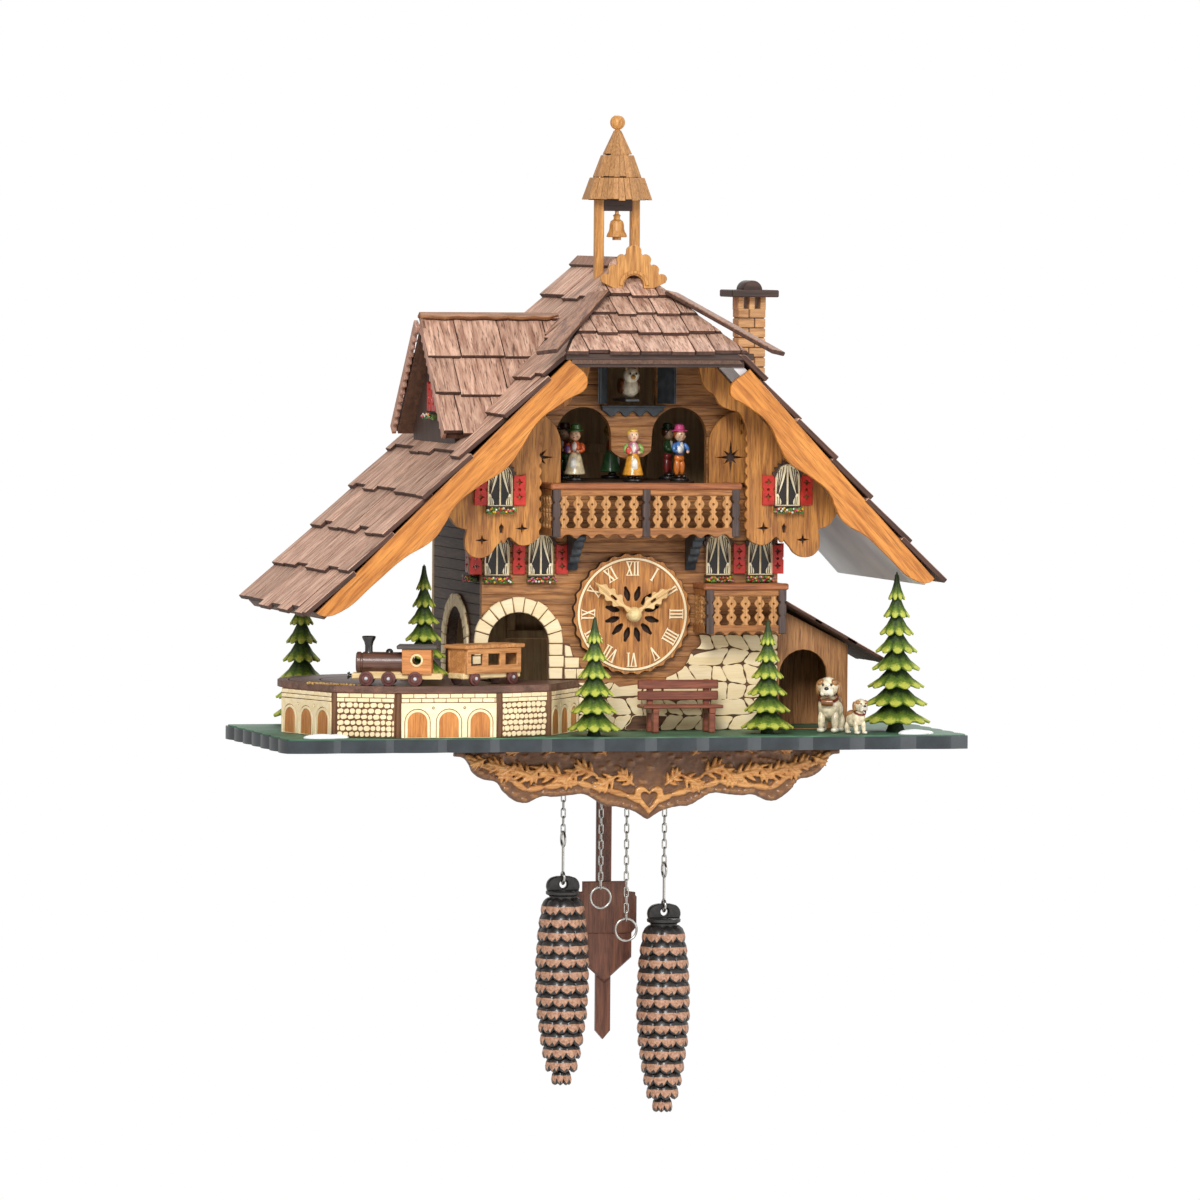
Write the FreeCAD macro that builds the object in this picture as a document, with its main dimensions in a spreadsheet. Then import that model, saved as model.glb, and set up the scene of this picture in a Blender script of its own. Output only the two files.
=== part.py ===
"""Chalet cuckoo clock with dancers, a train on a viaduct, a bell tower and cone weights.

Row frame in millimetres: the origin is the centre of the wall-hook hole on the rear face of
the back panel, +Z is up and the dial faces -Y.  The sizes below are written in the house
frame, with zero on the front wall's front face (y), on top of the base plate (z) and at the
middle of the dial (x); every sub-part is then placed by the same shift to the row frame.
"""
import FreeCAD, Part
import math
import os
import re
from types import SimpleNamespace
from FreeCAD import Placement, Rotation, Vector

doc = FreeCAD.newDocument("ChaletCuckooClock")
sheet = doc.addObject("Spreadsheet::Sheet", "Sizes")

DRIVING = {
    # base board
    "base_left": 261, "base_right": 221.5, "base_front": 80, "base_back": 112,
    "base_thick": 8.8, "grass_thick": 0.8, "scallop_depth": 2.4, "scallop_pitch": 38,
    # house box
    "house_half": 105, "house_depth": 141, "wall": 6, "seam_gap": 0.3,
    "hook_height": 285, "hook_radius": 4.5,
    # main roof: outer surface of the shingles
    "ridge_height": 323, "left_eave_x": 241.7, "left_eave_z": 86,
    "right_eave_x": 199.9, "right_eave_z": 107.5, "rake_front": 73, "barge_thick": 4,
    "hip_eave_z": 262, "hip_back": 35, "hip_rows": 5, "hip_cap_reach": 81, "shingle_thick": 5,
    "roof_board": 6,
    # dormer on the left slope
    "dormer_gable_x": 137, "dormer_y": 34, "dormer_half": 70, "dormer_feet_z": 205,
    "dormer_apex_z": 283, "dormer_board": 4, "dormer_shingle": 4,
    # chimney on the right slope
    "chimney_x": 103, "chimney_y": 70, "chimney_width": 20, "chimney_deep": 15, "chimney_top": 297,
    # bell tower on the ridge
    "tower_y": 43, "tower_span": 25.5, "tower_post": 6.2, "tower_roof_z": 364, "tower_roof_r": 23.5,
    # front openings
    "arch_x": 34, "arch_radius": 19.5, "arch_floor": 166.8, "arch_spring": 202.5,
    "tongue_half": 14, "tongue_z": 186, "door_half": 17.5, "door_low": 223.5, "door_high": 255,
    "tunnel_x": 79, "tunnel_half": 22, "tunnel_spring": 60,
    "side_tunnel_y": 66, "side_tunnel_half": 28, "side_tunnel_spring": 55,
    # viaduct and train
    "deck_top": 35, "deck_thick": 4.3, "track_x": 155, "track_y": 11, "track_radius": 75,
    "disc_radius": 80, "disc_gap": 1, "plate_radius": 76, "plate_thick": 3.8, "island_radius": 58.5,
    "island_post_r": 5, "shaft_gap": 0.06, "panel_thick": 4, "post_size": 5,
    # dancers' turntable
    "carousel_y": 25, "carousel_radius": 50, "carousel_top": 171, "carousel_thick": 3,
    "dancer_circle": 42, "dancer_height": 38, "dancer_count": 6, "dancer_start": -4.6,
    # balconies
    "balcony_half": 66, "balcony_deep": 40, "balcony_floor": 136, "balcony_rail": 171,
    "low_balcony_left": 45, "low_balcony_right": 102, "low_balcony_deep": 32,
    "low_balcony_floor": 69, "low_balcony_rail": 102,
    # dial and hands
    "dial_z": 80.2, "dial_radius": 41, "dial_thick": 5, "ring_radius": 38.3, "ring_width": 2,
    "hub_radius": 2.4, "arbor_radius": 3, "hour_length": 33, "minute_length": 37, "hand_thick": 1.4,
    "hour_angle": 56, "minute_angle": 308,
    # cuckoo and doors
    "cuckoo_stroke": 34, "leaf_thick": 2, "leaf_open": 120,
    # pendulum
    "pendulum_y": 65, "pendulum_pivot_z": 44, "pendulum_tip": -218, "rod_width": 10.5, "rod_thick": 4,
    "bob_z": -141, "bob_width": 46, "bob_thick": 9, "pin_radius": 1.5,
    # chains and weights
    "chain_y": 38, "outer_chain_x": 36.2, "inner_chain_x": 9.2, "chain_top": 20,
    "link_pitch": 5.5, "wire": 1.0, "link_width": 3.8, "cone_length": 143, "cone_radius": 17.8,
    "left_cone_top": -102.5, "right_cone_top": -122.4, "left_ring_z": -112, "right_ring_z": -138,
}
for row, (name, value) in enumerate(DRIVING.items(), start=1):
    sheet.set(f"A{row}", name)
    sheet.set(f"B{row}", str(value))
    sheet.setAlias(f"B{row}", name)
doc.recompute()
S = SimpleNamespace(**{name: float(sheet.get(name)) for name in DRIVING})
NODES = []


# ---------------------------------------------------------------- document helpers
def bound(formula):
    """A formula in plain size names, as an expression that reads the sheet."""
    return re.sub(r"[a-z_]+", lambda word: "Sizes." + word[0] if word[0] in DRIVING else word[0],
                  str(formula))


def node(item, label):
    """Name a finished sub-part and move it from the house frame to the row frame."""
    item.Label = label
    item.setExpression("Placement.Base.y", bound("-house_depth"))
    item.setExpression("Placement.Base.z", bound("-hook_height"))
    NODES.append(item)
    return item


def block(x, y, z, length, width, height):
    """A box whose corner and sides are bound to the sheet."""
    item = doc.addObject("Part::Box", "Block")
    for prop, formula in (("Length", length), ("Width", width), ("Height", height),
                          ("Placement.Base.x", x), ("Placement.Base.y", y), ("Placement.Base.z", z)):
        item.setExpression(prop, bound(formula))
    return item


AXES = {"x": Rotation(Vector(0, 1, 0), 90), "y": Rotation(Vector(1, 0, 0), -90), "z": Rotation()}


def drum(x, y, z, radius, height, axis="z"):
    """A cylinder that grows along +axis, with its sizes and place bound to the sheet."""
    item = doc.addObject("Part::Cylinder", "Drum")
    item.Placement = Placement(Vector(), AXES[axis])
    for prop, formula in (("Radius", radius), ("Height", height), ("Placement.Base.x", x),
                          ("Placement.Base.y", y), ("Placement.Base.z", z)):
        item.setExpression(prop, bound(formula))
    return item


def cut(base, tool):
    item = doc.addObject("Part::Cut", "Cut")
    item.Base, item.Tool = base, tool
    return item


def group(*items):
    item = doc.addObject("Part::Compound", "Group")
    item.Links = list(items)
    return item


def trace(*steps):
    """Closed outline: a step (x, y) is a line to that point, a step (middle, end) is an arc."""
    here = Vector(*steps[0], 0)
    edges = []
    for step in steps[1:] + (steps[0],):
        if isinstance(step[0], tuple):
            middle, end = Vector(*step[0], 0), Vector(*step[1], 0)
            edges.append(Part.Arc(here, middle, end))
            here = end
        elif (Vector(*step, 0) - here).Length > 1e-6:
            end = Vector(*step, 0)
            edges.append(Part.LineSegment(here, end))
            here = end
    return edges


def circle(x, y, radius):
    return [Part.Circle(Vector(x, y, 0), Vector(0, 0, 1), radius)]


PLANES = {"XY_Plane": "z", "XZ_Plane": "y", "YZ_Plane": "x"}


def board(plane, outlines, thick, level):
    """A flat board padded from one sketch.  It grows from level along the plane's normal:
    up from the XY plane, to the front (-Y) from XZ and to +X from YZ."""
    body = doc.addObject("PartDesign::Body", "Board")
    sketch = body.newObject("Sketcher::SketchObject", "Outline")
    origin = [item for item in body.Origin.OriginFeatures if item.Role == plane][0]
    sketch.AttachmentSupport = (origin, [""])
    sketch.MapMode = "FlatFace"
    for outline in outlines:
        sketch.addGeometry(outline, False)
    pad = body.newObject("PartDesign::Pad", "Thickness")
    pad.Profile = sketch
    pad.setExpression("Length", bound(thick))
    body.Tip = pad
    sketch.Visibility = False
    held = group(body)
    body.setExpression("Placement.Base." + PLANES[plane], bound(level))
    return held


def feature(solids):
    """Shapes with no plain primitive or pad, kept as one group of solids."""
    item = doc.addObject("Part::Feature", "Shape")
    item.Shape = Part.makeCompound(solids if isinstance(solids, list) else [solids])
    return item


# ---------------------------------------------------------------- solid helpers
def prism(points, low, high, axis="y"):
    """Polygon extruded from low to high.  Points are (x, z) for axis y, (y, z) for axis x and
    (x, y) for axis z."""
    lift = {"y": lambda a, b, c: Vector(a, c, b), "x": lambda a, b, c: Vector(c, a, b),
            "z": lambda a, b, c: Vector(a, b, c)}[axis]
    corners = [lift(a, b, low) for a, b in points]
    face = Part.Face(Part.makePolygon(corners + corners[:1]))
    return face.extrude(lift(0, 0, high) - lift(0, 0, low))


def brick(x1, x2, y1, y2, z1, z2):
    return Part.makeBox(x2 - x1, y2 - y1, z2 - z1, Vector(x1, y1, z1))


def rod(start, end, radius):
    start, end = Vector(*start), Vector(*end)
    return Part.makeCylinder(radius, (end - start).Length, start, end - start)


def ball(x, y, z, radius, stretch=(1, 1, 1)):
    sphere = Part.makeSphere(radius)
    if stretch != (1, 1, 1):
        matrix = FreeCAD.Matrix()
        matrix.scale(*stretch)
        sphere = sphere.transformGeometry(matrix)
    sphere.translate(Vector(x, y, z))
    return sphere


def turned(profile, x=0, y=0, z=0):
    """Solid of revolution about a vertical axis from (radius, height) points."""
    corners = [Vector(radius, 0, height) for radius, height in profile]
    solid = Part.Face(Part.makePolygon(corners + corners[:1])).revolve(Vector(), Vector(0, 0, 1), 360)
    solid.translate(Vector(x, y, z))
    return solid


def union(solids):
    result = solids[0].multiFuse(solids[1:]).removeSplitter() if len(solids) > 1 else solids[0]
    return result.Solids[0] if len(result.Solids) == 1 else result


def turn_z(shape, angle, x=0, y=0):
    turned_copy = shape.copy()
    turned_copy.rotate(Vector(x, y, 0), Vector(0, 0, 1), angle)
    return turned_copy


# ---------------------------------------------------------------- roof planes
SLOPES = {-1: math.atan2(S.ridge_height - S.left_eave_z, S.left_eave_x),
          1: math.atan2(S.ridge_height - S.right_eave_z, S.right_eave_x)}
RUN = {-1: math.hypot(S.left_eave_x, S.ridge_height - S.left_eave_z),
       1: math.hypot(S.right_eave_x, S.ridge_height - S.right_eave_z)}
BOARD_TOP = S.shingle_thick
BOARD_LOW = S.shingle_thick + S.roof_board
CLEAR = BOARD_LOW + S.seam_gap
BOARD_FRONT = -(S.rake_front - S.barge_thick)
HIP = math.atan2(S.ridge_height - S.hip_eave_z, S.rake_front + S.hip_back)
HIP_EDGE = 3.0
FAR = 600.0


def on_slope(side, down, deep=0.0):
    """Point (x, z) on the left (-1) or right (1) slope, deep below its outer surface."""
    angle = SLOPES[side]
    return (side * (down * math.cos(angle) - deep * math.sin(angle)),
            S.ridge_height - down * math.sin(angle) - deep * math.cos(angle))


def roof_height(x, deep=0.0):
    """Height of a slope's surface, deep below the outer one, above the point x."""
    angle = SLOPES[-1 if x < 0 else 1]
    return S.ridge_height - abs(x) * math.tan(angle) - deep / math.cos(angle)


def hip_height(y, deep=0.0):
    return S.ridge_height + (y - S.hip_back) * math.tan(HIP) - deep / math.cos(HIP)


def under_slopes(deep=0.0):
    """Everything below both slopes."""
    edge = FAR
    return prism([(-edge, roof_height(-edge, deep)), (0, min(roof_height(-1e-9, deep),
                 roof_height(0, deep))), (edge, roof_height(edge, deep)), (edge, -FAR * 2),
                 (-edge, -FAR * 2)], -FAR, FAR)


def over_hip(deep=0.0):
    """Everything in front of and above the hip slope."""
    return prism([(-FAR, hip_height(-FAR, deep)), (FAR, hip_height(FAR, deep)), (-FAR, FAR * 3)],
                 -FAR, FAR, "x")


HIP_CORNER = {side: side * (S.ridge_height - S.hip_eave_z) / math.tan(SLOPES[side])
              for side in (-1, 1)}


# ---------------------------------------------------------------- base board and apron
def scalloped(inset):
    """Base outline: shallow rounded scallops between grooves, on the front and both ends."""
    left, right = -S.base_left + inset, S.base_right - inset
    front, back = -S.base_front + inset, S.base_back - inset
    steps = [(right, back), (left, back)]
    deep = S.scallop_depth

    def run(start, end, count):
        for index in range(count):
            first = start + (end - start) * index / count
            last = start + (end - start) * (index + 1) / count
            yield first, (first + last) / 2, last

    ends = max(2, round((back - front) / (S.scallop_pitch * 0.72)))
    for _, middle, last in run(back, front, ends):
        steps.append(((left - deep, middle), (left, last)))
    for _, middle, last in run(left, right, max(2, round((right - left) / S.scallop_pitch))):
        steps.append(((middle, front - deep), (last, front)))
    for _, middle, last in run(front, back, ends):
        steps.append(((right + deep, middle), (right, last)))
    return trace(*steps)


def window_hole(margin=0.0):
    """Slot in the base for the chains and the pendulum."""
    half = S.outer_chain_x + 8 + margin
    front = S.chain_y - 12 - margin
    back = S.pendulum_y + 12 + margin
    return trace((-half, front), (half, front), (half, back), (-half, back))


node(board("XY_Plane", [scalloped(S.scallop_depth), window_hole()],
           "base_thick", "-base_thick - grass_thick"), "base_plate")
node(board("XY_Plane", [scalloped(S.scallop_depth + 1.5), window_hole(1)],
           "grass_thick", "-grass_thick"), "grass_cover")

APRON_TOP = -(S.base_thick + S.grass_thick)
half_edge = [((10, -52), (22, -49)), ((29, -48.5), (36, -45)), ((44, -40.5), (56, -41)),
             ((66, -42), (74, -41.5)), ((88, -46), (101, -38.5)), ((106, -32), (116, -29.5)),
             ((123, -25), (126, -19)), ((130, -15), (136, -14))]
apron_steps = [(0, -58)] + half_edge + [(136, APRON_TOP), (-136, APRON_TOP), (-136, -14)]
for index in range(len(half_edge) - 1, 0, -1):
    middle, _ = half_edge[index]
    end = half_edge[index - 1][1]
    apron_steps.append(((-middle[0], middle[1]), (-end[0], end[1])))
apron_steps.append(((-10, -52), (0, -58)))
node(board("XZ_Plane", [trace(*apron_steps)], 9, -45), "carved_apron")


# ---------------------------------------------------------------- house walls
def gable(top=None):
    """House outline under the slopes, cut off level at top where the hip roof passes over it."""
    half = S.house_half
    sides = [(-half, 0), (half, 0), (half, roof_height(half, CLEAR))]
    if top is None:
        peak = [(0, min(roof_height(-1e-9, CLEAR), roof_height(0, CLEAR)))]
    else:
        peak = [(side * (S.ridge_height - CLEAR / math.cos(SLOPES[side]) - top) / math.tan(SLOPES[side]), top)
                for side in (1, -1)]
    return trace(*sides, *peak, (-half, roof_height(-half, CLEAR)))


def arched(x, half, low, spring):
    return trace((x - half, low), (x + half, low), (x + half, spring),
                 ((x, spring + half), (x - half, spring)))


slot_low = S.deck_top - S.deck_thick - S.plate_thick - S.disc_gap
disc_slot = ("-track_x", "track_y", slot_low, "disc_radius + 2",
             S.deck_top + S.disc_gap - slot_low)
carousel_arches = trace(
    (-S.arch_x - S.arch_radius, S.arch_floor), (-S.arch_x - S.arch_radius, S.arch_spring),
    ((-S.arch_x, S.arch_spring + S.arch_radius), (-S.arch_x + S.arch_radius, S.arch_spring)),
    (-S.tongue_half, S.tongue_z + 6), ((0, S.tongue_z), (S.tongue_half, S.tongue_z + 6)),
    (S.arch_x - S.arch_radius, S.arch_spring),
    ((S.arch_x, S.arch_spring + S.arch_radius), (S.arch_x + S.arch_radius, S.arch_spring)),
    (S.arch_x + S.arch_radius, S.arch_floor))
doorway = trace((-S.door_half, S.door_low), (S.door_half, S.door_low),
                (S.door_half, S.door_high), (-S.door_half, S.door_high))
front = board("XZ_Plane", [gable(hip_height(0, CLEAR)), carousel_arches, doorway,
                           circle(0, S.dial_z, S.arbor_radius + 1.5),
                           arched(-S.tunnel_x, S.tunnel_half, slot_low, S.tunnel_spring)], "wall", "wall")
node(cut(front, drum(*disc_slot)), "front_wall")

side_profile = trace((S.wall, 0), (S.house_depth - S.wall, 0),
                     (S.house_depth - S.wall, roof_height(-S.house_half, CLEAR)),
                     (S.wall, roof_height(-S.house_half, CLEAR)))
left = board("YZ_Plane", [side_profile, arched(S.side_tunnel_y, S.side_tunnel_half, slot_low,
                                               S.side_tunnel_spring)], "wall", "-house_half")
node(cut(left, drum(*disc_slot)), "left_wall")
right_top = roof_height(S.house_half, CLEAR)
node(group(block("house_half - wall", "wall", 0, "wall", "house_depth - 2 * wall", right_top)),
     "right_wall")

HATCH = (-50, 50, 60, 190)
hatch_hole = trace((HATCH[0], HATCH[2]), (HATCH[1], HATCH[2]), (HATCH[1], HATCH[3]), (HATCH[0], HATCH[3]))
node(board("XZ_Plane", [gable(), hatch_hole, circle(0, S.hook_height, S.hook_radius)],
           "wall", "house_depth"), "back_panel")
lid = block(HATCH[0] + 0.5, "house_depth - 4", HATCH[2] + 0.5, HATCH[1] - HATCH[0] - 1, 4,
            HATCH[3] - HATCH[2] - 1)
node(cut(lid, drum(HATCH[0] + 14, "house_depth - 5", (HATCH[2] + HATCH[3]) / 2, 7, 6, "y")), "rear_door")


# ---------------------------------------------------------------- roof boards
def slope_board(side):
    end = RUN[side] - 3
    section = [(0, roof_height(side * 1e-9, BOARD_TOP)), on_slope(side, end, BOARD_TOP),
               on_slope(side, end, BOARD_LOW), (0, roof_height(side * 1e-9, BOARD_LOW))]
    return prism(section, BOARD_FRONT, S.house_depth).cut(over_hip(BOARD_LOW))


node(feature(slope_board(-1)), "roof_left")
node(feature(slope_board(1)), "roof_right")
hip_front = -S.rake_front
hip_low = S.shingle_thick + HIP_EDGE
hip_slab = prism([(y, hip_height(y, deep)) for y, deep in
                  ((hip_front, BOARD_TOP), (S.hip_back, BOARD_TOP), (S.hip_back, BOARD_LOW),
                   (hip_front + 12, BOARD_LOW), (hip_front, hip_low))], -FAR, FAR, "x")
node(feature(hip_slab.common(under_slopes(BOARD_TOP))), "roof_hip")


def courses(length, rows):
    """(upper, lower) ends of each shingle row, from the top down."""
    return [(length * row / rows, length * (row + 1) / rows) for row in range(rows)]


shingles = []
for side, rows in ((-1, 9), (1, 8)):
    for upper, lower in courses(RUN[side], rows):
        top = upper if upper else S.shingle_thick * math.tan(SLOPES[side])
        section = [on_slope(side, top, BOARD_TOP), on_slope(side, lower, BOARD_TOP),
                   on_slope(side, lower), on_slope(side, top, 2.4)]
        strip = prism(section, BOARD_FRONT - 1, S.house_depth).cut(over_hip())
        shingles.extend(strip.Solids)


def hip_point(down, deep):
    """Point (y, z) on the hip slope, deep below its outer surface."""
    return (S.hip_back - down * math.cos(HIP) + deep * math.sin(HIP),
            S.ridge_height - down * math.sin(HIP) - deep * math.cos(HIP))


hip_run = (S.rake_front + S.hip_back + 2) / math.cos(HIP)
for upper, lower in courses(hip_run, int(S.hip_rows)):
    section = [hip_point(upper, BOARD_TOP), hip_point(lower, BOARD_TOP), hip_point(lower, 0),
               hip_point(upper, 2.4)]
    strip = prism(section, -FAR, FAR, "x").common(under_slopes(BOARD_TOP))
    shingles.extend(strip.Solids)

# dormer: two small slopes that run back into the left main slope
DORMER = math.atan2(S.dormer_apex_z - S.dormer_feet_z, S.dormer_half)
dormer_run = math.hypot(S.dormer_half, S.dormer_apex_z - S.dormer_feet_z)
dormer_front = -S.dormer_gable_x - 4


def on_dormer(side, down, deep):
    return (S.dormer_y + side * (down * math.cos(DORMER) - deep * math.sin(DORMER)),
            S.dormer_apex_z - down * math.sin(DORMER) - deep * math.cos(DORMER))


def above_left_slope(solid):
    return solid.cut(under_slopes(0))


dormer_boards = []
dormer_low = S.dormer_shingle + S.dormer_board
for side in (-1, 1):
    ridge = [(S.dormer_y, S.dormer_apex_z - deep / math.cos(DORMER))
             for deep in (S.dormer_shingle, dormer_low)]
    section = [ridge[0], on_dormer(side, dormer_run - 2, S.dormer_shingle),
               on_dormer(side, dormer_run - 2, dormer_low), ridge[1]]
    dormer_boards.extend(above_left_slope(prism(section, dormer_front, 0, "x")).Solids)
    for upper, lower in courses(dormer_run, 3):
        top = upper if upper else S.dormer_shingle * math.tan(DORMER)
        section = [on_dormer(side, top, S.dormer_shingle), on_dormer(side, lower, S.dormer_shingle),
                   on_dormer(side, lower, 0), on_dormer(side, top, 2)]
        shingles.extend(above_left_slope(prism(section, dormer_front, 0, "x")).Solids)
node(feature(dormer_boards), "dormer_roof")
node(feature(shingles), "roof_shingles")

gable_wall = prism([(S.dormer_y, S.dormer_apex_z - (dormer_low + S.seam_gap) / math.cos(DORMER)),
                    on_dormer(1, dormer_run - 6, dormer_low + S.seam_gap),
                    on_dormer(-1, dormer_run - 6, dormer_low + S.seam_gap)],
                   -S.dormer_gable_x + 6, -S.dormer_gable_x + 10, "x")
gable_foot = brick(-S.dormer_gable_x + 6, -S.dormer_gable_x + 10, S.dormer_y - S.dormer_half + 12,
                   S.dormer_y + S.dormer_half - 12, 150, on_dormer(1, dormer_run - 6, dormer_low)[1])
gable_wall = above_left_slope(union([gable_wall, gable_foot]))
node(feature(gable_wall), "dormer_walls")


# ---------------------------------------------------------------- ridge and hip caps
def cap_board(start, end, half, thick, normal):
    """Flat board laid along a seam, its underside touching the seam line."""
    start, end = Vector(*start), Vector(*end)
    along = (end - start).normalize()
    across = normal.cross(along).normalize()
    corners = [start + across * half, start - across * half, start - across * half + normal * thick,
               start + across * half + normal * thick]
    return Part.Face(Part.makePolygon(corners + corners[:1])).extrude(end - start)


caps = []
for side in (-1, 1):
    section = [(0, roof_height(side * 1e-9)), on_slope(side, 9), on_slope(side, 9, -2.5),
               (0, roof_height(side * 1e-9, -2.5))]
    caps.append(prism(section, S.hip_back + 1, S.house_depth))
    slope_normal = Vector(side * math.sin(SLOPES[side]), 0, math.cos(SLOPES[side]))
    hip_normal = Vector(0, -math.sin(HIP), math.cos(HIP))
    seam = Vector(HIP_CORNER[side], -S.rake_front - S.hip_back, S.hip_eave_z - S.ridge_height)
    peak = Vector(0, S.hip_back, S.ridge_height)
    lift = Vector(0, 0, 0.8)
    foot = Vector(side * S.hip_cap_reach, -S.rake_front - 7, hip_height(-S.rake_front - 7)) + lift
    normal = (slope_normal + hip_normal).normalize()
    caps.append(cap_board(foot, peak + seam * 0.43 + lift, 8, 3, normal))
node(feature(caps), "ridge_caps")


# ---------------------------------------------------------------- bargeboards along both rakes
def bargeboard(side):
    """Board under each rake with a long wavy lower edge."""
    first, last = 77 / math.cos(SLOPES[side]) - (4 if side > 0 else 0), RUN[side] - 4
    steps = [on_slope(side, first, BOARD_TOP), on_slope(side, last, BOARD_TOP), on_slope(side, last, 21)]
    waves = 5
    for index in range(waves, 0, -1):
        start = first + (last - first) * index / waves
        end = first + (last - first) * (index - 1) / waves
        steps.append((on_slope(side, (start + end) / 2, 21 + (6 if index % 2 else 1)),
                      on_slope(side, end, 23)))
    return board("XZ_Plane", [trace(*steps)], "barge_thick", "-rake_front + barge_thick")


node(group(bargeboard(-1), bargeboard(1)), "bargeboards")


# ---------------------------------------------------------------- fretwork gable panels
FRET_INNER, FRET_OUTER, FRET_LOW = 73, 133, 128


def fretwork(side):
    """Gable panel under the roof with a scalloped inner edge, three lobes below and star cuts."""
    inner, outer = side * FRET_INNER, side * FRET_OUTER
    steps = [(inner, roof_height(inner, CLEAR)), (inner, 200), ((inner + side * 4, 188), (inner, 176)),
             (inner, 150), ((inner - side * 2, 140), (inner + side * 4, FRET_LOW + 4)),
             ((inner + side * 12, FRET_LOW - 10), (inner + side * 20, FRET_LOW + 4)),
             ((inner + side * 30, FRET_LOW - 12), (inner + side * 40, FRET_LOW + 4)),
             ((inner + side * 49, FRET_LOW - 4), (outer, FRET_LOW + 16)),
             (outer, roof_height(outer, CLEAR))]
    star = []
    x, z, long_r, short_r = side * 103, 140, 6, 2.2
    for index in range(8):
        radius = short_r if index % 2 else long_r
        angle = math.radians(45 * index)
        star.append((x + radius * math.cos(angle), z + radius * math.sin(angle)))
    return board("XZ_Plane", [trace(*steps), trace(*star)], 4, -29)


node(group(fretwork(-1), fretwork(1)), "fretworks")


# ---------------------------------------------------------------- chimney
stack = brick(S.chimney_x - S.chimney_width / 2, S.chimney_x + S.chimney_width / 2,
              S.chimney_y - S.chimney_deep / 2, S.chimney_y + S.chimney_deep / 2, 150, S.chimney_top - 9)
pillars = [brick(S.chimney_x + dx - 2, S.chimney_x + dx + 2, S.chimney_y - S.chimney_deep / 2,
                 S.chimney_y + S.chimney_deep / 2, S.chimney_top - 9, S.chimney_top)
           for dx in (-S.chimney_width / 2 + 2, 0, S.chimney_width / 2 - 2)]
slab = brick(S.chimney_x - 17, S.chimney_x + 17, S.chimney_y - 16, S.chimney_y + 16,
             S.chimney_top, S.chimney_top + 5)
crown = rod((S.chimney_x, S.chimney_y - 9, S.chimney_top + 4), (S.chimney_x, S.chimney_y + 9,
            S.chimney_top + 4), 7)
crown = crown.common(brick(0, 200, -FAR, FAR, S.chimney_top + 4.5, FAR))
node(feature(union([stack.cut(under_slopes(-0.2))] + pillars + [slab, crown])), "chimney")


# ---------------------------------------------------------------- bell tower and its saddle board
def octagon(low_r, low_z, high_r, high_z):
    rings = []
    for radius, height in ((low_r, low_z), (high_r, high_z)):
        corners = [Vector(radius * math.cos(math.radians(22.5 + 45 * k)),
                          S.tower_y + radius * math.sin(math.radians(22.5 + 45 * k)), height)
                   for k in range(8)]
        rings.append(Part.makePolygon(corners + corners[:1]))
    return Part.makeLoft(rings, True, True)


half_span = S.tower_span / 2
posts = [brick(side * half_span - S.tower_post / 2, side * half_span + S.tower_post / 2,
               S.tower_y - S.tower_post / 2, S.tower_y + S.tower_post / 2, 280, S.tower_roof_z)
         .cut(under_slopes(-0.2)) for side in (-1, 1)]
beam = brick(-half_span, half_span, S.tower_y - 2.5, S.tower_y + 2.5, S.tower_roof_z - 9, S.tower_roof_z)
base_z = S.tower_roof_z
tiers = [octagon(S.tower_roof_r, base_z, S.tower_roof_r * 0.8, base_z + 14),
         octagon(S.tower_roof_r * 0.5, base_z + 13.5, S.tower_roof_r * 0.45, base_z + 17),
         octagon(S.tower_roof_r * 0.69, base_z + 16, S.tower_roof_r * 0.485, base_z + 29.5),
         octagon(S.tower_roof_r * 0.3, base_z + 29, S.tower_roof_r * 0.3, base_z + 32),
         octagon(S.tower_roof_r * 0.43, base_z + 31, S.tower_roof_r * 0.12, base_z + 47.5),
         ball(0, S.tower_y, base_z + 52.4, 5.1)]
bell = turned([(0, 337), (6.4, 337), (7, 338.5), (5.6, 341), (4.6, 345), (4.2, 348.5), (2.4, 351),
               (1.4, 352), (1.4, base_z - 8), (0, base_z - 8)], 0, S.tower_y)
node(feature(union(posts + [beam] + tiers + [bell])), "bell_tower")

saddle_foot = hip_height(-0.5) + 0.3
saddle = prism([(-15.5, saddle_foot), (15.5, saddle_foot), (27, saddle_foot + 7), (24, saddle_foot + 13),
                (18, saddle_foot + 17), (14, saddle_foot + 24), (6, saddle_foot + 26), (0, saddle_foot + 30),
                (-6, saddle_foot + 26), (-14, saddle_foot + 24), (-18, saddle_foot + 17),
                (-24, saddle_foot + 13), (-27, saddle_foot + 7)], -3.5, -0.5)
saddle = saddle.cut(rod((0, -10, saddle_foot + 2), (0, 10, saddle_foot + 2), 7))
saddle = saddle.common(brick(-FAR, FAR, -FAR, FAR, saddle_foot, FAR))
node(feature(saddle), "tower_board")


# ---------------------------------------------------------------- balconies
def baluster(x, y, low, high, deep=2.4, across=False):
    """Flat sawn baluster, waisted in two places."""
    tall = high - low
    widths = ((0, 3.4), (0.12, 2.0), (0.3, 3.8), (0.5, 1.9), (0.7, 3.8), (0.88, 2.0), (1, 3.4))
    outline = [(w, low + tall * part) for part, w in widths]
    outline += [(-w, z) for w, z in reversed(outline)]
    if across:
        return prism([(y + a, b) for a, b in outline], x - deep / 2, x + deep / 2, "x")
    return prism([(x + a, b) for a, b in outline], y - deep / 2, y + deep / 2)


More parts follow.
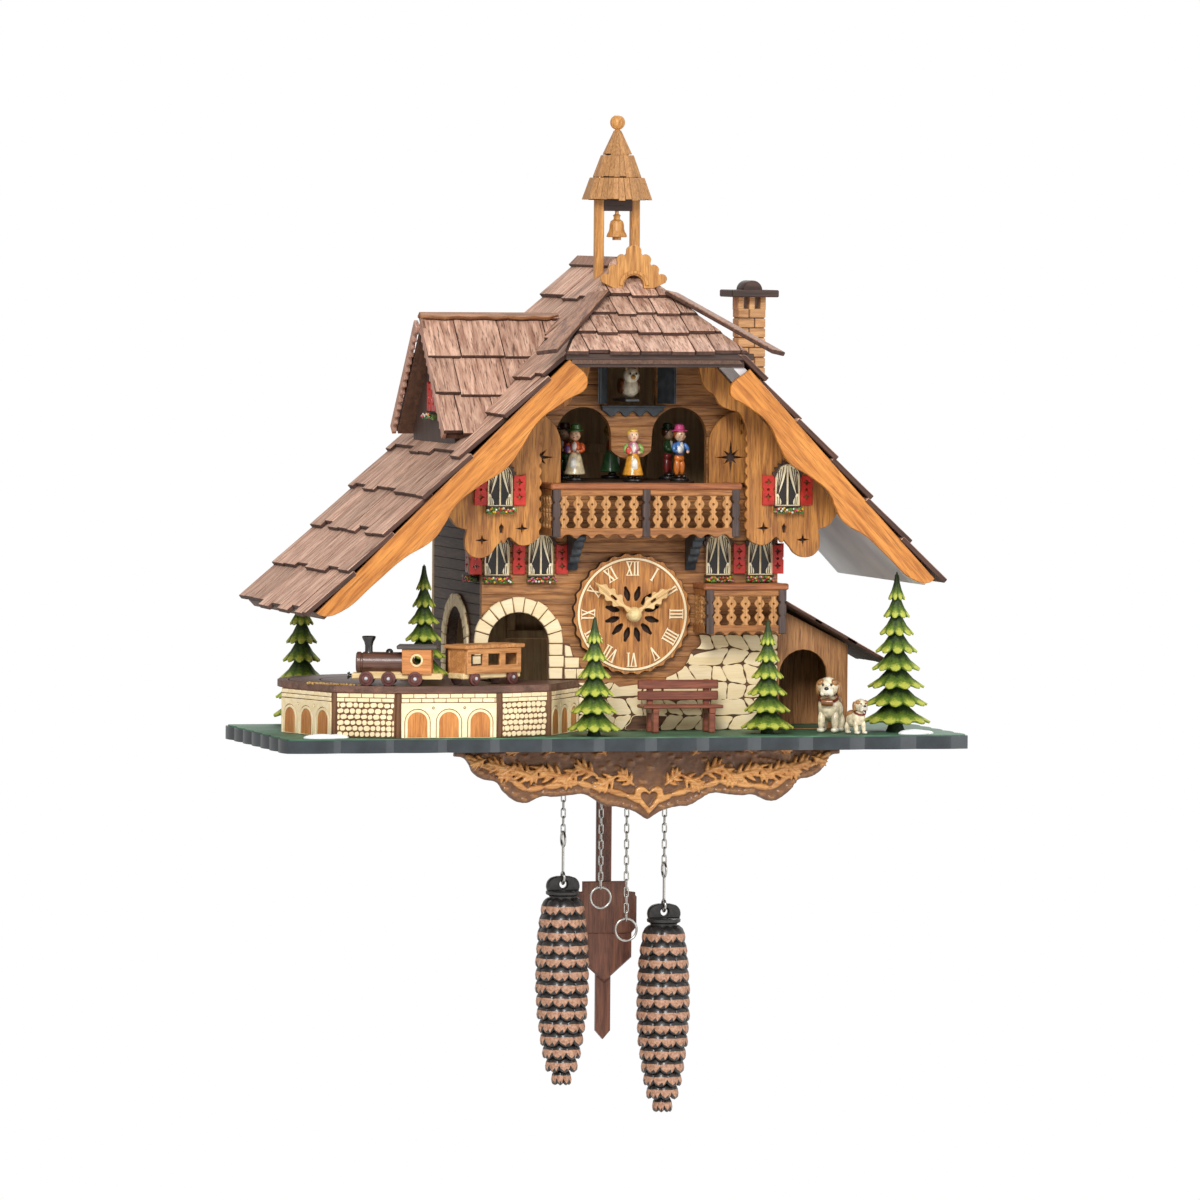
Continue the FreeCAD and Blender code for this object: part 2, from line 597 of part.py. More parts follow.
def balcony(left, right, deep, floor, rail, per_bay, bays):
    """Floor board, lower and upper rails, posts and sawn balusters, joined in one frame."""
    front = -deep
    low_rail, rail_low = floor + 8, rail - 6
    parts = [brick(left, right, front, -S.seam_gap, floor, floor + 4),
             brick(left, right, front, front + 4, floor + 3.5, low_rail),
             brick(left - 1, right + 1, front - 1.5, front + 5, rail_low, rail)]
    for side_x in (left, right - 4):
        parts.append(brick(side_x, side_x + 4, front, -S.seam_gap, floor + 3.5, low_rail))
        parts.append(brick(side_x, side_x + 4, front, -S.seam_gap, rail_low, rail))
        for index in range(3):
            y = front + 11 + index * (deep - 14) / 3
            parts.append(baluster(side_x + 2, y, low_rail - 0.2, rail_low + 0.2, across=True))
    for bay in range(bays + 1):
        x = left + (right - left - 5) * bay / bays
        parts.append(brick(x, x + 5, front - 0.5, front + 4.5, floor, rail_low + 0.5))
    for bay in range(bays):
        start = left + (right - left) * bay / bays
        width = (right - left) / bays
        for index in range(per_bay):
            x = start + width * (index + 1) / (per_bay + 1)
            parts.append(baluster(x, front + 2, low_rail - 0.2, rail_low + 0.2))
    return union(parts)


node(feature(balcony(-S.balcony_half, S.balcony_half, S.balcony_deep, S.balcony_floor, S.balcony_rail,
                     5, 2)), "upper_balcony")
node(feature(balcony(S.low_balcony_left, S.low_balcony_right, S.low_balcony_deep, S.low_balcony_floor,
                     S.low_balcony_rail, 4, 1)), "lower_balcony")

# dark carved corbels under the upper balcony, and the wavy sill under the doorway
corbels = []
for side in (-1, 1):
    x = side * 42
    profile = [(-S.seam_gap, 110), (-4, 111), (-6, 118), (-12, 121), (-15, 127), (-24, 130),
               (-26, S.balcony_floor), (-S.seam_gap, S.balcony_floor)]
    corbels.append(prism(profile, x - 3.5, x + 3.5, "x"))
sill = prism([(-21, S.door_low - 1), (21, S.door_low - 1), (21, S.door_low - 4), (14, S.door_low - 8),
              (7, S.door_low - 5), (0, S.door_low - 9), (-7, S.door_low - 5), (-14, S.door_low - 8),
              (-21, S.door_low - 4)], -4, -S.seam_gap)
node(feature(corbels + [sill]), "corbels")


# ---------------------------------------------------------------- star-cut shutters beside the dancers
def star_shutter(side):
    low, high, half = S.balcony_rail + 0.3, 222, 13
    x = side * 66
    steps = [(x - half, low), (x + half, low), (x + half, high - half), ((x, high), (x - half, high - half))]
    star = []
    for index in range(16):
        radius = 3.2 if index % 2 else 7.5
        angle = math.radians(22.5 * index)
        star.append((x + radius * math.cos(angle), 196 + radius * math.sin(angle)))
    return board("XZ_Plane", [trace(*steps), trace(*star)], 3, -7)


node(group(star_shutter(-1), star_shutter(1)), "star_shutters")


# ---------------------------------------------------------------- windows, shutters, flower boxes
WINDOW_HALF, WINDOW_TALL, SIDE_WINDOW_Y = 8.5, 29, 20
WINDOW_LOW = S.balcony_floor - WINDOW_TALL - 0.5


def window_spots():
    """(x, y of the wall face, sill height) of each front window."""
    fret_face = -33
    spots = [(side * 101.6, fret_face, 155) for side in (-1, 1)]
    spots += [(x, 0, WINDOW_LOW) for x in (11 - S.house_half, 42 - S.house_half,
                                           S.house_half - 43, S.house_half - 11)]
    return spots


def arched_window(x, face, low):
    half = WINDOW_HALF
    frame = arched(x, half, low, low + WINDOW_TALL - half)
    solid = Part.Face(Part.Wire([edge.toShape() for edge in frame])).extrude(Vector(0, 0, 2))
    solid.rotate(Vector(), Vector(1, 0, 0), 90)
    solid.translate(Vector(0, face - S.seam_gap, 0))
    hollow_w = half - 3
    for dx in (-hollow_w / 2 - 0.4, hollow_w / 2 + 0.4):
        solid = solid.cut(brick(x + dx - hollow_w / 2 + 0.3, x + dx + hollow_w / 2 - 0.3, face - 9,
                                face - S.seam_gap - 1, low + 3, low + WINDOW_TALL - half))
    return solid


windows, leaves, boxes = [], [], []
for x, face, low in window_spots():
    windows.append(arched_window(x, face, low))
    for side in (-1, 1):
        hinge = x + side * (WINDOW_HALF + 0.9)
        leaf = brick(min(hinge, hinge + side * 5.6), max(hinge, hinge + side * 5.6), face - 2.2, face - 0.7,
                     low + 1, low + 24)
        leaves.append(turn_z(leaf, side * -20, hinge, face - 0.7))
    boxes.append(brick(x - 10, x + 10, face - 7, face - S.seam_gap, low - 4.2, low - 0.6))

# one window with shutters on the left side wall
side_window = arched_window(0, 0, WINDOW_LOW)
side_window.rotate(Vector(), Vector(0, 0, 1), -90)
side_window.translate(Vector(-S.house_half, SIDE_WINDOW_Y, 0))
windows.append(side_window)
for side in (-1, 1):
    middle = SIDE_WINDOW_Y + side * 13.4
    leaves.append(brick(-S.house_half - 2.2, -S.house_half - 0.7, middle - 4, middle + 4,
                        WINDOW_LOW - 0.5, WINDOW_LOW + 22.5))
boxes.append(brick(-S.house_half - 7, -S.house_half - S.seam_gap, SIDE_WINDOW_Y - 10, SIDE_WINDOW_Y + 10,
                   WINDOW_LOW - 6, WINDOW_LOW - 1))

# red window leaves in the dormer gable
dormer_face = -S.dormer_gable_x + 6
for side in (-1, 1):
    y = S.dormer_y + side * 7
    leaves.append(brick(dormer_face - 2, dormer_face - 0.4, y - 5.5, y + 5.5, 218, 238))
node(feature(windows), "windows")
node(feature(leaves), "shutters")
node(feature(boxes), "flower_boxes")


# ---------------------------------------------------------------- stonework on the walls
def arch_band(centre, inner, outer, low, spring, thick):
    """Flat arch band in its own plane: (across, up), extruded by thick."""
    outline = trace((centre - outer, low), (centre - inner, low), (centre - inner, spring),
                    ((centre, spring + inner), (centre + inner, spring)), (centre + inner, low),
                    (centre + outer, low), (centre + outer, spring),
                    ((centre, spring + outer), (centre - outer, spring)))
    solid = Part.Face(Part.Wire([edge.toShape() for edge in outline])).extrude(Vector(0, 0, thick))
    solid.rotate(Vector(), Vector(1, 0, 0), 90)
    return solid


arch_foot = S.deck_top + 1.5
front_arch = arch_band(-S.tunnel_x, S.tunnel_half, S.tunnel_half + 9, arch_foot, S.tunnel_spring, 2.5)
front_arch.translate(Vector(0, -S.seam_gap, 0))
front_arch = front_arch.common(brick(-S.house_half, 0, -FAR, FAR, 0, FAR))
side_arch = arch_band(0, S.side_tunnel_half, S.side_tunnel_half + 9, arch_foot, S.side_tunnel_spring, 2.5)
side_arch.rotate(Vector(), Vector(0, 0, 1), -90)
side_arch.translate(Vector(-S.house_half - S.seam_gap, S.side_tunnel_y, 0))
facing = prism([(-37, 0.2), (S.house_half, 0.2), (S.house_half, 66), (44, 66), (36, 52), (24, 44), (18, 36),
                (2, 33), (-10, 26), (-37, 30)], -2.3, -S.seam_gap)
facing = facing.cut(rod((0, -20, S.dial_z), (0, 20, S.dial_z), S.dial_radius + 1))
node(feature([front_arch, side_arch, facing]), "stonework")


# ---------------------------------------------------------------- viaduct
# corners of the front of the viaduct, from the front wall round to the left end
CORNERS = [(-37, -3), (-72, -57), (-111.5, -76), (-182, -76), (-222, -57), (-243, 10)]
track = (-S.track_x, S.track_y)
round_back = math.hypot(CORNERS[-1][0] - track[0], CORNERS[-1][1] - track[1])
back_mid = (track[0] + round_back * math.cos(math.radians(125)),
            track[1] + round_back * math.sin(math.radians(125)))
wall_x = -S.house_half - S.seam_gap
back_end = (wall_x, track[1] + math.sqrt(round_back ** 2 - (wall_x - track[0]) ** 2))
deck_steps = [(-37, -S.seam_gap)] + CORNERS + [(back_mid, back_end), (wall_x, -S.seam_gap)]
deck_edges = trace(*deck_steps)
deck = Part.Face(Part.Wire([edge.toShape() for edge in deck_edges])).extrude(Vector(0, 0, S.deck_thick))
deck.translate(Vector(0, 0, S.deck_top - S.deck_thick))
hole_r = S.disc_radius + S.disc_gap
deck = deck.cut(Part.makeCylinder(hole_r, FAR, Vector(*track, -100)))
island = Part.makeCylinder(S.island_radius, S.deck_thick, Vector(*track, S.deck_top - S.deck_thick))
island = island.common(brick(-FAR, wall_x - 0.3, -FAR, FAR, -FAR, FAR))
island = union([island, Part.makeCylinder(S.island_post_r, S.deck_top - 1, Vector(*track, 0.0))])
node(feature(deck.Solids + [island]), "bridge_deck")

panel_top = S.deck_top - S.deck_thick
panels, stone_posts = [], []
for x, y in CORNERS[1:]:
    foot = Vector(x * 0.985 - 1.5, y * 0.95, 0)
    stone_posts.append(Part.makeCylinder(S.post_size / 2 + 0.6, panel_top, foot))
for index in range(len(CORNERS) - 1):
    start, end = Vector(*CORNERS[index], 0), Vector(*CORNERS[index + 1], 0)
    along = end - start
    length = along.Length
    plate = brick(1.5, length - 1.5, -1.2 - S.panel_thick, -1.2, 0, panel_top)
    arches = 3 if length > 55 else 0
    for number in range(arches):
        middle = length * (number + 0.5) / arches
        reach = length / arches * 0.36
        recess = arched(middle, reach, 2.5, panel_top * 0.45)
        tool = Part.Face(Part.Wire([edge.toShape() for edge in recess])).extrude(Vector(0, 0, 4))
        tool.rotate(Vector(), Vector(1, 0, 0), 90)
        tool.translate(Vector(0, 1.3, 0))
        plate = plate.cut(tool)
    plate.rotate(Vector(), Vector(0, 0, 1), math.degrees(math.atan2(along.y, along.x)))
    plate.translate(start)
    for column in stone_posts:
        plate = plate.cut(column)
    panels.append(plate)
node(feature(panels + stone_posts), "bridge_panels")


# ---------------------------------------------------------------- trees
def fir(x, y, low, tall, radius, rows):
    """Fir with stacked skirts of boughs on a short trunk."""
    profile = [(0, 0), (radius * 0.25, 0), (radius * 0.25, tall * 0.08)]
    for row in range(rows):
        part = row / rows
        skirt = radius * (1 - part) ** 0.85 + 1.2
        z = tall * (0.08 + 0.88 * part)
        step = tall * 0.88 / rows
        profile += [(skirt, z), (skirt * 0.9, z + step * 0.35), (skirt * 0.55, z + step * 0.98)]
    profile += [(1.0, tall * 0.965), (0, tall)]
    return turned(profile, x, y, low)


TREES = [(-206, 107, 0, 101, 16.5, 8), (-143, 11, S.deck_top, 79, 15, 7), (-41, -60, 0, 81, 15.5, 7),
         (85, -47, 0, 78, 15.5, 7), (180, -36, 0, 110, 22, 8)]
node(feature([fir(*tree) for tree in TREES]), "trees")


# ---------------------------------------------------------------- bench
bench_parts = []
for x in (6, 47):
    bench_parts += [brick(x, x + 4, -36, -32, 0, 16), brick(x, x + 4, -22, -18, 0, 16),
                    brick(x, x + 4, -36, -18, 13, 17), brick(x, x + 4, -20.5, -18, 16, 35)]
for y in (-35.5, -30, -24.5):
    bench_parts.append(brick(0, 57, y, y + 4.5, 16.5, 19))
for z in (22, 29):
    bench_parts.append(brick(0, 57, -22.5, -20.3, z, z + 6))
node(feature(union(bench_parts)), "bench")


# ---------------------------------------------------------------- shed on the right wall
shed_left, shed_right = S.house_half + S.seam_gap, 156
slope_fall = math.tan(math.radians(27))
shed_front = prism([(shed_left, 0), (shed_right, 0), (shed_right, 84 - (shed_right - shed_left) * slope_fall),
                    (shed_left, 84)], 0, 4)
shed_door = arched(124, 17, 0.5, 38)
door_tool = Part.Face(Part.Wire([edge.toShape() for edge in shed_door])).extrude(Vector(0, 0, 30))
door_tool.rotate(Vector(), Vector(1, 0, 0), 90)
door_tool.translate(Vector(0, 15, 0))
shed_front = shed_front.cut(door_tool)
shed_end = brick(shed_right - 4, shed_right, 4, 60, 0, 84 - (shed_right - shed_left) * slope_fall - 1)
shed_back = prism([(shed_left, 0), (shed_right, 0), (shed_right, 84 - (shed_right - shed_left) * slope_fall),
                   (shed_left, 84)], 60, 64)
shed_roof = prism([(shed_left, 84.4), (178, 84.4 - (178 - shed_left) * slope_fall),
                   (178, 90 - (178 - shed_left) * slope_fall), (shed_left, 90)], -16, 66)
node(feature([union([shed_front, shed_end, shed_back]), shed_roof]), "shed")


# ---------------------------------------------------------------- dogs
def dog(x, y, tall, turn):
    """Sitting dog with a round muzzle."""
    unit = tall / 40
    parts = [ball(0, 0, 13 * unit, 9.5 * unit, (1, 1.05, 1.25)), ball(0, -5 * unit, 19 * unit, 7 * unit),
             ball(0, -7.5 * unit, 32 * unit, 7.2 * unit), ball(0, -13 * unit, 30 * unit, 4.4 * unit),
             rod((-5 * unit, -8 * unit, 0), (-4.5 * unit, -7 * unit, 20 * unit), 2.6 * unit),
             rod((5 * unit, -8 * unit, 0), (4.5 * unit, -7 * unit, 20 * unit), 2.6 * unit),
             ball(-7 * unit, 2 * unit, 4.2 * unit, 4.2 * unit), ball(7 * unit, 2 * unit, 4.2 * unit, 4.2 * unit)]
    shape = union(parts)
    shape.rotate(Vector(), Vector(0, 0, 1), turn)
    shape.translate(Vector(x, y, 0.5 * unit))
    return shape


node(feature([dog(131, -42, 41, -20), dog(143, -66, 26, -10)]), "dogs")


# ---------------------------------------------------------------- dial and hands
scallops = 24
dial_steps = []
for index in range(scallops):
    start = 2 * math.pi * index / scallops
    middle = start + math.pi / scallops
    end = start + 2 * math.pi / scallops
    if not index:
        dial_steps.append((S.dial_radius, S.dial_z))
    dial_steps.append((((S.dial_radius + 1.2) * math.cos(middle), S.dial_z + (S.dial_radius + 1.2)
                        * math.sin(middle)), (S.dial_radius * math.cos(end),
                                              S.dial_z + S.dial_radius * math.sin(end))))
node(board("XZ_Plane", [trace(*dial_steps), circle(0, S.dial_z, S.arbor_radius + 1.5)],
           "dial_thick", "-seam_gap"), "dial")
ring_edges = [circle(0, S.dial_z, S.ring_radius), circle(0, S.dial_z, S.ring_radius - S.ring_width)]
node(board("XZ_Plane", ring_edges,
           1, "-seam_gap - dial_thick"), "chapter_ring")


def hand(length, angle, front, bore, pipe_r, pipe_back):
    """Leaf-shaped pierced hand on its pipe, turned clockwise from twelve."""
    outline = [(-1.6, 0), (-2.2, length * 0.3), (-4.6, length * 0.42), (-3.0, length * 0.55),
               (-4.2, length * 0.72), (0, length), (4.2, length * 0.72), (3.0, length * 0.55),
               (4.6, length * 0.42), (2.2, length * 0.3), (1.6, 0)]
    blade = prism(outline, front, front + S.hand_thick)
    hub = rod((0, front, 0), (0, front + S.hand_thick, 0), 5)
    pipe = rod((0, front, 0), (0, pipe_back, 0), pipe_r)
    solid = union([blade, hub, pipe]).cut(rod((0, front - 50, 0), (0, pipe_back + 50, 0), bore)) if bore \
        else union([blade, hub, pipe, rod((0, front - 3, 0), (0, front + 1, 0), 2.6)])
    solid.rotate(Vector(), Vector(0, 1, 0), angle)
    solid.translate(Vector(0, 0, S.dial_z))
    return solid


arbor = 1.5
HOUR_FRONT, MINUTE_FRONT = -10.2, -12.6
node(feature(hand(S.hour_length, S.hour_angle, HOUR_FRONT, arbor + S.shaft_gap, 2.6, 4)), "hour_hand")
node(feature(hand(S.minute_length, S.minute_angle, MINUTE_FRONT, 0, arbor, 10)), "minute_hand")


# ---------------------------------------------------------------- movement with its pendulum drive
case = brick(-28, 28, S.wall + 1, S.wall + 19, S.dial_z - 28, S.dial_z + 28)
neck = rod((0, 0.5, S.dial_z), (0, S.wall + 2, S.dial_z), 4.1)
arm = brick(-13, 13, S.wall + 18, S.pendulum_y - 6, S.pendulum_pivot_z + 6, S.pendulum_pivot_z + 20)
arm_leg = brick(-8, 8, S.pendulum_y - 12, S.pendulum_y - 6, S.pendulum_pivot_z - 5, S.pendulum_pivot_z + 7)
pivot_pin = rod((0, S.pendulum_y - 7, S.pendulum_pivot_z), (0, S.pendulum_y + 4, S.pendulum_pivot_z),
                S.pin_radius)
movement = union([case, neck, arm, arm_leg, pivot_pin])
movement = movement.cut(rod((0, 0, S.dial_z), (0, S.wall + 6, S.dial_z), 2.6 + S.shaft_gap))
movement = movement.cut(rod((0, 0, S.dial_z), (0, S.wall + 8, S.dial_z), arbor + S.shaft_gap))
node(feature(movement), "movement")

cells = [rod((84, 30 + 0.4, z), (84, 80, z), 7) for z in (11, 27)]
holder = brick(75, 93, 28, 29.9, 2, 36)
holder = union([holder, brick(75, 93, 80.5, 82.5, 2, 36), brick(93, 95, 28, 82.5, 2, 36)])
node(feature(cells + [holder]), "battery_pack")
node(group(drum("house_half - wall - 12.3", "house_depth - wall - 45", 110, 24, 12, "x")), "speaker")

motor_z = S.carousel_top - S.carousel_thick
carousel_motor = brick(-16, 16, S.carousel_y - 12, S.carousel_y + 16, motor_z - 30, motor_z - 8)
carousel_shaft = rod((0, S.carousel_y, motor_z - 10), (0, S.carousel_y, motor_z + 2), 2.5)
node(feature(union([carousel_motor, carousel_shaft])), "carousel_motor")
train_motor = brick(-S.house_half - 36, -S.house_half - 6, S.track_y - 15, S.track_y + 15, 0, slot_low - 1)
node(feature(train_motor), "train_motor")


# ---------------------------------------------------------------- cuckoo and its doors
door_mid = (S.door_low + S.door_high) / 2
bird_parts = [ball(0, 0, S.door_low + 12, 7, (0.95, 1.3, 1.15)), ball(0, -5, S.door_low + 20, 5.2),
              turned([(0, 0), (2.2, 0), (0, 6)]), brick(-5, 5, -8, 26, S.door_low + 2, S.door_low + 4),
              rod((0, 2, S.door_low + 3), (0, 2, S.door_low + 9), 1.6)]
bird_parts[2].rotate(Vector(), Vector(1, 0, 0), 90)
bird_parts[2].translate(Vector(0, -9, S.door_low + 20))
bird = union(bird_parts)
bird.translate(Vector(0, 6, 0))
node(feature(bird), "cuckoo")
for side, label in ((-1, "cuckoo_door_left"), (1, "cuckoo_door_right")):
    inner, outer = 0.4, S.door_half - 0.3
    leaf = brick(min(side * inner, side * outer), max(side * inner, side * outer), -S.leaf_thick - 1, -1,
                 S.door_low + 1, S.door_high - 1)
    node(feature(turn_z(leaf, side * S.leaf_open, side * S.door_half, -1)), label)


# ---------------------------------------------------------------- dancers on their turntable
carousel_disc = Part.makeCylinder(S.carousel_radius, S.carousel_thick,
                                  Vector(0, S.carousel_y, S.carousel_top - S.carousel_thick))
boss = Part.makeCylinder(6, 6, Vector(0, S.carousel_y, motor_z - 5))
disc = union([carousel_disc, boss])
disc = disc.cut(rod((0, S.carousel_y, motor_z - 60), (0, S.carousel_y, motor_z + 2.2), 2.5 + S.shaft_gap))
node(feature(disc), "carousel")


def dancer(angle):
    """Small figure with a round hat, arms and a flared skirt or trousers."""
    tall = S.dancer_height
    body = turned([(0, 0), (6, 0), (6.5, 2), (3, 3), (3.4, tall * 0.14), (7, tall * 0.2), (4, tall * 0.52),
                   (5.2, tall * 0.66), (2.2, tall * 0.74), (2.2, tall * 0.78), (0, tall * 0.78)])
    head = ball(0, 0, tall * 0.87, tall * 0.118)
    arms = rod((-6.5, -2, tall * 0.5), (6.5, -2, tall * 0.62), 1.5)
    shape = union([body, head, arms])
    shape.rotate(Vector(), Vector(0, 0, 1), angle)
    shape.translate(Vector(S.dancer_circle * math.sin(math.radians(angle)),
                           S.carousel_y - S.dancer_circle * math.cos(math.radians(angle)), S.carousel_top))
    return shape


count = int(S.dancer_count)
node(feature([dancer(S.dancer_start + 360 * index / count) for index in range(count)]), "dancers")


# ---------------------------------------------------------------- train on its ring
plate_low = S.deck_top - S.deck_thick - S.plate_thick
ring = Part.makeCylinder(S.plate_radius, S.plate_thick, Vector(*track, plate_low))
rim = Part.makeCylinder(S.disc_radius, S.deck_thick, Vector(*track, plate_low + S.plate_thick))
rim = rim.cut(Part.makeCylinder(S.island_radius + S.disc_gap, FAR, Vector(*track, 0)))
ring = union([ring, rim]).cut(Part.makeCylinder(S.island_post_r + S.shaft_gap, FAR, Vector(*track, 0)))
slot_cap = S.deck_top - S.deck_thick
ring = ring.cut(Part.makeCylinder(S.island_radius + S.disc_gap, FAR, Vector(*track, slot_cap - 0.6)))
node(feature(ring), "train_disc")


def on_track(shape, angle):
    """Move a vehicle built at the origin, facing -X, to its place on the ring."""
    shape.rotate(Vector(), Vector(0, 0, 1), angle)
    shape.translate(Vector(track[0] + S.track_radius * math.sin(math.radians(angle)),
                           track[1] - S.track_radius * math.cos(math.radians(angle)), S.deck_top))
    return shape


def wheels(places, radius, half):
    return [rod((x, -half, radius), (x, half, radius), radius) for x in places]


loco = union([brick(-31, 30, -7, 7, 4.5, 8.5), rod((-28, 0, 15.5), (4, 0, 15.5), 7.2),
              rod((-20, 0, 20), (-20, 0, 33), 3.6), brick(3, 23, -9, 9, 8, 25), brick(0, 26, -10.5, 10.5, 25, 28)]
             + wheels((-21, -6, 12), 4.8, 9) + [rod((-34, 0, 6.5), (-30, 0, 6.5), 2)])
node(feature(on_track(loco, -18)), "locomotive")
wagon = union([brick(-27, 27, -8, 8, 4.5, 8.5), brick(-26, 26, -9.5, 9.5, 8, 25),
               brick(-28.5, 28.5, -10.5, 10.5, 25, 28)] + wheels((-18, 18), 4.8, 9.8))
node(feature(on_track(wagon, 31)), "wagon")


# ---------------------------------------------------------------- pendulum
pivot_z = S.pendulum_pivot_z
rod_back = S.pendulum_y + S.rod_thick / 2
stem = prism([(-S.rod_width / 2, pivot_z + 5), (S.rod_width / 2, pivot_z + 5),
              (S.rod_width / 2, S.pendulum_tip + 6), (0, S.pendulum_tip), (-S.rod_width / 2, S.pendulum_tip + 6)],
             rod_back - S.rod_thick, rod_back)
stem = stem.cut(rod((0, 0, pivot_z), (0, 200, pivot_z), S.pin_radius + S.shaft_gap))
node(feature(stem), "pendulum_rod")
half = S.bob_width / 2
bob = prism([(-16, S.bob_z + 33), (16, S.bob_z + 33), (16, S.bob_z + 25.5), (half - 3, S.bob_z + 25.5),
             (half, S.bob_z + 22), (half, S.bob_z + 1), (half - 3.5, S.bob_z - 3), (half - 3.5, S.bob_z - 20),
             (0, S.bob_z - 37), (3.5 - half, S.bob_z - 20), (3.5 - half, S.bob_z - 3), (-half, S.bob_z + 1),
             (-half, S.bob_z + 22), (3 - half, S.bob_z + 25.5), (-16, S.bob_z + 25.5)],
            S.pendulum_y - S.bob_thick / 2, S.pendulum_y + S.bob_thick / 2)
hole = brick(-S.rod_width / 2, S.rod_width / 2, rod_back - S.rod_thick, rod_back, -FAR, FAR)
node(feature(bob.cut(hole)), "pendulum_bob")


# ---------------------------------------------------------------- chains, hooks, rings and cones
def link(x, z, turned_link):
    """One oval wire link, its long axis vertical."""
    radius = S.wire / 2
    inner = S.link_pitch + 0.15
    half_w = (S.link_width - S.wire) / 2
    straight = inner / 2 + radius - half_w
    parts = [rod((half_w, 0, -straight), (half_w, 0, straight), radius),
             rod((-half_w, 0, -straight), (-half_w, 0, straight), radius)]
    for sign in (1, -1):
        bow = Part.makeTorus(half_w, radius, Vector(0, 0, 0), Vector(0, 1, 0))
        bow = bow.common(brick(-10, 10, -10, 10, 0, 10) if sign > 0 else brick(-10, 10, -10, 10, -10, 0))
        bow.translate(Vector(0, 0, sign * straight))
        parts.append(bow)
    solid = union(parts)
    if turned_link:
        solid.rotate(Vector(), Vector(0, 0, 1), 90)
    solid.translate(Vector(x, S.chain_y, z))
    return solid


def torus(x, z, radius, wire, axis):
    return Part.makeTorus(radius, wire, Vector(x, S.chain_y, z), axis)


def strand(x, low):
    """Chain links from the bar down to low, and the height of the last one."""
    total = max(2, int((S.chain_top - low) / S.link_pitch))
    first = S.chain_top - 2.0
    links = [link(x, first - index * S.link_pitch, index % 2) for index in range(total)]
    return links, first - (total - 1) * S.link_pitch, total


def hang_from(last, radius, wire):
    """Centre height of a ring of round wire that hangs in the last link."""
    link_foot = last - (S.link_pitch + 0.15) / 2
    return link_foot + wire + 0.1 - radius


def pine_cone(x, top):
    """Cone weight: a pierced cap, a neck and overlapping rows of scales."""
    rows, neck = 13, 16
    long = S.cone_length
    profile = [(0, -10), (11.5, -10), (11, -12), (8.5, -13.5), (8.5, -neck)]
    for row in range(rows):
        part = row / rows
        reach = S.cone_radius * (math.sin(math.pi * (0.22 + 0.70 * part)) ** 0.62)
        z = -neck - (long - neck - 6) * part
        step = (long - neck - 6) / rows
        profile += [(reach - 2.2, z - step * 0.15), (reach, z - step * 0.8), (reach - 2.8, z - step)]
    profile += [(3, -long + 2), (0, -long)]
    solid = turned(profile, x, S.chain_y, top)
    lug = prism([(x - 11.5, top - 10.5), (x - 12, top - 6), (x - 9.5, top - 2), (x - 6, top), (x + 6, top),
                 (x + 9.5, top - 2), (x + 12, top - 6), (x + 11.5, top - 10.5)], S.chain_y - 2.5, S.chain_y + 2.5)
    return union([solid, lug]).cut(rod((x, S.chain_y - 9, top - 5.4), (x, S.chain_y + 9, top - 5.4), 2.7))


hook_wire = 0.9
for label, x, cone_top in (("left", -S.outer_chain_x, S.left_cone_top), ("right", S.outer_chain_x,
                                                                         S.right_cone_top)):
    links, last, total = strand(x, cone_top + 24)
    eye_z = hang_from(last, 5.0, hook_wire)
    turned_eye = bool((total - 1) % 2)
    eye = Part.makeTorus(5.0, hook_wire, Vector(), Vector(0, 1, 0) if turned_eye else Vector(1, 0, 0))
    eye.translate(Vector(x, S.chain_y, eye_z))
    shank = rod((x, S.chain_y, eye_z - 4.6), (x, S.chain_y, cone_top + 3), hook_wire)
    loop = Part.makeTorus(4.0, hook_wire, Vector(x, S.chain_y, cone_top - 1.2), Vector(1, 0, 0))
    hook = union([eye, shank, loop])
    node(feature(links + hook.Solids), "chain_" + label)
    node(feature(pine_cone(x, cone_top)), "cone_" + label)
for label, x, ring_z, radius in (("idle_left", -S.inner_chain_x, S.left_ring_z, 7.2),
                                 ("idle_right", S.inner_chain_x, S.right_ring_z, 7.6)):
    links, last, total = strand(x, ring_z)
    turned_ring = bool((total - 1) % 2)
    ring_shape = torus(x, hang_from(last, radius, 0.8), radius, 0.8,
                       Vector(0, 1, 0) if turned_ring else Vector(1, 0, 0))
    node(feature(links + [ring_shape]), "chain_" + label)

bar = brick(-S.outer_chain_x - 6, S.outer_chain_x + 6, S.chain_y - 4, S.chain_y + 4, S.chain_top + 5,
            S.chain_top + 11)
eyelets = [Part.makeTorus(2.6, 0.7, Vector(x, S.chain_y, S.chain_top + 2.6), Vector(1, 0, 0))
           for x in (-S.outer_chain_x, -S.inner_chain_x, S.inner_chain_x, S.outer_chain_x)]
brace = [brick(side * 22 - 3, side * 22 + 3, S.wall + 0.3, S.chain_y - 3, S.chain_top + 5, S.chain_top + 11)
         for side in (-1, 1)]
node(feature(union([bar] + eyelets + brace)), "chain_bar")


# ---------------------------------------------------------------- check and export
doc.recompute()
shift = Placement(Vector(0, -S.house_depth, -S.hook_height), Rotation())
bad = [item.Name for item in doc.Objects if "Invalid" in item.State or "Error" in item.State]
if bad:
    raise RuntimeError("objects that did not build: " + ", ".join(bad))
labels = [item.Label for item in NODES]
if len(labels) != len(set(labels)) or len(labels) > 60:
    raise RuntimeError("labels repeat or are too many: " + str(len(labels)))
os.makedirs("parts", exist_ok=True)
for item in NODES:
    shape = item.Shape
    if shape.isNull() or not shape.isValid() or not shape.Solids:
        raise RuntimeError("bad shape: " + item.Label)
    if (item.Placement.Base - shift.Base).Length > 1e-6:
        raise RuntimeError("not placed: " + item.Label)
    shape.exportStep("parts/" + item.Label + ".step")
print(len(NODES), "sub-parts written")
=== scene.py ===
import math
import random

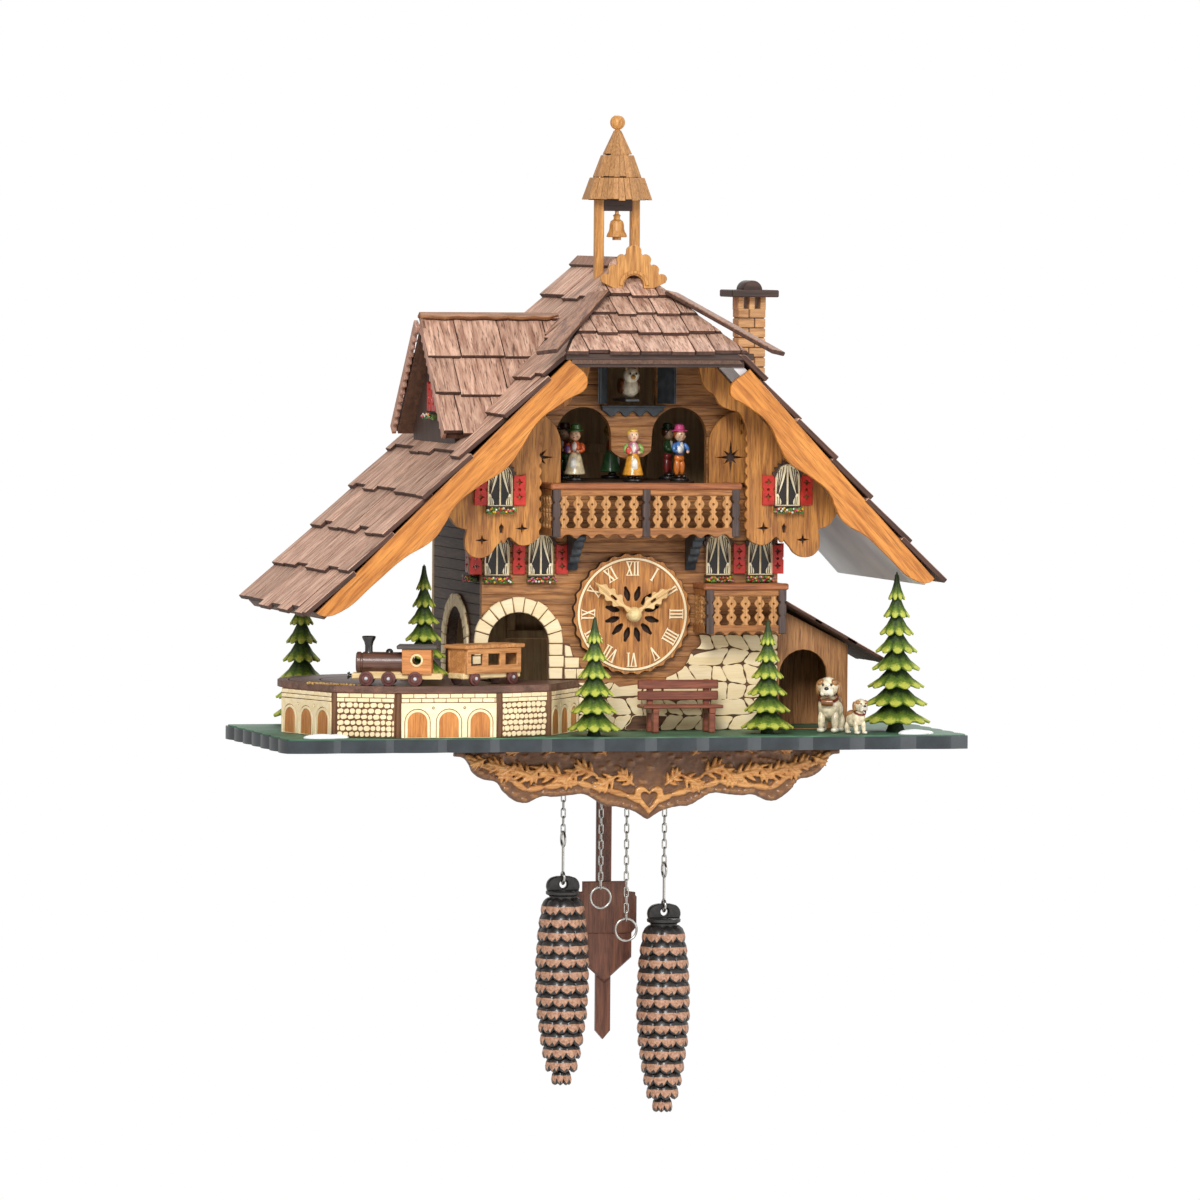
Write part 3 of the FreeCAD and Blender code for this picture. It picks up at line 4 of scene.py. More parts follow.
import bpy
from mathutils import Matrix, Vector


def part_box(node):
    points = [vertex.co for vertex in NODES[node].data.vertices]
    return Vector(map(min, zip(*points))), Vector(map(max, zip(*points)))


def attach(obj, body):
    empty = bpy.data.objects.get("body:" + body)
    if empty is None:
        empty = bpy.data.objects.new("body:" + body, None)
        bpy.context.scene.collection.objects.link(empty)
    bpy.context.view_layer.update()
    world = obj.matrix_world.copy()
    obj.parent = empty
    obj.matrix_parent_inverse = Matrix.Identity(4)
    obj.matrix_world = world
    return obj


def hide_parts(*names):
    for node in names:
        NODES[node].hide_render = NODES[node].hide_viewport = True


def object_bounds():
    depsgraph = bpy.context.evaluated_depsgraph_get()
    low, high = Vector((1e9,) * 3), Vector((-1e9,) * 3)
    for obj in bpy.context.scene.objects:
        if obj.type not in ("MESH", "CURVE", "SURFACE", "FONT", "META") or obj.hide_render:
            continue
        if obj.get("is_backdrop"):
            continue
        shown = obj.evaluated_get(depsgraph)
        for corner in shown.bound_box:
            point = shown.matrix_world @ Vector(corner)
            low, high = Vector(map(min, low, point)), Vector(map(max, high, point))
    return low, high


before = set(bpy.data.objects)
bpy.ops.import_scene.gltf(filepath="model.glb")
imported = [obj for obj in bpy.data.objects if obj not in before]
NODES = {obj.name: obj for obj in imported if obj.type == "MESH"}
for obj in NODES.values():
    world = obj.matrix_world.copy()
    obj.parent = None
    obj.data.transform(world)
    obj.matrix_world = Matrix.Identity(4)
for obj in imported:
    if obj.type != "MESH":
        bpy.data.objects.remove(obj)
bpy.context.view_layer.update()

bpy.ops.object.select_all(action="DESELECT")
random.seed(11)


# ------------------------------------------------------------------ camera, light and floor
# The clock hangs free against white.  Every size below is in millimetres in the house's own
# places: x from the middle of the dial, y back from the front wall, z up from the base board.
WALL_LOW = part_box("front_wall")[0]
HOUSE = Matrix.Translation((0, WALL_LOW.y, WALL_LOW.z)) @ Matrix.Scale(0.001, 4)


def at(x, y, z):
    """A place on the house as a point in the row frame."""
    return HOUSE @ Vector((x, y, z))


VIEW_TURN, VIEW_RISE, VIEW_ROLL = math.radians(15.0), math.radians(2.44), math.radians(0.45)
VIEW_TARGET, VIEW_RANGE, LENS = at(-21.4, 0, 89.7), 6.541, 286.35
back = Vector((-math.sin(VIEW_TURN) * math.cos(VIEW_RISE), -math.cos(VIEW_TURN) * math.cos(VIEW_RISE),
               math.sin(VIEW_RISE)))
level = Vector((math.cos(VIEW_TURN), -math.sin(VIEW_TURN), 0))
right = level * math.cos(VIEW_ROLL) + back.cross(level) * math.sin(VIEW_ROLL)
camera_data = bpy.data.cameras.new("camera")
camera_data.lens, camera_data.sensor_width = LENS, 36.0
camera_data.clip_start, camera_data.clip_end = 0.5, 60.0
camera = bpy.data.objects.new("camera", camera_data)
bpy.context.scene.collection.objects.link(camera)
camera.matrix_world = Matrix((right, back.cross(right), back)).transposed().to_4x4()
camera.location = VIEW_TARGET + back * VIEW_RANGE
bpy.context.scene.camera = camera


def add(tree, kind, inputs=None, **settings):
    """Adds a node, with its settings, its values and its links."""
    made = tree.nodes.new(kind)
    for key, value in settings.items():
        setattr(made, key, value)
    for key, value in (inputs or {}).items():
        if isinstance(value, bpy.types.NodeSocket):
            tree.links.new(value, made.inputs[key])
        else:
            made.inputs[key].default_value = value
    return made


def colour(hex_code):
    """sRGB hex to linear."""
    parts = [int(hex_code[i:i + 2], 16) / 255 for i in (0, 2, 4)]
    return (*(c / 12.92 if c <= 0.04045 else ((c + 0.055) / 1.055) ** 2.4 for c in parts), 1.0)


world = bpy.data.worlds.new("white_room")
bpy.context.scene.world = world
world.use_nodes = True
sky = world.node_tree
seen = add(sky, "ShaderNodeBackground", {"Color": (1, 1, 1, 1), "Strength": 1.0})
light = add(sky, "ShaderNodeBackground", {"Color": colour("fffdfa"), "Strength": 0.62})
path = add(sky, "ShaderNodeLightPath")
room = add(sky, "ShaderNodeMixShader", {0: path.outputs["Is Camera Ray"], 1: light.outputs[0],
                                        2: seen.outputs[0]})
sky.links.new(room.outputs[0], sky.nodes["World Output"].inputs["Surface"])
bpy.context.scene.view_settings.view_transform = "Standard"
bpy.context.scene.view_settings.look = "None"

for label, place, size, power in (("key", (-900, -2400, 1500), 0.9, 62),
                                  ("fill", (1800, -1800, 300), 1.4, 18),
                                  ("rim", (600, 1500, 1700), 1.2, 26)):
    lamp = bpy.data.lights.new(label, "AREA")
    lamp.energy, lamp.size = power, size
    lamp_object = bpy.data.objects.new(label, lamp)
    bpy.context.scene.collection.objects.link(lamp_object)
    lamp_object.location = at(*place)
    lamp_object.rotation_euler = (at(0, 0, 120) - at(*place)).to_track_quat("-Z", "Y").to_euler()

bpy.ops.mesh.primitive_plane_add(size=9, location=at(0, 0, -900))
floor = bpy.context.object
floor.name = "floor"
floor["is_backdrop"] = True
floor_paint = bpy.data.materials.new("pale_floor")
floor_paint.use_nodes = True
floor_paint.node_tree.nodes["Principled BSDF"].inputs["Base Color"].default_value = colour("f2f2f2")
floor_paint.node_tree.nodes["Principled BSDF"].inputs["Roughness"].default_value = 0.8
floor.data.materials.append(floor_paint)


# ------------------------------------------------------------------ base board
# Plywood sprayed blue-black, its edge sawn in shallow scallops, with a green field painted on
# top and two drifts of white plaster snow.
def painted(name, hex_code, shade, rough=0.5, cloud_mm=6.0, bump=0.15, coat=0.0):
    """Hand-brushed paint: two close tones in soft clouds and a slight brush texture."""
    material = bpy.data.materials.new(name)
    material.use_nodes = True
    tree = material.node_tree
    shader = tree.nodes["Principled BSDF"]
    place = add(tree, "ShaderNodeTexCoord").outputs["Object"]
    clouds = add(tree, "ShaderNodeTexNoise", {"Vector": place, "Scale": 1000 / cloud_mm, "Detail": 4.0})
    brush = add(tree, "ShaderNodeTexNoise", {"Vector": place, "Scale": 5000 / cloud_mm, "Detail": 3.0})
    blend = add(tree, "ShaderNodeValToRGB", {"Fac": clouds.outputs["Fac"]})
    blend.color_ramp.elements[0].position, blend.color_ramp.elements[1].position = 0.35, 0.65
    blend.color_ramp.elements[0].color = colour(shade)
    blend.color_ramp.elements[1].color = colour(hex_code)
    height = add(tree, "ShaderNodeBump", {"Height": brush.outputs["Fac"], "Strength": bump,
                                          "Distance": 0.0004})
    tree.links.new(blend.outputs["Color"], shader.inputs["Base Color"])
    tree.links.new(height.outputs["Normal"], shader.inputs["Normal"])
    shader.inputs["Roughness"].default_value = rough
    shader.inputs["Coat Weight"].default_value = coat
    return material


def give(piece, *materials):
    piece.data.materials.clear()
    for material in materials:
        piece.data.materials.append(material)


def fit(piece, body, slot, *nodes):
    """Sets a finished piece in its place on the clock: the body it moves with and the plain parts that it
    stands for, which it hides. The slot argument is not used."""
    piece.data.transform(HOUSE)
    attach(piece, body)
    if nodes:
        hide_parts(*nodes)
    return piece


def joined(name, pieces):
    """One piece out of several."""
    bpy.ops.object.select_all(action="DESELECT")
    for piece in pieces:
        piece.select_set(True)
    bpy.context.view_layer.objects.active = pieces[0]
    bpy.ops.object.join()
    pieces[0].name = name
    pieces[0].select_set(False)
    return pieces[0]


def finished(piece, **modifiers):
    """Adds the named modifiers with their settings and applies each."""
    bpy.ops.object.select_all(action="DESELECT")
    bpy.context.view_layer.objects.active = piece
    piece.select_set(True)
    for kind, settings in modifiers.items():
        modifier = piece.modifiers.new(kind, kind)
        for key, value in settings.items():
            setattr(modifier, key, value)
        bpy.ops.object.modifier_apply(modifier=modifier.name)
    piece.select_set(False)
    return piece


def smoothed(piece, angle=35):
    bpy.ops.object.select_all(action="DESELECT")
    bpy.context.view_layer.objects.active = piece
    piece.select_set(True)
    bpy.ops.object.shade_smooth_by_angle(angle=math.radians(angle))
    piece.select_set(False)
    return piece


def pebble(name, x, y, z, size, turn=0.0, detail=3):
    """A smooth egg-shaped lump, its half sizes given by size."""
    bpy.ops.mesh.primitive_ico_sphere_add(subdivisions=detail, radius=1)
    piece = bpy.context.object
    piece.name = name
    piece.data.transform(Matrix.Translation((x, y, z)) @ Matrix.Rotation(turn, 4, "Z")
                         @ Matrix.Diagonal((*size, 1)))
    piece.data.shade_smooth()
    piece.select_set(False)
    return piece


base_paint = painted("blue_black_lacquer", "2c343a", "20272c", rough=0.45, cloud_mm=12, bump=0.08, coat=0.3)
give(NODES["base_plate"], base_paint)
give(NODES["grass_cover"], painted("meadow_green_paint", "4c7a5c", "3a6048", rough=0.55, cloud_mm=14))
snow = joined("snow_drifts", [pebble("drift", -232, -66, 0.4, (13, 6, 2.6)),
                              pebble("drift", -221, -63, 0.4, (8, 6, 2.2)),
                              pebble("drift", 184, -66, 0.4, (11, 6, 3)),
                              pebble("drift", 193, -63, 0.4, (6, 5, 2))])
give(snow, painted("snow_plaster", "f6f8fa", "e6ebf0", rough=0.8, cloud_mm=3, bump=0.4))
fit(snow, "case", "green_paint")


# ------------------------------------------------------------------ house walls
# Walls of narrow planks, oiled a golden brown that is darker in the pores.  Each plank has
# softened edges, and the openings for dancers, cuckoo and train are sawn through them.
def timber(name, light, dark, pore="2a160a", rough=0.5, ring_mm=3.2, fibre_mm=0.7, along=None, bump=0.35,
           contrast=(0.34, 0.64), pores=0.55, coat=0.0):
    """Oiled or stained wood.  Broad year rings and fine dark pores run along the grain, which is
    the x axis of the piece's "grain" attribute in millimetres, or a row axis where along names
    one.  Its "tone" attribute makes one board lighter or darker than the next."""
    material = bpy.data.materials.new(name)
    material.use_nodes = True
    tree = material.node_tree
    shader = tree.nodes["Principled BSDF"]
    if along:
        turn = {"x": (0, 0, 0), "y": (0, 0, -math.pi / 2), "z": (0, math.pi / 2, 0)}[along]
        place = add(tree, "ShaderNodeTexCoord").outputs["Object"]
        source = add(tree, "ShaderNodeMapping", {"Vector": place, "Rotation": turn,
                                                 "Scale": (1000, 1000, 1000)}).outputs["Vector"]
    else:
        source = add(tree, "ShaderNodeAttribute", attribute_name="grain").outputs["Vector"]
    broad = add(tree, "ShaderNodeMapping", {"Vector": source,
                                            "Scale": (0.09 / ring_mm, 1 / ring_mm, 1 / ring_mm)})
    rings = add(tree, "ShaderNodeTexNoise", {"Vector": broad.outputs["Vector"], "Scale": 1.0, "Detail": 4.0,
                                             "Roughness": 0.6, "Distortion": 0.6})
    slim = add(tree, "ShaderNodeMapping", {"Vector": source, "Scale": (0.05 / fibre_mm, 1 / fibre_mm,
        1 / fibre_mm)})
    fibres = add(tree, "ShaderNodeTexNoise", {"Vector": slim.outputs["Vector"], "Scale": 1.0, "Detail": 2.0,
                                              "Roughness": 0.6})
    ramp = add(tree, "ShaderNodeValToRGB", {"Fac": rings.outputs["Fac"]})
    ramp.color_ramp.elements[0].position, ramp.color_ramp.elements[1].position = contrast
    ramp.color_ramp.elements[0].color, ramp.color_ramp.elements[1].color = colour(dark), colour(light)
    streak = add(tree, "ShaderNodeMapRange", {"Value": fibres.outputs["Fac"], "From Min": 0.46,
                                              "From Max": 0.32,
                                              "To Min": 0.0, "To Max": pores})
    pored = add(tree, "ShaderNodeMix", {0: streak.outputs["Result"], 6: ramp.outputs["Color"],
                                        7: colour(pore)}, data_type="RGBA")
    tone = add(tree, "ShaderNodeAttribute", attribute_name="tone")
    value = add(tree, "ShaderNodeMath", {0: tone.outputs["Fac"], 1: 1.0}, operation="ADD")
    toned = add(tree, "ShaderNodeHueSaturation", {"Value": value.outputs[0], "Color": pored.outputs[2]})
    tree.links.new(toned.outputs["Color"], shader.inputs["Base Color"])
    height = add(tree, "ShaderNodeBump", {"Height": fibres.outputs["Fac"], "Strength": bump,
                                          "Distance": 0.0003})
    tree.links.new(height.outputs["Normal"], shader.inputs["Normal"])
    shader.inputs["Roughness"].default_value = rough
    shader.inputs["Coat Weight"].default_value = coat
    return material


def islands(mesh):
    """The number of the loose part that each vertex belongs to."""
    parent = list(range(len(mesh.vertices)))

    def root(item):
        while parent[item] != item:
            parent[item] = parent[parent[item]]
            item = parent[item]
        return item

    for edge in mesh.edges:
        first, second = root(edge.vertices[0]), root(edge.vertices[1])
        if first != second:
            parent[second] = first
    return [root(item) for item in range(len(parent))]


def grained(piece, along, spread=0.10):
    """Runs the grain of each loose board of a piece along a direction, each cut from another
    place of the plank and a little lighter or darker."""
    turn = Vector(along).normalized().rotation_difference(Vector((1, 0, 0))).to_matrix()
    mesh = piece.data
    for label, kind in (("grain", "FLOAT_VECTOR"), ("tone", "FLOAT")):
        if label in mesh.attributes:
            mesh.attributes.remove(mesh.attributes[label])
        mesh.attributes.new(label, kind, "POINT")
    boards, places, tones = {}, [], []
    for vertex, board in zip(mesh.vertices, islands(mesh)):
        if board not in boards:
            boards[board] = (Vector([random.uniform(-400, 400) for _ in range(3)]),
                             random.uniform(-spread, spread))
        shift, tone = boards[board]
        places.extend(turn @ vertex.co + shift)
        tones.append(tone)
    mesh.attributes["grain"].data.foreach_set("vector", places)
    mesh.attributes["tone"].data.foreach_set("value", tones)
    return piece


TEMPLATES = {}


def planed(name, low, high, edge=0.4):
    """A bevelled block between two corners.  One is bevelled for each edge radius, and its
    corners are then moved apart to the size wanted."""
    if edge not in TEMPLATES:
        bpy.ops.mesh.primitive_cube_add(size=20)
        TEMPLATES[edge] = finished(bpy.context.object, BEVEL={"width": edge, "segments": 1})
        TEMPLATES[edge].data.materials.clear()
        bpy.context.scene.collection.objects.unlink(TEMPLATES[edge])
    piece = bpy.data.objects.new(name, TEMPLATES[edge].data.copy())
    bpy.context.scene.collection.objects.link(piece)
    low, high = Vector(low), Vector(high)
    middle, half = (low + high) / 2, (high - low) / 2
    for vertex in piece.data.vertices:
        vertex.co = [middle[k] + math.copysign(half[k] - 10 + abs(vertex.co[k]), vertex.co[k])
                     for k in range(3)]
    return piece


def wood_copy(node):
    """The plain part's solid, its corners merged, in house millimetres, for a saw to cut with."""
    piece = NODES[node].copy()
    piece.data = NODES[node].data.copy()
    for key in list(piece.keys()):
        del piece[key]
    piece.parent = None
    bpy.context.scene.collection.objects.link(piece)
    piece.hide_render = piece.hide_viewport = False
    piece.data.transform(HOUSE.inverted())
    finished(piece, WELD={"merge_threshold": 0.002})
    return piece


def planked(name, node, low, high, tall, thin):
    """Planks laid up to the size of a wall and sawn to its outline and openings.  The wall that
    guides the saw is made thicker, so that it trims no plank's face."""
    planks = []
    rows = math.ceil((high[2] - low[2]) / tall)
    for row in range(rows):
        z = low[2] + row * tall
        planks.append(planed("plank", (low[0], low[1], z + 0.03), (high[0], high[1], z + tall), 0.55))
    stack = joined(name, planks)
    wall = wood_copy(node)
    middle = (low[thin] + high[thin]) / 2
    for vertex in wall.data.vertices:
        vertex.co[thin] = middle + (vertex.co[thin] - middle) * 1.5
    finished(stack, BOOLEAN={"operation": "INTERSECT", "object": wall, "solver": "EXACT"})
    bpy.data.objects.remove(wall)
    return stack


HALF, DEPTH, WALL, RIDGE = 105.0, 141.0, 6.0, 323.0
wall_wood = timber("golden_brown_wall_planks", "b27c48", "7a4c28", pore="3c2312", rough=0.55, ring_mm=2.6)
front_wall = planked("front_wall_planks", "front_wall", (-HALF - 1, 0, 0), (HALF + 1, WALL, RIDGE), 7.2, 1)
left_wall = planked("left_wall_planks", "left_wall", (-HALF, 0, 0), (WALL - HALF, DEPTH, 214), 7.2, 0)
right_wall = planked("right_wall_planks", "right_wall", (HALF - WALL, 0, 0), (HALF, DEPTH, 214), 7.2, 0)
# The side walls are the same planks painted a darker brown: painted shade on the sides of the house.
side_planks_shade = timber("side_planks_painted_shade", "5c4436", "38281f", pore="1c120c", rough=0.6, ring_mm=2.6)
for wall, node, along, wood in ((front_wall, "front_wall", (1, 0, 0), wall_wood),
                                (left_wall, "left_wall", (0, 1, 0), side_planks_shade),
                                (right_wall, "right_wall", (0, 1, 0), side_planks_shade)):
    grained(wall, along, 0.13)
    give(wall, wood)
    fit(wall, "case", "oak_board", node)
plywood = timber("raw_birch_plywood", "c9a878", "a9835a", pore="7a5a3a", rough=0.7, along="z", ring_mm=5,
                 pores=0.3)
stops = [planed("stop", (x1, 132.2, z1), (x2, 134.8, z2), 0.3) for x1, x2, z1, z2 in
         ((-53, 53, 57, 63), (-53, 53, 187, 193), (-53, -47, 63, 187), (47, 53, 63, 187))]
stops = grained(joined("hatch_stops", stops), (1, 0, 0))
give(stops, plywood)
fit(stops, "case", "plywood")
give(NODES["back_panel"], plywood)
give(NODES["rear_door"], plywood)


# ------------------------------------------------------------------ stone viaduct
# Five panels of pale maple stand round the train's track between dark round posts.  Bricks,
# cobbles and double arches are cut in the maple and their joints burnt brown; orange boards
# close the arches, and the layered brown deck lies on top.
def plane(origin, across=(1, 0, 0), up=(0, 0, 1)):
    """Where a flat board goes: its front face lies in this plane and it grows behind it."""
    across, up = Vector(across).normalized(), Vector(up).normalized()
    return Matrix.Translation(origin) @ Matrix((across, up, across.cross(up))).transposed().to_4x4()


def sawn(name, outlines, thick, place, edge=0.3, smooth=6):
    """Boards sawn to outlines in one plane, with softened edges; an outline inside another is a
    hole.  A point is (across, up), and a third value lets the saw run smoothly through it."""
    curve = bpy.data.curves.new(name, "CURVE")
    curve.dimensions, curve.fill_mode = "2D", "BOTH"
    curve.extrude, curve.bevel_depth, curve.bevel_resolution = thick / 2 - edge, edge, 0
    curve.offset, curve.resolution_u = -edge, smooth
    for outline in outlines:
        spline = curve.splines.new("BEZIER")
        spline.bezier_points.add(len(outline) - 1)
        for point, spot in zip(spline.bezier_points, outline):
            point.co = (spot[0], spot[1], 0)
            point.handle_left_type = point.handle_right_type = "AUTO" if len(spot) > 2 else "VECTOR"
        spline.use_cyclic_u = True
    piece = bpy.data.objects.new(name, curve)
    bpy.context.scene.collection.objects.link(piece)
    bpy.ops.object.select_all(action="DESELECT")
    bpy.context.view_layer.objects.active = piece
    piece.select_set(True)
    bpy.ops.object.convert(target="MESH")
    piece.select_set(False)
    piece.data.materials.clear()
    piece.data.transform(place @ Matrix.Translation((0, 0, -thick / 2)))
    return piece


def burnt(piece, out, share=0.8):
    """The sawn rim takes the piece's second finish: every face that looks away from out."""
    out = Vector(out).normalized()
    for face in piece.data.polygons:
        face.material_index = 1 if abs(face.normal.dot(out)) < share else 0
    return piece


def arc(x, y, radius, start, end, count):
    """Points on an arc, from a start angle to an end angle in degrees."""
    return [(x + radius * math.cos(math.radians(start + (end - start) * k / count)),
             y + radius * math.sin(math.radians(start + (end - start) * k / count)))
            for k in range(count + 1)]


def box_line(x1, y1, x2, y2):
    return [(x1, y1), (x2, y1), (x2, y2), (x1, y2)]


def arch_line(x, half, low, spring):
    """An opening with a round head."""
    return [(x - half, low), (x + half, low)] + arc(x, spring, half, 0, 180, 10)


maple = timber("engraved_pale_maple", "f6e3bd", "ead2a2", pore="d2b27e", rough=0.6, ring_mm=6, pores=0.25,
               bump=0.1)
scorched = timber("laser_burnt_maple", "7a5232", "5a3a22", pore="3a2414", rough=0.7)
orange_wood = timber("orange_oiled_infill", "d08a45", "a8652b", pore="6a3c16", rough=0.5)
deck_wood = timber("dark_stained_deck", "7a5646", "553a2e", pore="2c1c14", rough=0.55, along="x", ring_mm=5)
CORNERS = [(-37, -3), (-72, -57), (-111.5, -76), (-182, -76), (-222, -57), (-243, 10)]
PANEL_TALL, BRICK_ROWS = 30.6, (30.2, 27.2, 24.2)
plates, stones, infills = [], [], []
for number, (first, last) in enumerate(zip(CORNERS, CORNERS[1:])):
    along = Vector((*first, 0)) - Vector((*last, 0))
    length = along.length
    face = plane((*last, 0), along, (0, 0, 1)) @ Matrix.Translation((0, 0, 1.0))
    plates.append(sawn("backing", [box_line(2, 0.2, length - 2, PANEL_TALL)], 2.0,
                       face @ Matrix.Translation((0, 0, -0.7))))
    tiles = []
    for row in range(2):
        x, top, low = 2.2, BRICK_ROWS[row], BRICK_ROWS[row + 1]
        first_brick = 5.5 if row else 8.5
        while x < length - 3:
            end = min(x + first_brick, length - 2.2)
            tiles.append(box_line(x + 0.25, low + 0.25, end - 0.25, top - 0.25))
            x, first_brick = end, 8.5
    if number in (0, 2, 4):
        reach = (length - 5) / 6
        radius = min(reach - 1.6, 8.6)
        spring = 2 + max(8.5, 17.6 - radius)
        holes = []
        for bay in range(3):
            middle = 2.5 + reach * (2 * bay + 1)
            holes.append(arch_line(middle, radius + 0.5, 0.6, spring))
            tiles.append(arc(middle, spring, radius, 180, 0, 12)
                         + [(middle + radius, 0.6), (middle + radius - 1.8, 0.6)]
                         + arc(middle, spring, radius - 1.8, 0, 180, 12) + [(middle - radius + 1.8, 0.6),
                             (middle - radius, 0.6)])
            infills.append(sawn("infill", [arch_line(middle, radius - 1.6, 0.5, spring)], 1.4,
                                face @ Matrix.Translation((0, 0, -0.3))))
        for bay in range(2):
            holes.append(arc(2.5 + reach * (2 * bay + 2), 20.6, 0.95, 0, 330, 11))
            tiles.append(arc(2.5 + reach * (2 * bay + 2), 20.6, 0.5, 0, 315, 7))
        stones.append(sawn("field", [box_line(2.2, 0.3, length - 2.2, 23.9)] + holes, 0.9, face, 0.2))
    else:
        row_tall = 3.9
        for row in range(6):
            x = 2.4 - (row % 2) * 1.7
            while x < length - 3:
                wide = random.uniform(3.4, 5.0)
                left, right = max(x, 2.4), min(x + wide, length - 2.4)
                if right - left > 1.4:
                    middle, z = (left + right) / 2, 0.6 + row_tall * (row + 0.5) + random.uniform(-0.2, 0.2)
                    half, tall = (right - left) / 2 - 0.25, random.uniform(1.55, 1.85)
                    corner = random.uniform(0.75, 1.0)
                    tiles.append([(middle - half, z - tall * 0.4 * corner), (middle - half * 0.5, z - tall),
                                  (middle + half * 0.5, z - tall * corner),
                                  (middle + half, z - tall * 0.4), (middle + half, z + tall * 0.45),
                                  (middle + half * 0.45, z + tall),
                                  (middle - half * 0.55, z + tall * corner),
                                  (middle - half, z + tall * 0.4)])
                x += wide
    stones.append(sawn("bricks", tiles, 0.9, face, 0.2))
    if number:
        bpy.ops.mesh.primitive_cylinder_add(vertices=20, radius=3, depth=PANEL_TALL - 0.2,
                                            location=(first[0] * 0.985 - 1.5, first[1] * 0.95,
                                                      PANEL_TALL / 2 - 0.1))
        column = bpy.context.object
        column.data.transform(column.matrix_world)
        column.matrix_world = Matrix()
        column.select_set(False)
        plates.append(smoothed(finished(column, BEVEL={"width": 0.4, "segments": 2})))
plates = grained(joined("viaduct_backing", plates), (0, 0, 1))
give(plates, scorched)
fit(plates, "case", "pale_maple", "bridge_panels")
stones = grained(joined("viaduct_stones", stones), (1, 0, 0), 0.04)
give(stones, maple)
fit(stones, "case", "pale_maple")
infills = grained(joined("viaduct_arch_boards", infills), (0, 0, 1), 0.05)
give(infills, orange_wood)
fit(infills, "case", "golden_wood")
give(NODES["bridge_deck"], deck_wood)
give(NODES["train_disc"], deck_wood)
gravel = []
for _ in range(70):
    turn, reach = random.uniform(3.6, 4.1), random.uniform(84, 87)
    gravel.append(pebble("gravel", -155 + reach * math.cos(turn), 11 + reach * math.sin(turn) * 0.98, 35.2,
                         [random.uniform(0.7, 1.3) for _ in range(3)], 0, 1))
gravel = joined("track_gravel", gravel)
give(gravel, painted("ochre_gravel", "d9b06a", "8a6436", rough=0.9, cloud_mm=1.2))
fit(gravel, "case", "pale_maple")


# ------------------------------------------------------------------ stonework on the house
# Cream maple stones glued to the walls: an arch of wedge stones round each tunnel mouth and
# crazy paving that climbs the right half of the front, all with burnt joints.
def voussoirs(middle, inner, outer, low, spring, count, blocks):
    """Outlines of the wedge stones of an arch and of the blocks that carry it."""
    lines = []
    for k in range(count):
        start, end = 180 * k / count, 180 * (k + 1) / count
        trim_out, trim_in = math.degrees(0.35 / outer), math.degrees(0.35 / inner)
        lines.append(arc(middle, spring, outer + (0.5 if k % 2 else -0.2), start + trim_out, end - trim_out,
                         3)
                     + arc(middle, spring, inner, end - trim_in, start + trim_in, 3))
    for side in (-1, 1):
        for k in range(blocks):
            z1, z2 = low + (spring - low) * k / blocks, low + (spring - low) * (k + 1) / blocks
            near, far = middle + side * inner, middle + side * (outer + (0.6 if k % 2 else -0.3))
            lines.append(box_line(min(near, far) + 0.2, z1 + 0.3, max(near, far) - 0.2, z2 - 0.3))
    return lines


joint_paint = timber("burnt_joints", "6e4a30", "4a301e", rough=0.75)
TUNNEL_X, TUNNEL_HALF, ARCH_FOOT = -79.5, 21.5, 35.6
arch_back = sawn("arch_backing", [arc(TUNNEL_X, 60, 31.4, 0, 180, 24) + [(TUNNEL_X - 31.4, ARCH_FOOT),
    (TUNNEL_X - 21.8, ARCH_FOOT)]
                                  + arc(TUNNEL_X, 60, 21.8, 180, 0, 20) + [(TUNNEL_X + 21.8, ARCH_FOOT),
                                      (-31, ARCH_FOOT), (-34, 43), (-41, 53), (-43, 60)]],
                 1.3, plane((0, -1.7, 0)), 0.1)
ramp_blocks = [box_line(-46.6, 36, -38.6, 42.6), box_line(-38, 36, -32.4, 42.6),
               box_line(-46.6, 43.4, -36.6, 50.4),
               [(-46.6, 51.2), (-41, 51.2), (-43, 58), (-46.6, 59)]]
arch_stones = sawn("arch_stones", voussoirs(TUNNEL_X, TUNNEL_HALF, 31.6, ARCH_FOOT, 60, 11, 3)
                   + ramp_blocks, 2.2,
                   plane((0, -3.0, 0)), 0.5)
side_plane = plane((-HALF - 1.7, 66, 0), (0, -1, 0))
side_back = sawn("side_arch_backing", [arc(0, 55, 36.6, 0, 180, 24)
                                       + [(-36.6, ARCH_FOOT), (-28.2, ARCH_FOOT)]
                                       + arc(0, 55, 28.2, 180, 0, 20)
                                       + [(28.2, ARCH_FOOT), (36.6, ARCH_FOOT)]], 1.4, side_plane, 0.1)
side_stones = sawn("side_arch_stones", voussoirs(0, 28, 36.8, ARCH_FOOT, 55, 13, 3), 2.0,
                   side_plane @ Matrix.Translation((0, 0, 1.3)), 0.5)
FACING = [(-37, 0.3), (HALF - 0.3, 0.3), (HALF - 0.3, 65.5), (49, 65.5), (50, 59, 1), (44, 54, 1),
          (40.5, 47, 1),
          (37, 42), (30, 38, 1), (26, 36.5), (24, 32), (4, 31.5), (-8, 30), (-12, 33), (-37, 33)]
facing_back = sawn("facing_backing", [FACING], 1.2, plane((0, -1.5, 0)), 0.1)
COLUMNS, ROWS = 12, 6
grid = {}
for i in range(COLUMNS + 1):
    for j in range(ROWS + 1):
        inside_row, inside_column = 0 < j < ROWS, 0 < i < COLUMNS
        grid[i, j] = (-37 + 142 * i / COLUMNS + (random.uniform(-3.6, 3.6) if inside_column else 0)
                      + (2.8 if j % 2 else -2.8) * inside_column,
                      66 * j / ROWS + (random.uniform(-2.6, 2.6) if inside_row else 0))
paving = []
skip = set()
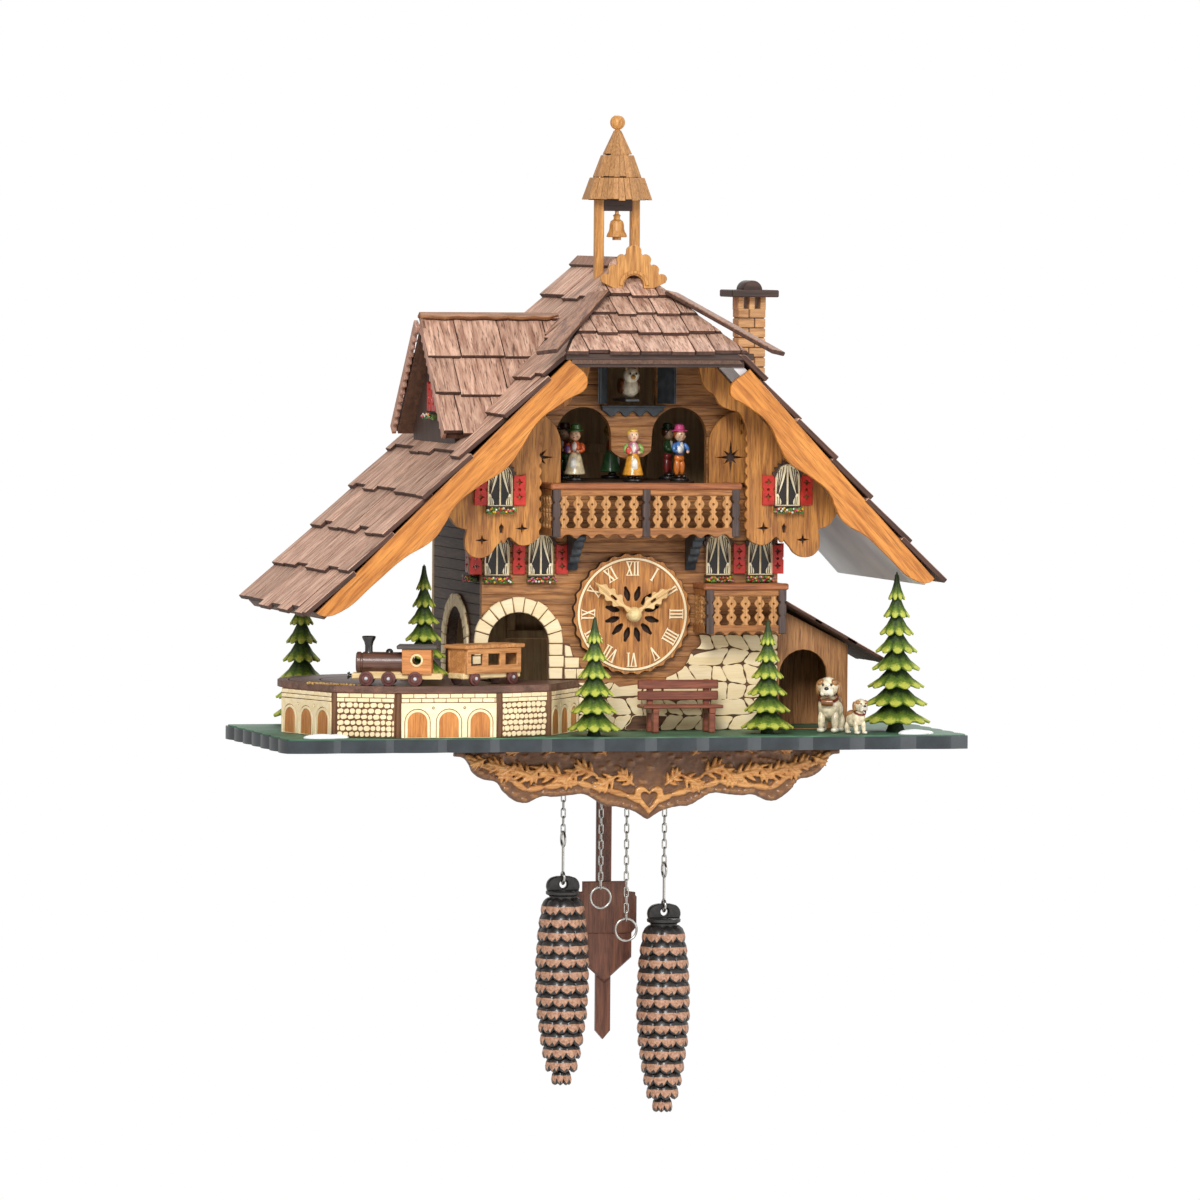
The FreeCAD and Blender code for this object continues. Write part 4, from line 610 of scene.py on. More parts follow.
for j in range(ROWS):
    for i in range(COLUMNS):
        if (i, j) in skip:
            continue
        wide = 2 if random.random() < 0.3 and i + 1 < COLUMNS else 1
        if wide == 2:
            skip.add((i + 1, j))
        corners = [grid[i, j], grid[i + wide, j], grid[i + wide, j + 1], grid[i, j + 1]]
        centre = Vector((sum(c[0] for c in corners) / 4, sum(c[1] for c in corners) / 4))
        line = []
        for k, corner in enumerate(corners):
            here, after = Vector(corner), Vector(corners[(k + 1) % 4])
            line += [tuple(here.lerp(after, 0.12)),
                     tuple(here.lerp(after, 0.5) + (centre - here.lerp(after, 0.5)) * random.uniform(-0.06,
                         0.06)),
                     tuple(here.lerp(after, 0.88))]
        paving.append([tuple(centre + (Vector(p) - centre) * (1 - 0.55 / max((Vector(p) - centre).length,
            3))) + (1,) for p in line])
paving = sawn("facing_stones", paving, 1.4, plane((0, -2.7, 0)), 0.35, 3)
guide = sawn("facing_guide", [FACING], 8, plane((0, -5, 0)), 0.01)
finished(paving, BOOLEAN={"operation": "INTERSECT", "object": guide, "solver": "EXACT", "use_self": True})
bpy.data.objects.remove(guide)
backs = grained(joined("stone_backing", [arch_back, facing_back, side_back]), (1, 0, 0))
give(backs, joint_paint)
fit(backs, "case", "pale_maple", "stonework")
faces = grained(joined("wall_stones", [arch_stones, paving, side_stones]), (1, 0, 0), 0.05)
give(faces, maple)
fit(faces, "case", "pale_maple")


# ------------------------------------------------------------------ main roof
# Sawn roof boards carry nine courses of narrow split shingles on the left slope, eight on the
# right and four wide ones on the front hip.  The shingles are stained brown and have weathered
# to a greyish pink on top; their sawn ends stay dark.
LEFT_EAVE, RIGHT_EAVE = (-241.7, 86.0), (199.9, 107.5)
RAKE_FRONT, HIP_EAVE, HIP_BACK = -73.0, 262.0, 35.0
SLOPES = {-1: math.atan2(RIDGE - LEFT_EAVE[1], -LEFT_EAVE[0]),
          1: math.atan2(RIDGE - RIGHT_EAVE[1], RIGHT_EAVE[0])}
RUN = {-1: math.hypot(LEFT_EAVE[0], RIDGE - LEFT_EAVE[1]),
       1: math.hypot(RIGHT_EAVE[0], RIDGE - RIGHT_EAVE[1])}
HIP = math.atan2(RIDGE - HIP_EAVE, HIP_BACK - RAKE_FRONT)


def slope_plane(side):
    """Plane of a main slope: across runs down the slope from the ridge, up runs to the back."""
    down = Vector((side * math.cos(SLOPES[side]), 0, -math.sin(SLOPES[side])))
    out = Vector((side * math.sin(SLOPES[side]), 0, math.cos(SLOPES[side])))
    return Matrix.Translation((0, 0, RIDGE)) @ Matrix((down, out.cross(down), out)).transposed().to_4x4()


def shingled(plane_matrix, run, rows, start, end, wide, first_down=0.0, thick=3.4, overhang=5.0):
    """Courses of shingles on a plane.  Each course lies on the one below it, and its shingles
    differ in width, in length and a little in tilt."""
    pieces = []
    pitch = (run - first_down) / rows
    for row in range(rows):
        y = start + random.uniform(-wide, 0)
        while y < end:
            width = random.uniform(wide * 0.75, wide * 1.3)
            left, right = max(y, start), min(y + width, end)
            if right - left > wide * 0.3:
                upper = first_down + pitch * row - 2
                lower = first_down + pitch * (row + 1) + random.choice((0.0, 0.5, 1.6,
                    1.8)) * overhang / 1.8
                piece = planed("shingle", (upper, left + 0.3, -thick), (lower, right - 0.3, 0), 0.4)
                tilt = Matrix.Rotation(-math.atan2(thick * 0.85, pitch) + random.uniform(-0.012, 0.012), 4,
                                       "Y")
                middle = Vector(((upper + lower) / 2, (left + right) / 2, -thick / 2))
                jitter = Matrix.Rotation(random.uniform(-0.012, 0.012), 4, "Z")
                lift = Matrix.Translation(middle + Vector((0, 0, 0.9 + random.uniform(-0.25, 0.35))))
                piece.data.transform(plane_matrix @ lift @ jitter @ tilt @ Matrix.Translation(-middle))
                pieces.append(piece)
            y += width
    return pieces


def trimmed(piece, point, normal):
    """Everything on the side of a plane that its normal points to is sawn off, and the cut closed."""
    bpy.ops.object.select_all(action="DESELECT")
    bpy.context.view_layer.objects.active = piece
    piece.select_set(True)
    bpy.ops.object.mode_set(mode="EDIT")
    bpy.ops.mesh.select_all(action="SELECT")
    bpy.ops.mesh.bisect(plane_co=point, plane_no=normal, use_fill=True, clear_outer=True)
    bpy.ops.object.mode_set(mode="OBJECT")
    piece.select_set(False)
    return piece


shingle_wood = timber("weathered_split_shingles", "dcb49c", "936854", pore="45291c", rough=0.7, ring_mm=3.4,
                      fibre_mm=1.1,
                      contrast=(0.34, 0.66), pores=0.8, bump=0.8)
shingle_end = timber("dark_shingle_ends", "5a3c30", "3a241c", pore="1e120c", rough=0.75)
hip_point, hip_normal = Vector((0, HIP_BACK, RIDGE)), Vector((0, -math.sin(HIP), math.cos(HIP)))
roof = []
for side, rows, wide in ((-1, 9, 26), (1, 8, 26)):
    course = joined("slope_shingles", shingled(slope_plane(side), RUN[side], rows,
                                               *((-141, 74.5) if side < 0 else (-74.5, 141)), wide))
    roof.append(trimmed(course, hip_point - hip_normal * 2, hip_normal))
hip_across = Vector((0, -math.cos(HIP), -math.sin(HIP)))
hip_plane = Matrix.Translation(hip_point) @ Matrix((hip_across, hip_normal.cross(hip_across),
                                                    hip_normal)).transposed().to_4x4()
hip_run = (HIP_BACK - RAKE_FRONT) / math.cos(HIP)
hip = joined("hip_shingles", shingled(hip_plane, hip_run + 2, 5, -74, 66, 17, thick=3.2, overhang=3))
for side in (-1, 1):
    out = Vector((side * math.sin(SLOPES[side]), 0, math.cos(SLOPES[side])))
    trimmed(hip, Vector((0, 0, RIDGE)) + out * 2.5, out)
roof.append(hip)
for piece, grain in zip(roof, ((1, 0, 1), (1, 0, -1), (0, 1, 0.6))):
    grained(piece, grain, 0.16)
roof = joined("shingle_courses", roof)
give(roof, shingle_wood, shingle_end)
for face in roof.data.polygons:
    face.material_index = 0 if face.normal.z > 0.35 else 1
fit(roof, "case", "shingle_wood", "roof_shingles")
# The underside of the right slope is painted a pale bluish grey: painted reflected light, while the left
# slope and the hip keep the stained boards.
right_underside_painted_light = painted("underside_painted_reflected_light", "d6d4d4", "c2c1c4", rough=0.75, cloud_mm=40, bump=0.05)
dormer_inside = timber("stained_roof_boards", "6a4a38", "4a3226", pore="24160e", rough=0.6, along="y")
give(NODES["roof_right"], right_underside_painted_light)
for node in ("roof_left", "roof_hip"):
    give(NODES[node], dormer_inside)


def on_slope(side, down, deep=0.0):
    """A point (x, z) on a main slope, some way down from the ridge and deep below the shingles."""
    return (side * (down * math.cos(SLOPES[side]) - deep * math.sin(SLOPES[side])),
            RIDGE - down * math.sin(SLOPES[side]) - deep * math.cos(SLOPES[side]))


def laid(name, start, end, wide, thick, up=(0, 0, 1), edge=0.4):
    """A planed board from start to end; up says which way its top looks."""
    start, along = Vector(start), Vector(end) - Vector(start)
    across = Vector(up).cross(along).normalized()
    top = along.cross(across).normalized()
    piece = planed(name, (0, -wide / 2, 0), (along.length, wide / 2, thick), edge)
    piece.data.transform(Matrix.Translation(start) @ Matrix((along.normalized(), across,
                                                             top)).transposed().to_4x4())
    return piece


# Stained caps, one board along each side of the ridge and one down each hip, and a dark fascia
# below the eave of the front hip.
cap_wood = timber("stained_cap_boards", "a5795e", "6e4b3a", pore="2e1c14", rough=0.65, ring_mm=2.6)
caps = []
for side in (-1, 1):
    out = (side * math.sin(SLOPES[side]), 0, math.cos(SLOPES[side]))
    x, z = on_slope(side, 4.6)
    caps.append(laid("ridge_cap", (x, HIP_BACK + 3, z), (x, 141, z), 9.4, 2.6, out))
    seam = Vector((side * (RIDGE - HIP_EAVE) / math.tan(SLOPES[side]), RAKE_FRONT - HIP_BACK,
                   HIP_EAVE - RIDGE))
    foot = Vector((side * 81, -80, RIDGE + (-80 - HIP_BACK) * math.tan(HIP) + 1.2))
    normal = (Vector(out) + hip_normal).normalized()
    caps.append(laid("hip_cap", foot, hip_point + seam * 0.42 + Vector((0, 0, 1.6)), 16, 3, normal, 0.6))
caps = grained(joined("roof_caps", caps), (0.4, 0.6, 0.5), 0.06)
give(caps, cap_wood, shingle_end)
for face in caps.data.polygons:
    face.material_index = 0 if face.normal.z > 0.5 else 1
fit(caps, "case", "shingle_wood", "ridge_caps")
# This dark finish colours the fascia, the chimney cap and the tower core, and is also painted shade on the
# boards behind the fretwork and the star panels.
dark_board_and_shade = timber("dark_board_and_painted_shade", "4a332a", "33221b", pore="16100c", rough=0.55)
fascia = grained(joined("hip_fascia", [laid("fascia", (-66, -71, 255.5), (66, -71, 255.5), 5, 4.5,
                                            (0, 0, 1)),
                                       laid("fascia", (-60, -69.5, 250.5), (60, -69.5, 250.5), 3, 5.5,
                                            (0, 0, 1))]), (1, 0, 0))
give(fascia, dark_board_and_shade)
fit(fascia, "case", "dark_wood")


# ------------------------------------------------------------------ bargeboards and fretwork
# Golden oak boards sawn in long waves follow both rakes, and carved panels with a scalloped
# inner edge, three drops, a keyhole and two stars fill the gable corners.  The saw left every
# sawn edge burnt dark.
barge_oak = timber("golden_oiled_oak", "d68c3e", "a4601f", pore="5a2f0e", rough=0.42, ring_mm=3.6,
                   pores=0.5, coat=0.15)
panel_oak = timber("pale_oiled_oak", "c5863f", "8a5323", pore="44260e", rough=0.5, ring_mm=3.0, pores=0.6)
sawn_edge = timber("burnt_saw_edge", "4a2e1a", "2e1b0f", pore="140c06", rough=0.7)
WAVE = [(3, 4), (14, 11), (40, 13.5), (66, 15.5), (88, 20.7), (101, 18.5), (113, 15), (132, 17),
        (155, 21.8), (170, 19), (189, 14.6),
        (210, 17.6), (229, 20)]
barges = []
for side in (-1, 1):
    top_end = RUN[side] - 66 / math.cos(SLOPES[side])
    stretch = top_end / 230.7
    outline = [on_slope(side, RUN[side] - s * stretch, 4 + deep) + (1,) for s, deep in WAVE]
    outline += [on_slope(side, RUN[side] - top_end, 3.5), on_slope(side, RUN[side] - 2, 3.5)]
    along = on_slope(side, 10)[0] - on_slope(side, 0)[0], 0, on_slope(side, 10)[1] - on_slope(side, 0)[1]
    board = burnt(sawn("bargeboard", [outline], 4, plane((0, RAKE_FRONT, 0)), 0.4), (0, -1, 0))
    barges.append(grained(board, along, 0.02))
barges = joined("bargeboards", barges)
give(barges, barge_oak, sawn_edge)
fit(barges, "case", "oak_board", "bargeboards")


def star_line(x, z, reaches):
    """Outline of a star; reaches lists its radius at equal angles from the right."""
    step = 2 * math.pi / len(reaches)
    return [(x + r * math.cos(k * step), z + r * math.sin(k * step)) for k, r in enumerate(reaches)]


def drops(points, depth, count):
    """Small scallops along a straight line, hanging to its right-hand side."""
    (x1, y1), (x2, y2) = points
    length = math.hypot(x2 - x1, y2 - y1)
    side = ((y2 - y1) / length, -(x2 - x1) / length)
    line = []
    for k in range(count):
        for share, deep in ((0.08, 0), (0.3, depth * 0.8), (0.5, depth), (0.7, depth * 0.8), (0.92, 0)):
            t = (k + share) / count
            line.append((x1 + (x2 - x1) * t + side[0] * deep, y1 + (y2 - y1) * t + side[1] * deep))
    return line


FRET = [(40.9, 239.7), (44, 234.7, 1), (49.2, 231.7, 1), (51.5, 227.5, 1), (53.3, 224.7, 1),
        (61.6, 220.7, 1), (67.8, 218.7, 1), (72, 211)]
FRET_FOOT = [(73.4, 134), (78.2, 129.9, 1), (86.5, 128.5, 1), (90.6, 130.9, 1), (94.8, 134, 1),
             (98.6, 130, 1), (100, 132), (101.4, 130, 1), (104.1, 127, 1),
             (107.2, 122.9, 1), (115.5, 119.9, 1), (123.8, 123.9, 1), (125.6, 131, 1), (124.4, 139.2),
             (131, 141.4, 1), (135.1, 145.9, 1),
             (138.3, 151.9, 1)]
fret = []
for side in (-1, 1):
    line = [(side * p[0], *p[1:]) for p in FRET + drops([(73.4, 205), (73.4, 138)], 1.6, 9) + FRET_FOOT]
    down = 138.3 / math.cos(SLOPES[side])
    edge = [on_slope(side, down + 12.4 * math.tan(SLOPES[side]), 12.4), on_slope(side, 62, 12.4)]
    line = line + edge + [(side * 36, 258)]
    holes = [star_line(side * 85.4, 140, (4.6, 1.2) * 4), star_line(side * 113.4, 132, (4.6, 1.2) * 4),
             [(side * 99, 137), (side * 101, 137), (side * 101.6, 141), (side * 100, 143.4),
              (side * 98.4, 141)]]
    fret.append(burnt(sawn("fretwork", [line] + holes, 4, plane((0, -33, 0)), 0.3, 4), (0, -1, 0)))
# Thin dark boards behind the stars and keyhole of the fretwork, and one on the wall behind the right lower
# shutter, are painted shade seen through the holes.
fret_shade_boards = [planed("backing", (min(side * x1, side * x2), -28.9, z1),
                     (max(side * x1, side * x2), -28.2, z2), 0.1)
              for side in (-1, 1) for x1, x2, z1, z2 in ((77, 97, 134, 152), (96.5, 104, 133, 147),
                                                         (106.5, 121, 124.5, 146))]
fret_shade_boards.append(planed("backing", (100.4, -0.65, 107.6), (108.5, -0.1, 128.4), 0.1))
fret_shade_boards = grained(joined("fretwork_painted_shade", fret_shade_boards), (0, 0, 1))
give(fret_shade_boards, dark_board_and_shade)
fit(fret_shade_boards, "case", "dark_wood")
fret = grained(joined("fretwork_panels", fret), (0, 0, 1), 0.03)
give(fret, panel_oak, sawn_edge)
fit(fret, "case", "golden_wood", "fretworks")


# ------------------------------------------------------------------ dormer
# A steep little gable on the left slope with three courses of wide shingles, serrated pinkish
# boards along its rakes and a dark recess behind red window leaves.
DORMER_Y, DORMER_APEX, DORMER_HALF, DORMER_FEET, DORMER_X = 34, 283, 70, 205, -137
DORMER = math.atan2(DORMER_APEX - DORMER_FEET, DORMER_HALF)
dormer_run = math.hypot(DORMER_HALF, DORMER_APEX - DORMER_FEET)
pink_wood = timber("pinkish_weathered_boards", "c39a86", "9a705e", pore="5a3a2e", rough=0.65, ring_mm=2.4)
main_out = Vector((-math.sin(SLOPES[-1]), 0, math.cos(SLOPES[-1])))
dormer_shingles, gable_boards = [], []
for side in (-1, 1):
    down = Vector((0, side * math.cos(DORMER), -math.sin(DORMER)))
    out = Vector((0, side * math.sin(DORMER), math.cos(DORMER)))
    spread = out.cross(down)
    place = Matrix.Translation((0, DORMER_Y, DORMER_APEX)) @ Matrix((down, spread,
        out)).transposed().to_4x4()
    low, high = sorted((spread.x * -142, spread.x * -30))
    dormer_shingles += shingled(place, dormer_run, 3, low, high, 26, thick=3, overhang=3)
    rake_line = [(4, -0.5), (dormer_run - 1, -0.5), (dormer_run - 1, 7)]
    rake_line += [(x, y) for x, y in drops([(dormer_run - 3, 7), (10, 7)], -2.0, 13)] + [(4, 7)]
    gable_boards.append(sawn("gable_board", [[(x, -y) for x, y in rake_line]], 3,
                             Matrix.Translation((DORMER_X - 5, DORMER_Y, DORMER_APEX))
                             @ Matrix((down, out, down.cross(out))).transposed().to_4x4(), 0.3))
dormer_cover = joined("dormer_shingles", dormer_shingles)
trimmed(dormer_cover, Vector((0, 0, RIDGE)) + main_out * 0.5, -main_out)
grained(dormer_cover, (0, 0.6, 0.7), 0.1)
give(dormer_cover, shingle_wood, shingle_end)
for face in dormer_cover.data.polygons:
    face.material_index = 0 if face.normal.z > 0.3 else 1
fit(dormer_cover, "case", "shingle_wood")
gable_boards = grained(joined("dormer_gable_boards", gable_boards), (0, 0.6, 0.7), 0.05)
give(gable_boards, pink_wood)
fit(gable_boards, "case", "shingle_wood")
crest = [(-142, 0), (-142, 5.5)] + [(x, 5.5 + (1.4 if k % 2 else 0), 1) for k,
                                    x in enumerate(range(-134, -44, 9))] + [(-44, 3.5), (-44, 0)]
crest = [sawn("crest", [[(x, side * y) for x, y, *_ in crest]], 2.4,
              Matrix.Translation((0, DORMER_Y, DORMER_APEX + 3.2))
              @ Matrix.Rotation(-side * 0.5, 4, "X")) for side in (-1, 1)]
crest = grained(joined("dormer_ridge_cap", crest), (1, 0, 0), 0.05)
give(crest, timber("golden_brown_crest", "a8744a", "74492c", pore="3a2010", rough=0.6))
fit(crest, "case", "shingle_wood")
give(NODES["dormer_roof"], dormer_inside)
give(NODES["dormer_walls"], timber("dark_dormer_wall", "4e3428", "33211a", rough=0.6, along="z"))


# ------------------------------------------------------------------ chimney
# Bricks of tan wood with dark joints under a dark slab and a half-round cap.
bricks = []
for row in range(14):
    z = 194 + row * 6.8
    if z > 283:
        break
    cut = 8 if row % 2 else 12
    for x1, x2 in ((93, 93 + cut), (93 + cut, 113)):
        bricks.append(planed("brick", (x1 + 0.3, 62.4, z + 0.3), (x2 - 0.3, 77.6, z + 6.5), 0.5))
for dx in (-8, 0, 8):
    bricks.append(planed("pillar", (103 + dx - 2, 62.6, 288), (103 + dx + 2, 77.4, 297.4), 0.4))
bricks = grained(joined("chimney_bricks", bricks), (1, 0, 0), 0.1)
give(bricks, timber("tan_wood_bricks", "c99a68", "a5744a", pore="6a4526", rough=0.6))
fit(bricks, "case", "chimney_wood")
core = planed("chimney_core", (94, 63.4, 180), (112, 76.6, 288.4), 0.3)
lid = [planed("slab", (86, 54, 297), (120, 86, 302), 0.7)]
half_round = sawn("half_round", [[(-7, 0), (7, 0)] + arc(0, 0, 7, 0, 180, 12)[1:-1]], 18,
                  plane((103, 61, 301.6)), 0.5)
lid = grained(joined("chimney_cap", lid + [core, half_round]), (1, 0, 0))
give(lid, dark_board_and_shade)
fit(lid, "case", "chimney_wood", "chimney")


# ------------------------------------------------------------------ bell tower
# Two golden posts carry three eight-sided skirts of grooved slats with a ball on top.  A turned
# wooden bell hangs from a dark beam, and a carved saddle board stands in front on the roof.
def outward(piece):
    """Merges doubled points and turns every face outward."""
    bpy.ops.object.select_all(action="DESELECT")
    bpy.context.view_layer.objects.active = piece
    piece.select_set(True)
    bpy.ops.object.mode_set(mode="EDIT")
    bpy.ops.mesh.select_all(action="SELECT")
    bpy.ops.mesh.remove_doubles(threshold=0.001)
    bpy.ops.mesh.normals_make_consistent(inside=False)
    bpy.ops.object.mode_set(mode="OBJECT")
    piece.select_set(False)
    return piece


def spun(name, profile, place=(0, 0, 0), steps=32, angle=40):
    """Turned on the lathe: a profile of (radius, height) spun about the upright axis."""
    mesh = bpy.data.meshes.new(name)
    mesh.from_pydata([(r, 0, z) for r, z in profile], [(k, k + 1) for k in range(len(profile) - 1)], [])
    piece = bpy.data.objects.new(name, mesh)
    bpy.context.scene.collection.objects.link(piece)
    finished(piece, SCREW={"steps": steps, "render_steps": steps, "use_merge_vertices": True})
    piece.data.transform(Matrix.Translation(place))
    return smoothed(outward(piece), angle)


TOWER_Y, TOWER_ROOF = 43, 364
tower_oak = timber("golden_tower_oak", "d39a55", "a86f35", pore="6a4018", rough=0.45, ring_mm=2.0)
slat_wood = timber("grooved_tower_slats", "c08f5a", "9a6a3e", pore="54331a", rough=0.55, ring_mm=1.6,
                   contrast=(0.3, 0.7))


def skirt(high_r, high_z, low_r, low_z, slats):
    """Eight sides of split slats; the ends at the low edge differ a little."""
    pieces = []
    for k in range(8):
        angle = math.radians(45 * k)
        for slat in range(slats):
            u1, u2 = 2 * slat / slats - 1, 2 * (slat + 1) / slats - 1
            spill = random.uniform(0, 1.4)
            piece = planed("slat", (u1 * 10 + 0.12, 0, 0), (u2 * 10 - 0.12, 2.2, 10), 0.25)
            for vertex in piece.data.vertices:
                down = vertex.co.z / 10
                radius = high_r + (low_r - high_r) * down
                side, front = vertex.co.x / 10 * radius * math.tan(math.pi / 8), radius - 2.0 + vertex.co.y
                z = high_z + (low_z - spill - high_z) * down
                vertex.co = (side * math.cos(angle) + front * math.sin(angle),
                             TOWER_Y + side * math.sin(angle) - front * math.cos(angle), z)
            pieces.append(outward(piece))
    return pieces


tiers = skirt(17.5, TOWER_ROOF + 15, 22.6, TOWER_ROOF + 0.5, 4) + skirt(10.4, TOWER_ROOF + 30.5, 15.6,
    TOWER_ROOF + 16, 3)
tiers += skirt(2.2, TOWER_ROOF + 47.5, 9.4, TOWER_ROOF + 31.5, 2)
tiers = grained(joined("tower_roof_slats", tiers), (0, 0, 1), 0.1)
give(tiers, slat_wood)
fit(tiers, "case", "golden_wood")
cores = [spun("core", [(0, -0.5), (20.5, -0.5), (20.5, 1), (15.5, 14.5), (12, 14.8), (12, 16), (13.5, 16.4),
                       (8.5, 30), (6.6, 30.4), (6.6, 31.6),
                       (7.5, 32), (1.4, 47), (0, 47)], (0, TOWER_Y, TOWER_ROOF), 8, 20)]
cores.append(planed("beam", (-11, TOWER_Y - 3, TOWER_ROOF - 8), (11, TOWER_Y + 3, TOWER_ROOF), 0.5))
cores = grained(joined("tower_core", cores), (1, 0, 0))
give(cores, dark_board_and_shade)
fit(cores, "case", "dark_wood")
turnery = [spun("ball", [(0, 46.5), (2.4, 46.8), (1.6, 48.2)]
                + [(5.2 * math.cos(math.radians(a)), 53 + 5.2 * math.sin(math.radians(a)))
                   for a in range(-66, 90, 12)] + [(0, 58.2)], (0, TOWER_Y, TOWER_ROOF))]
turnery.append(spun("bell", [(0, 336), (3, 336), (3, 338), (6.2, 338), (7.2, 338.4), (6.6, 340.2),
                             (5.6, 342), (5.1, 344), (5.0, 346.5), (4.3, 349),
                             (2.2, 350.4), (2.2, 352), (2.8, 353), (1.4, 354), (1.2, 357), (0, 357)],
                    (0, TOWER_Y, 0)))
for side in (-1, 1):
    x = side * 12.75
    turnery.append(planed("post", (x - 3.1, TOWER_Y - 3.1, 306), (x + 3.1, TOWER_Y + 3.1, TOWER_ROOF + 0.4),
                          0.7))
turnery = grained(joined("tower_turnery", turnery), (0, 0, 1), 0.04)
give(turnery, tower_oak)
fit(turnery, "case", "golden_wood", "bell_tower")
FOOT = RIDGE + (-0.5 - HIP_BACK) * math.tan(HIP) + 0.3
half_saddle = [(7, 0), (14, 0), (22.5, 4), (23.4, 7.4, 1), (20.4, 10, 1), (18, 9.6, 1), (17.6, 14, 1),
               (14.6, 16.4, 1), (12.2, 16, 1), (12, 20.6, 1),
               (9, 23.4, 1), (6, 23, 1), (4.6, 27.6, 1)]
saddle_line = [(x, FOOT + z, *r) for x, z, *r in half_saddle] + [(0, FOOT + 29.6, 1)]
saddle_line += [(-x, FOOT + z, *r) for x, z, *r in reversed(half_saddle)] + arc(0, FOOT + 2, 7, 180, 0,
    12)[1:-1]
saddle = burnt(sawn("saddle", [saddle_line], 3, plane((0, -3.5, 0))), (0, -1, 0))
trim_line = arc(0, FOOT + 2, 10.4, 0, 180, 14) + arc(0, FOOT + 2, 8, 180, 0, 14)
saddle = joined("saddle_board", [saddle, burnt(sawn("trim", [trim_line], 1.2, plane((0, -4.4, 0))),
                                               (0, -1, 0))])
grained(saddle, (0, 0, 1), 0.05)
give(saddle, tower_oak, sawn_edge)
fit(saddle, "case", "golden_wood", "tower_board")


# ------------------------------------------------------------------ cuckoo and doorway
# A carved owl-like cuckoo, cream with brown wings, stands on a grey perch between two slate
# doors with raised frames.  A dark sill with a wavy edge lies under the opening.
def resin(hex_code, rough=0.32):
    """Glossy hand-painted resin, one material for each colour."""
    name = "resin_" + hex_code
    if name not in bpy.data.materials:
        shade = "".join("%02x" % int(int(hex_code[i:i + 2], 16) * 0.78) for i in (0, 2, 4))
        painted(name, hex_code, shade, rough=rough, cloud_mm=3, bump=0.12, coat=0.35)
    return bpy.data.materials[name]


def tinted(piece, hex_code):
    give(piece, resin(hex_code))
    return piece


def limb(start, end, radius, hex_code, detail=2):
    """A rounded limb between two points."""
    start, end = Vector(start), Vector(end)
    piece = pebble("limb", 0, 0, 0, (radius, radius, (end - start).length / 2 + radius * 0.6), 0, detail)
    turn = Vector((0, 0, 1)).rotation_difference(end - start).to_matrix().to_4x4()
    piece.data.transform(Matrix.Translation((start + end) / 2) @ turn)
    return tinted(piece, hex_code)


def lump(x, y, z, size, hex_code, detail=2):
    return tinted(pebble("lump", x, y, z, size, 0, detail), hex_code)


slate = painted("slate_grey_stain", "3c4349", "272c31", rough=0.45, cloud_mm=5)
slate_edge = painted("rubbed_slate_edges", "8f979d", "6d757c", rough=0.5, cloud_mm=3)
DOOR_LOW, DOOR_HIGH = 223.5, 255
for side, label in ((-1, "left"), (1, "right")):
    face = [planed("leaf", (0.4, -2.6, DOOR_LOW + 1), (17.2, -1, DOOR_HIGH - 1), 0.3)]
    trim = [planed("rail", (0.6, -3.1, z), (17, -2.4, z + 1.8), 0.25)
            for z in (DOOR_LOW + 1.2, 236, DOOR_HIGH - 3)]
    trim += [planed("stile", (x, -3.1, DOOR_LOW + 1.2), (x + 1.8, -2.4, DOOR_HIGH - 1.2), 0.25)
             for x in (0.6, 15.2)]
    for x1, x2 in ((2, 15.6), (15.6, 2)):
        trim.append(laid("brace", (x1, -2.5, 226), (x2, -2.5, 236.4), 1.4, 0.55, (0, -1, 0), 0.2))
    leaf = joined("leaf", face)
    give(leaf, slate)
    trim = joined("trim", trim)
    give(trim, slate_edge)
    leaf = joined("cuckoo_leaf_" + label, [leaf, trim])
    if side < 0:
        leaf.data.transform(Matrix.Diagonal((-1, 1, 1, 1)))
        leaf.data.flip_normals()
    hinge = Matrix.Translation((side * 17.5, -1, 0))
    leaf.data.transform(hinge @ Matrix.Rotation(math.radians(side * 120), 4, "Z") @ hinge.inverted())
    fit(leaf, "door_leaf_" + label, "brown_board", "cuckoo_door_" + label)
bird = [lump(0, 7, 235.5, (6.6, 9, 7.6), "e9dcc0", 3), lump(0, 1.4, 243.6, (5.5, 5.3, 5.3), "efe4cb", 3)]
for side in (-1, 1):
    bird += [lump(side * 5.6, 8.5, 236.2, (2.0, 8.2, 5.6), "7a4a2a"),
             lump(side * 2.2, -3.0, 244.6, (1.5, 0.9, 1.5), "d9c39a"),
             lump(side * 2.2, -3.7, 244.8, (0.8, 0.5, 0.8), "101010"),
             lump(side * 3.6, 1.4, 248.2, (1.3, 1.2, 1.8), "b08a5a")]
beak = spun("beak", [(0, 0), (1.9, 0), (1.3, 2.6), (0, 5.4)], (0, 0, 0), 16)
beak.data.transform(Matrix.Translation((0, -2.6, 242.6)) @ Matrix.Rotation(math.radians(90), 4, "X"))
bird.append(tinted(beak, "c98a2c"))
bird += [lump(0, 17, 234.6, (3.4, 6, 2), "6a4026"),
         tinted(planed("perch", (-5, -2, 225.6), (5, 32, 227.6), 0.5), "7c8288")]
bird += [limb((x, 6, 227), (x, 6, 230), 0.7, "c98a2c") for x in (-2, 2)]
fit(joined("cuckoo_bird", bird), "cuckoo", "painted_resin", "cuckoo")

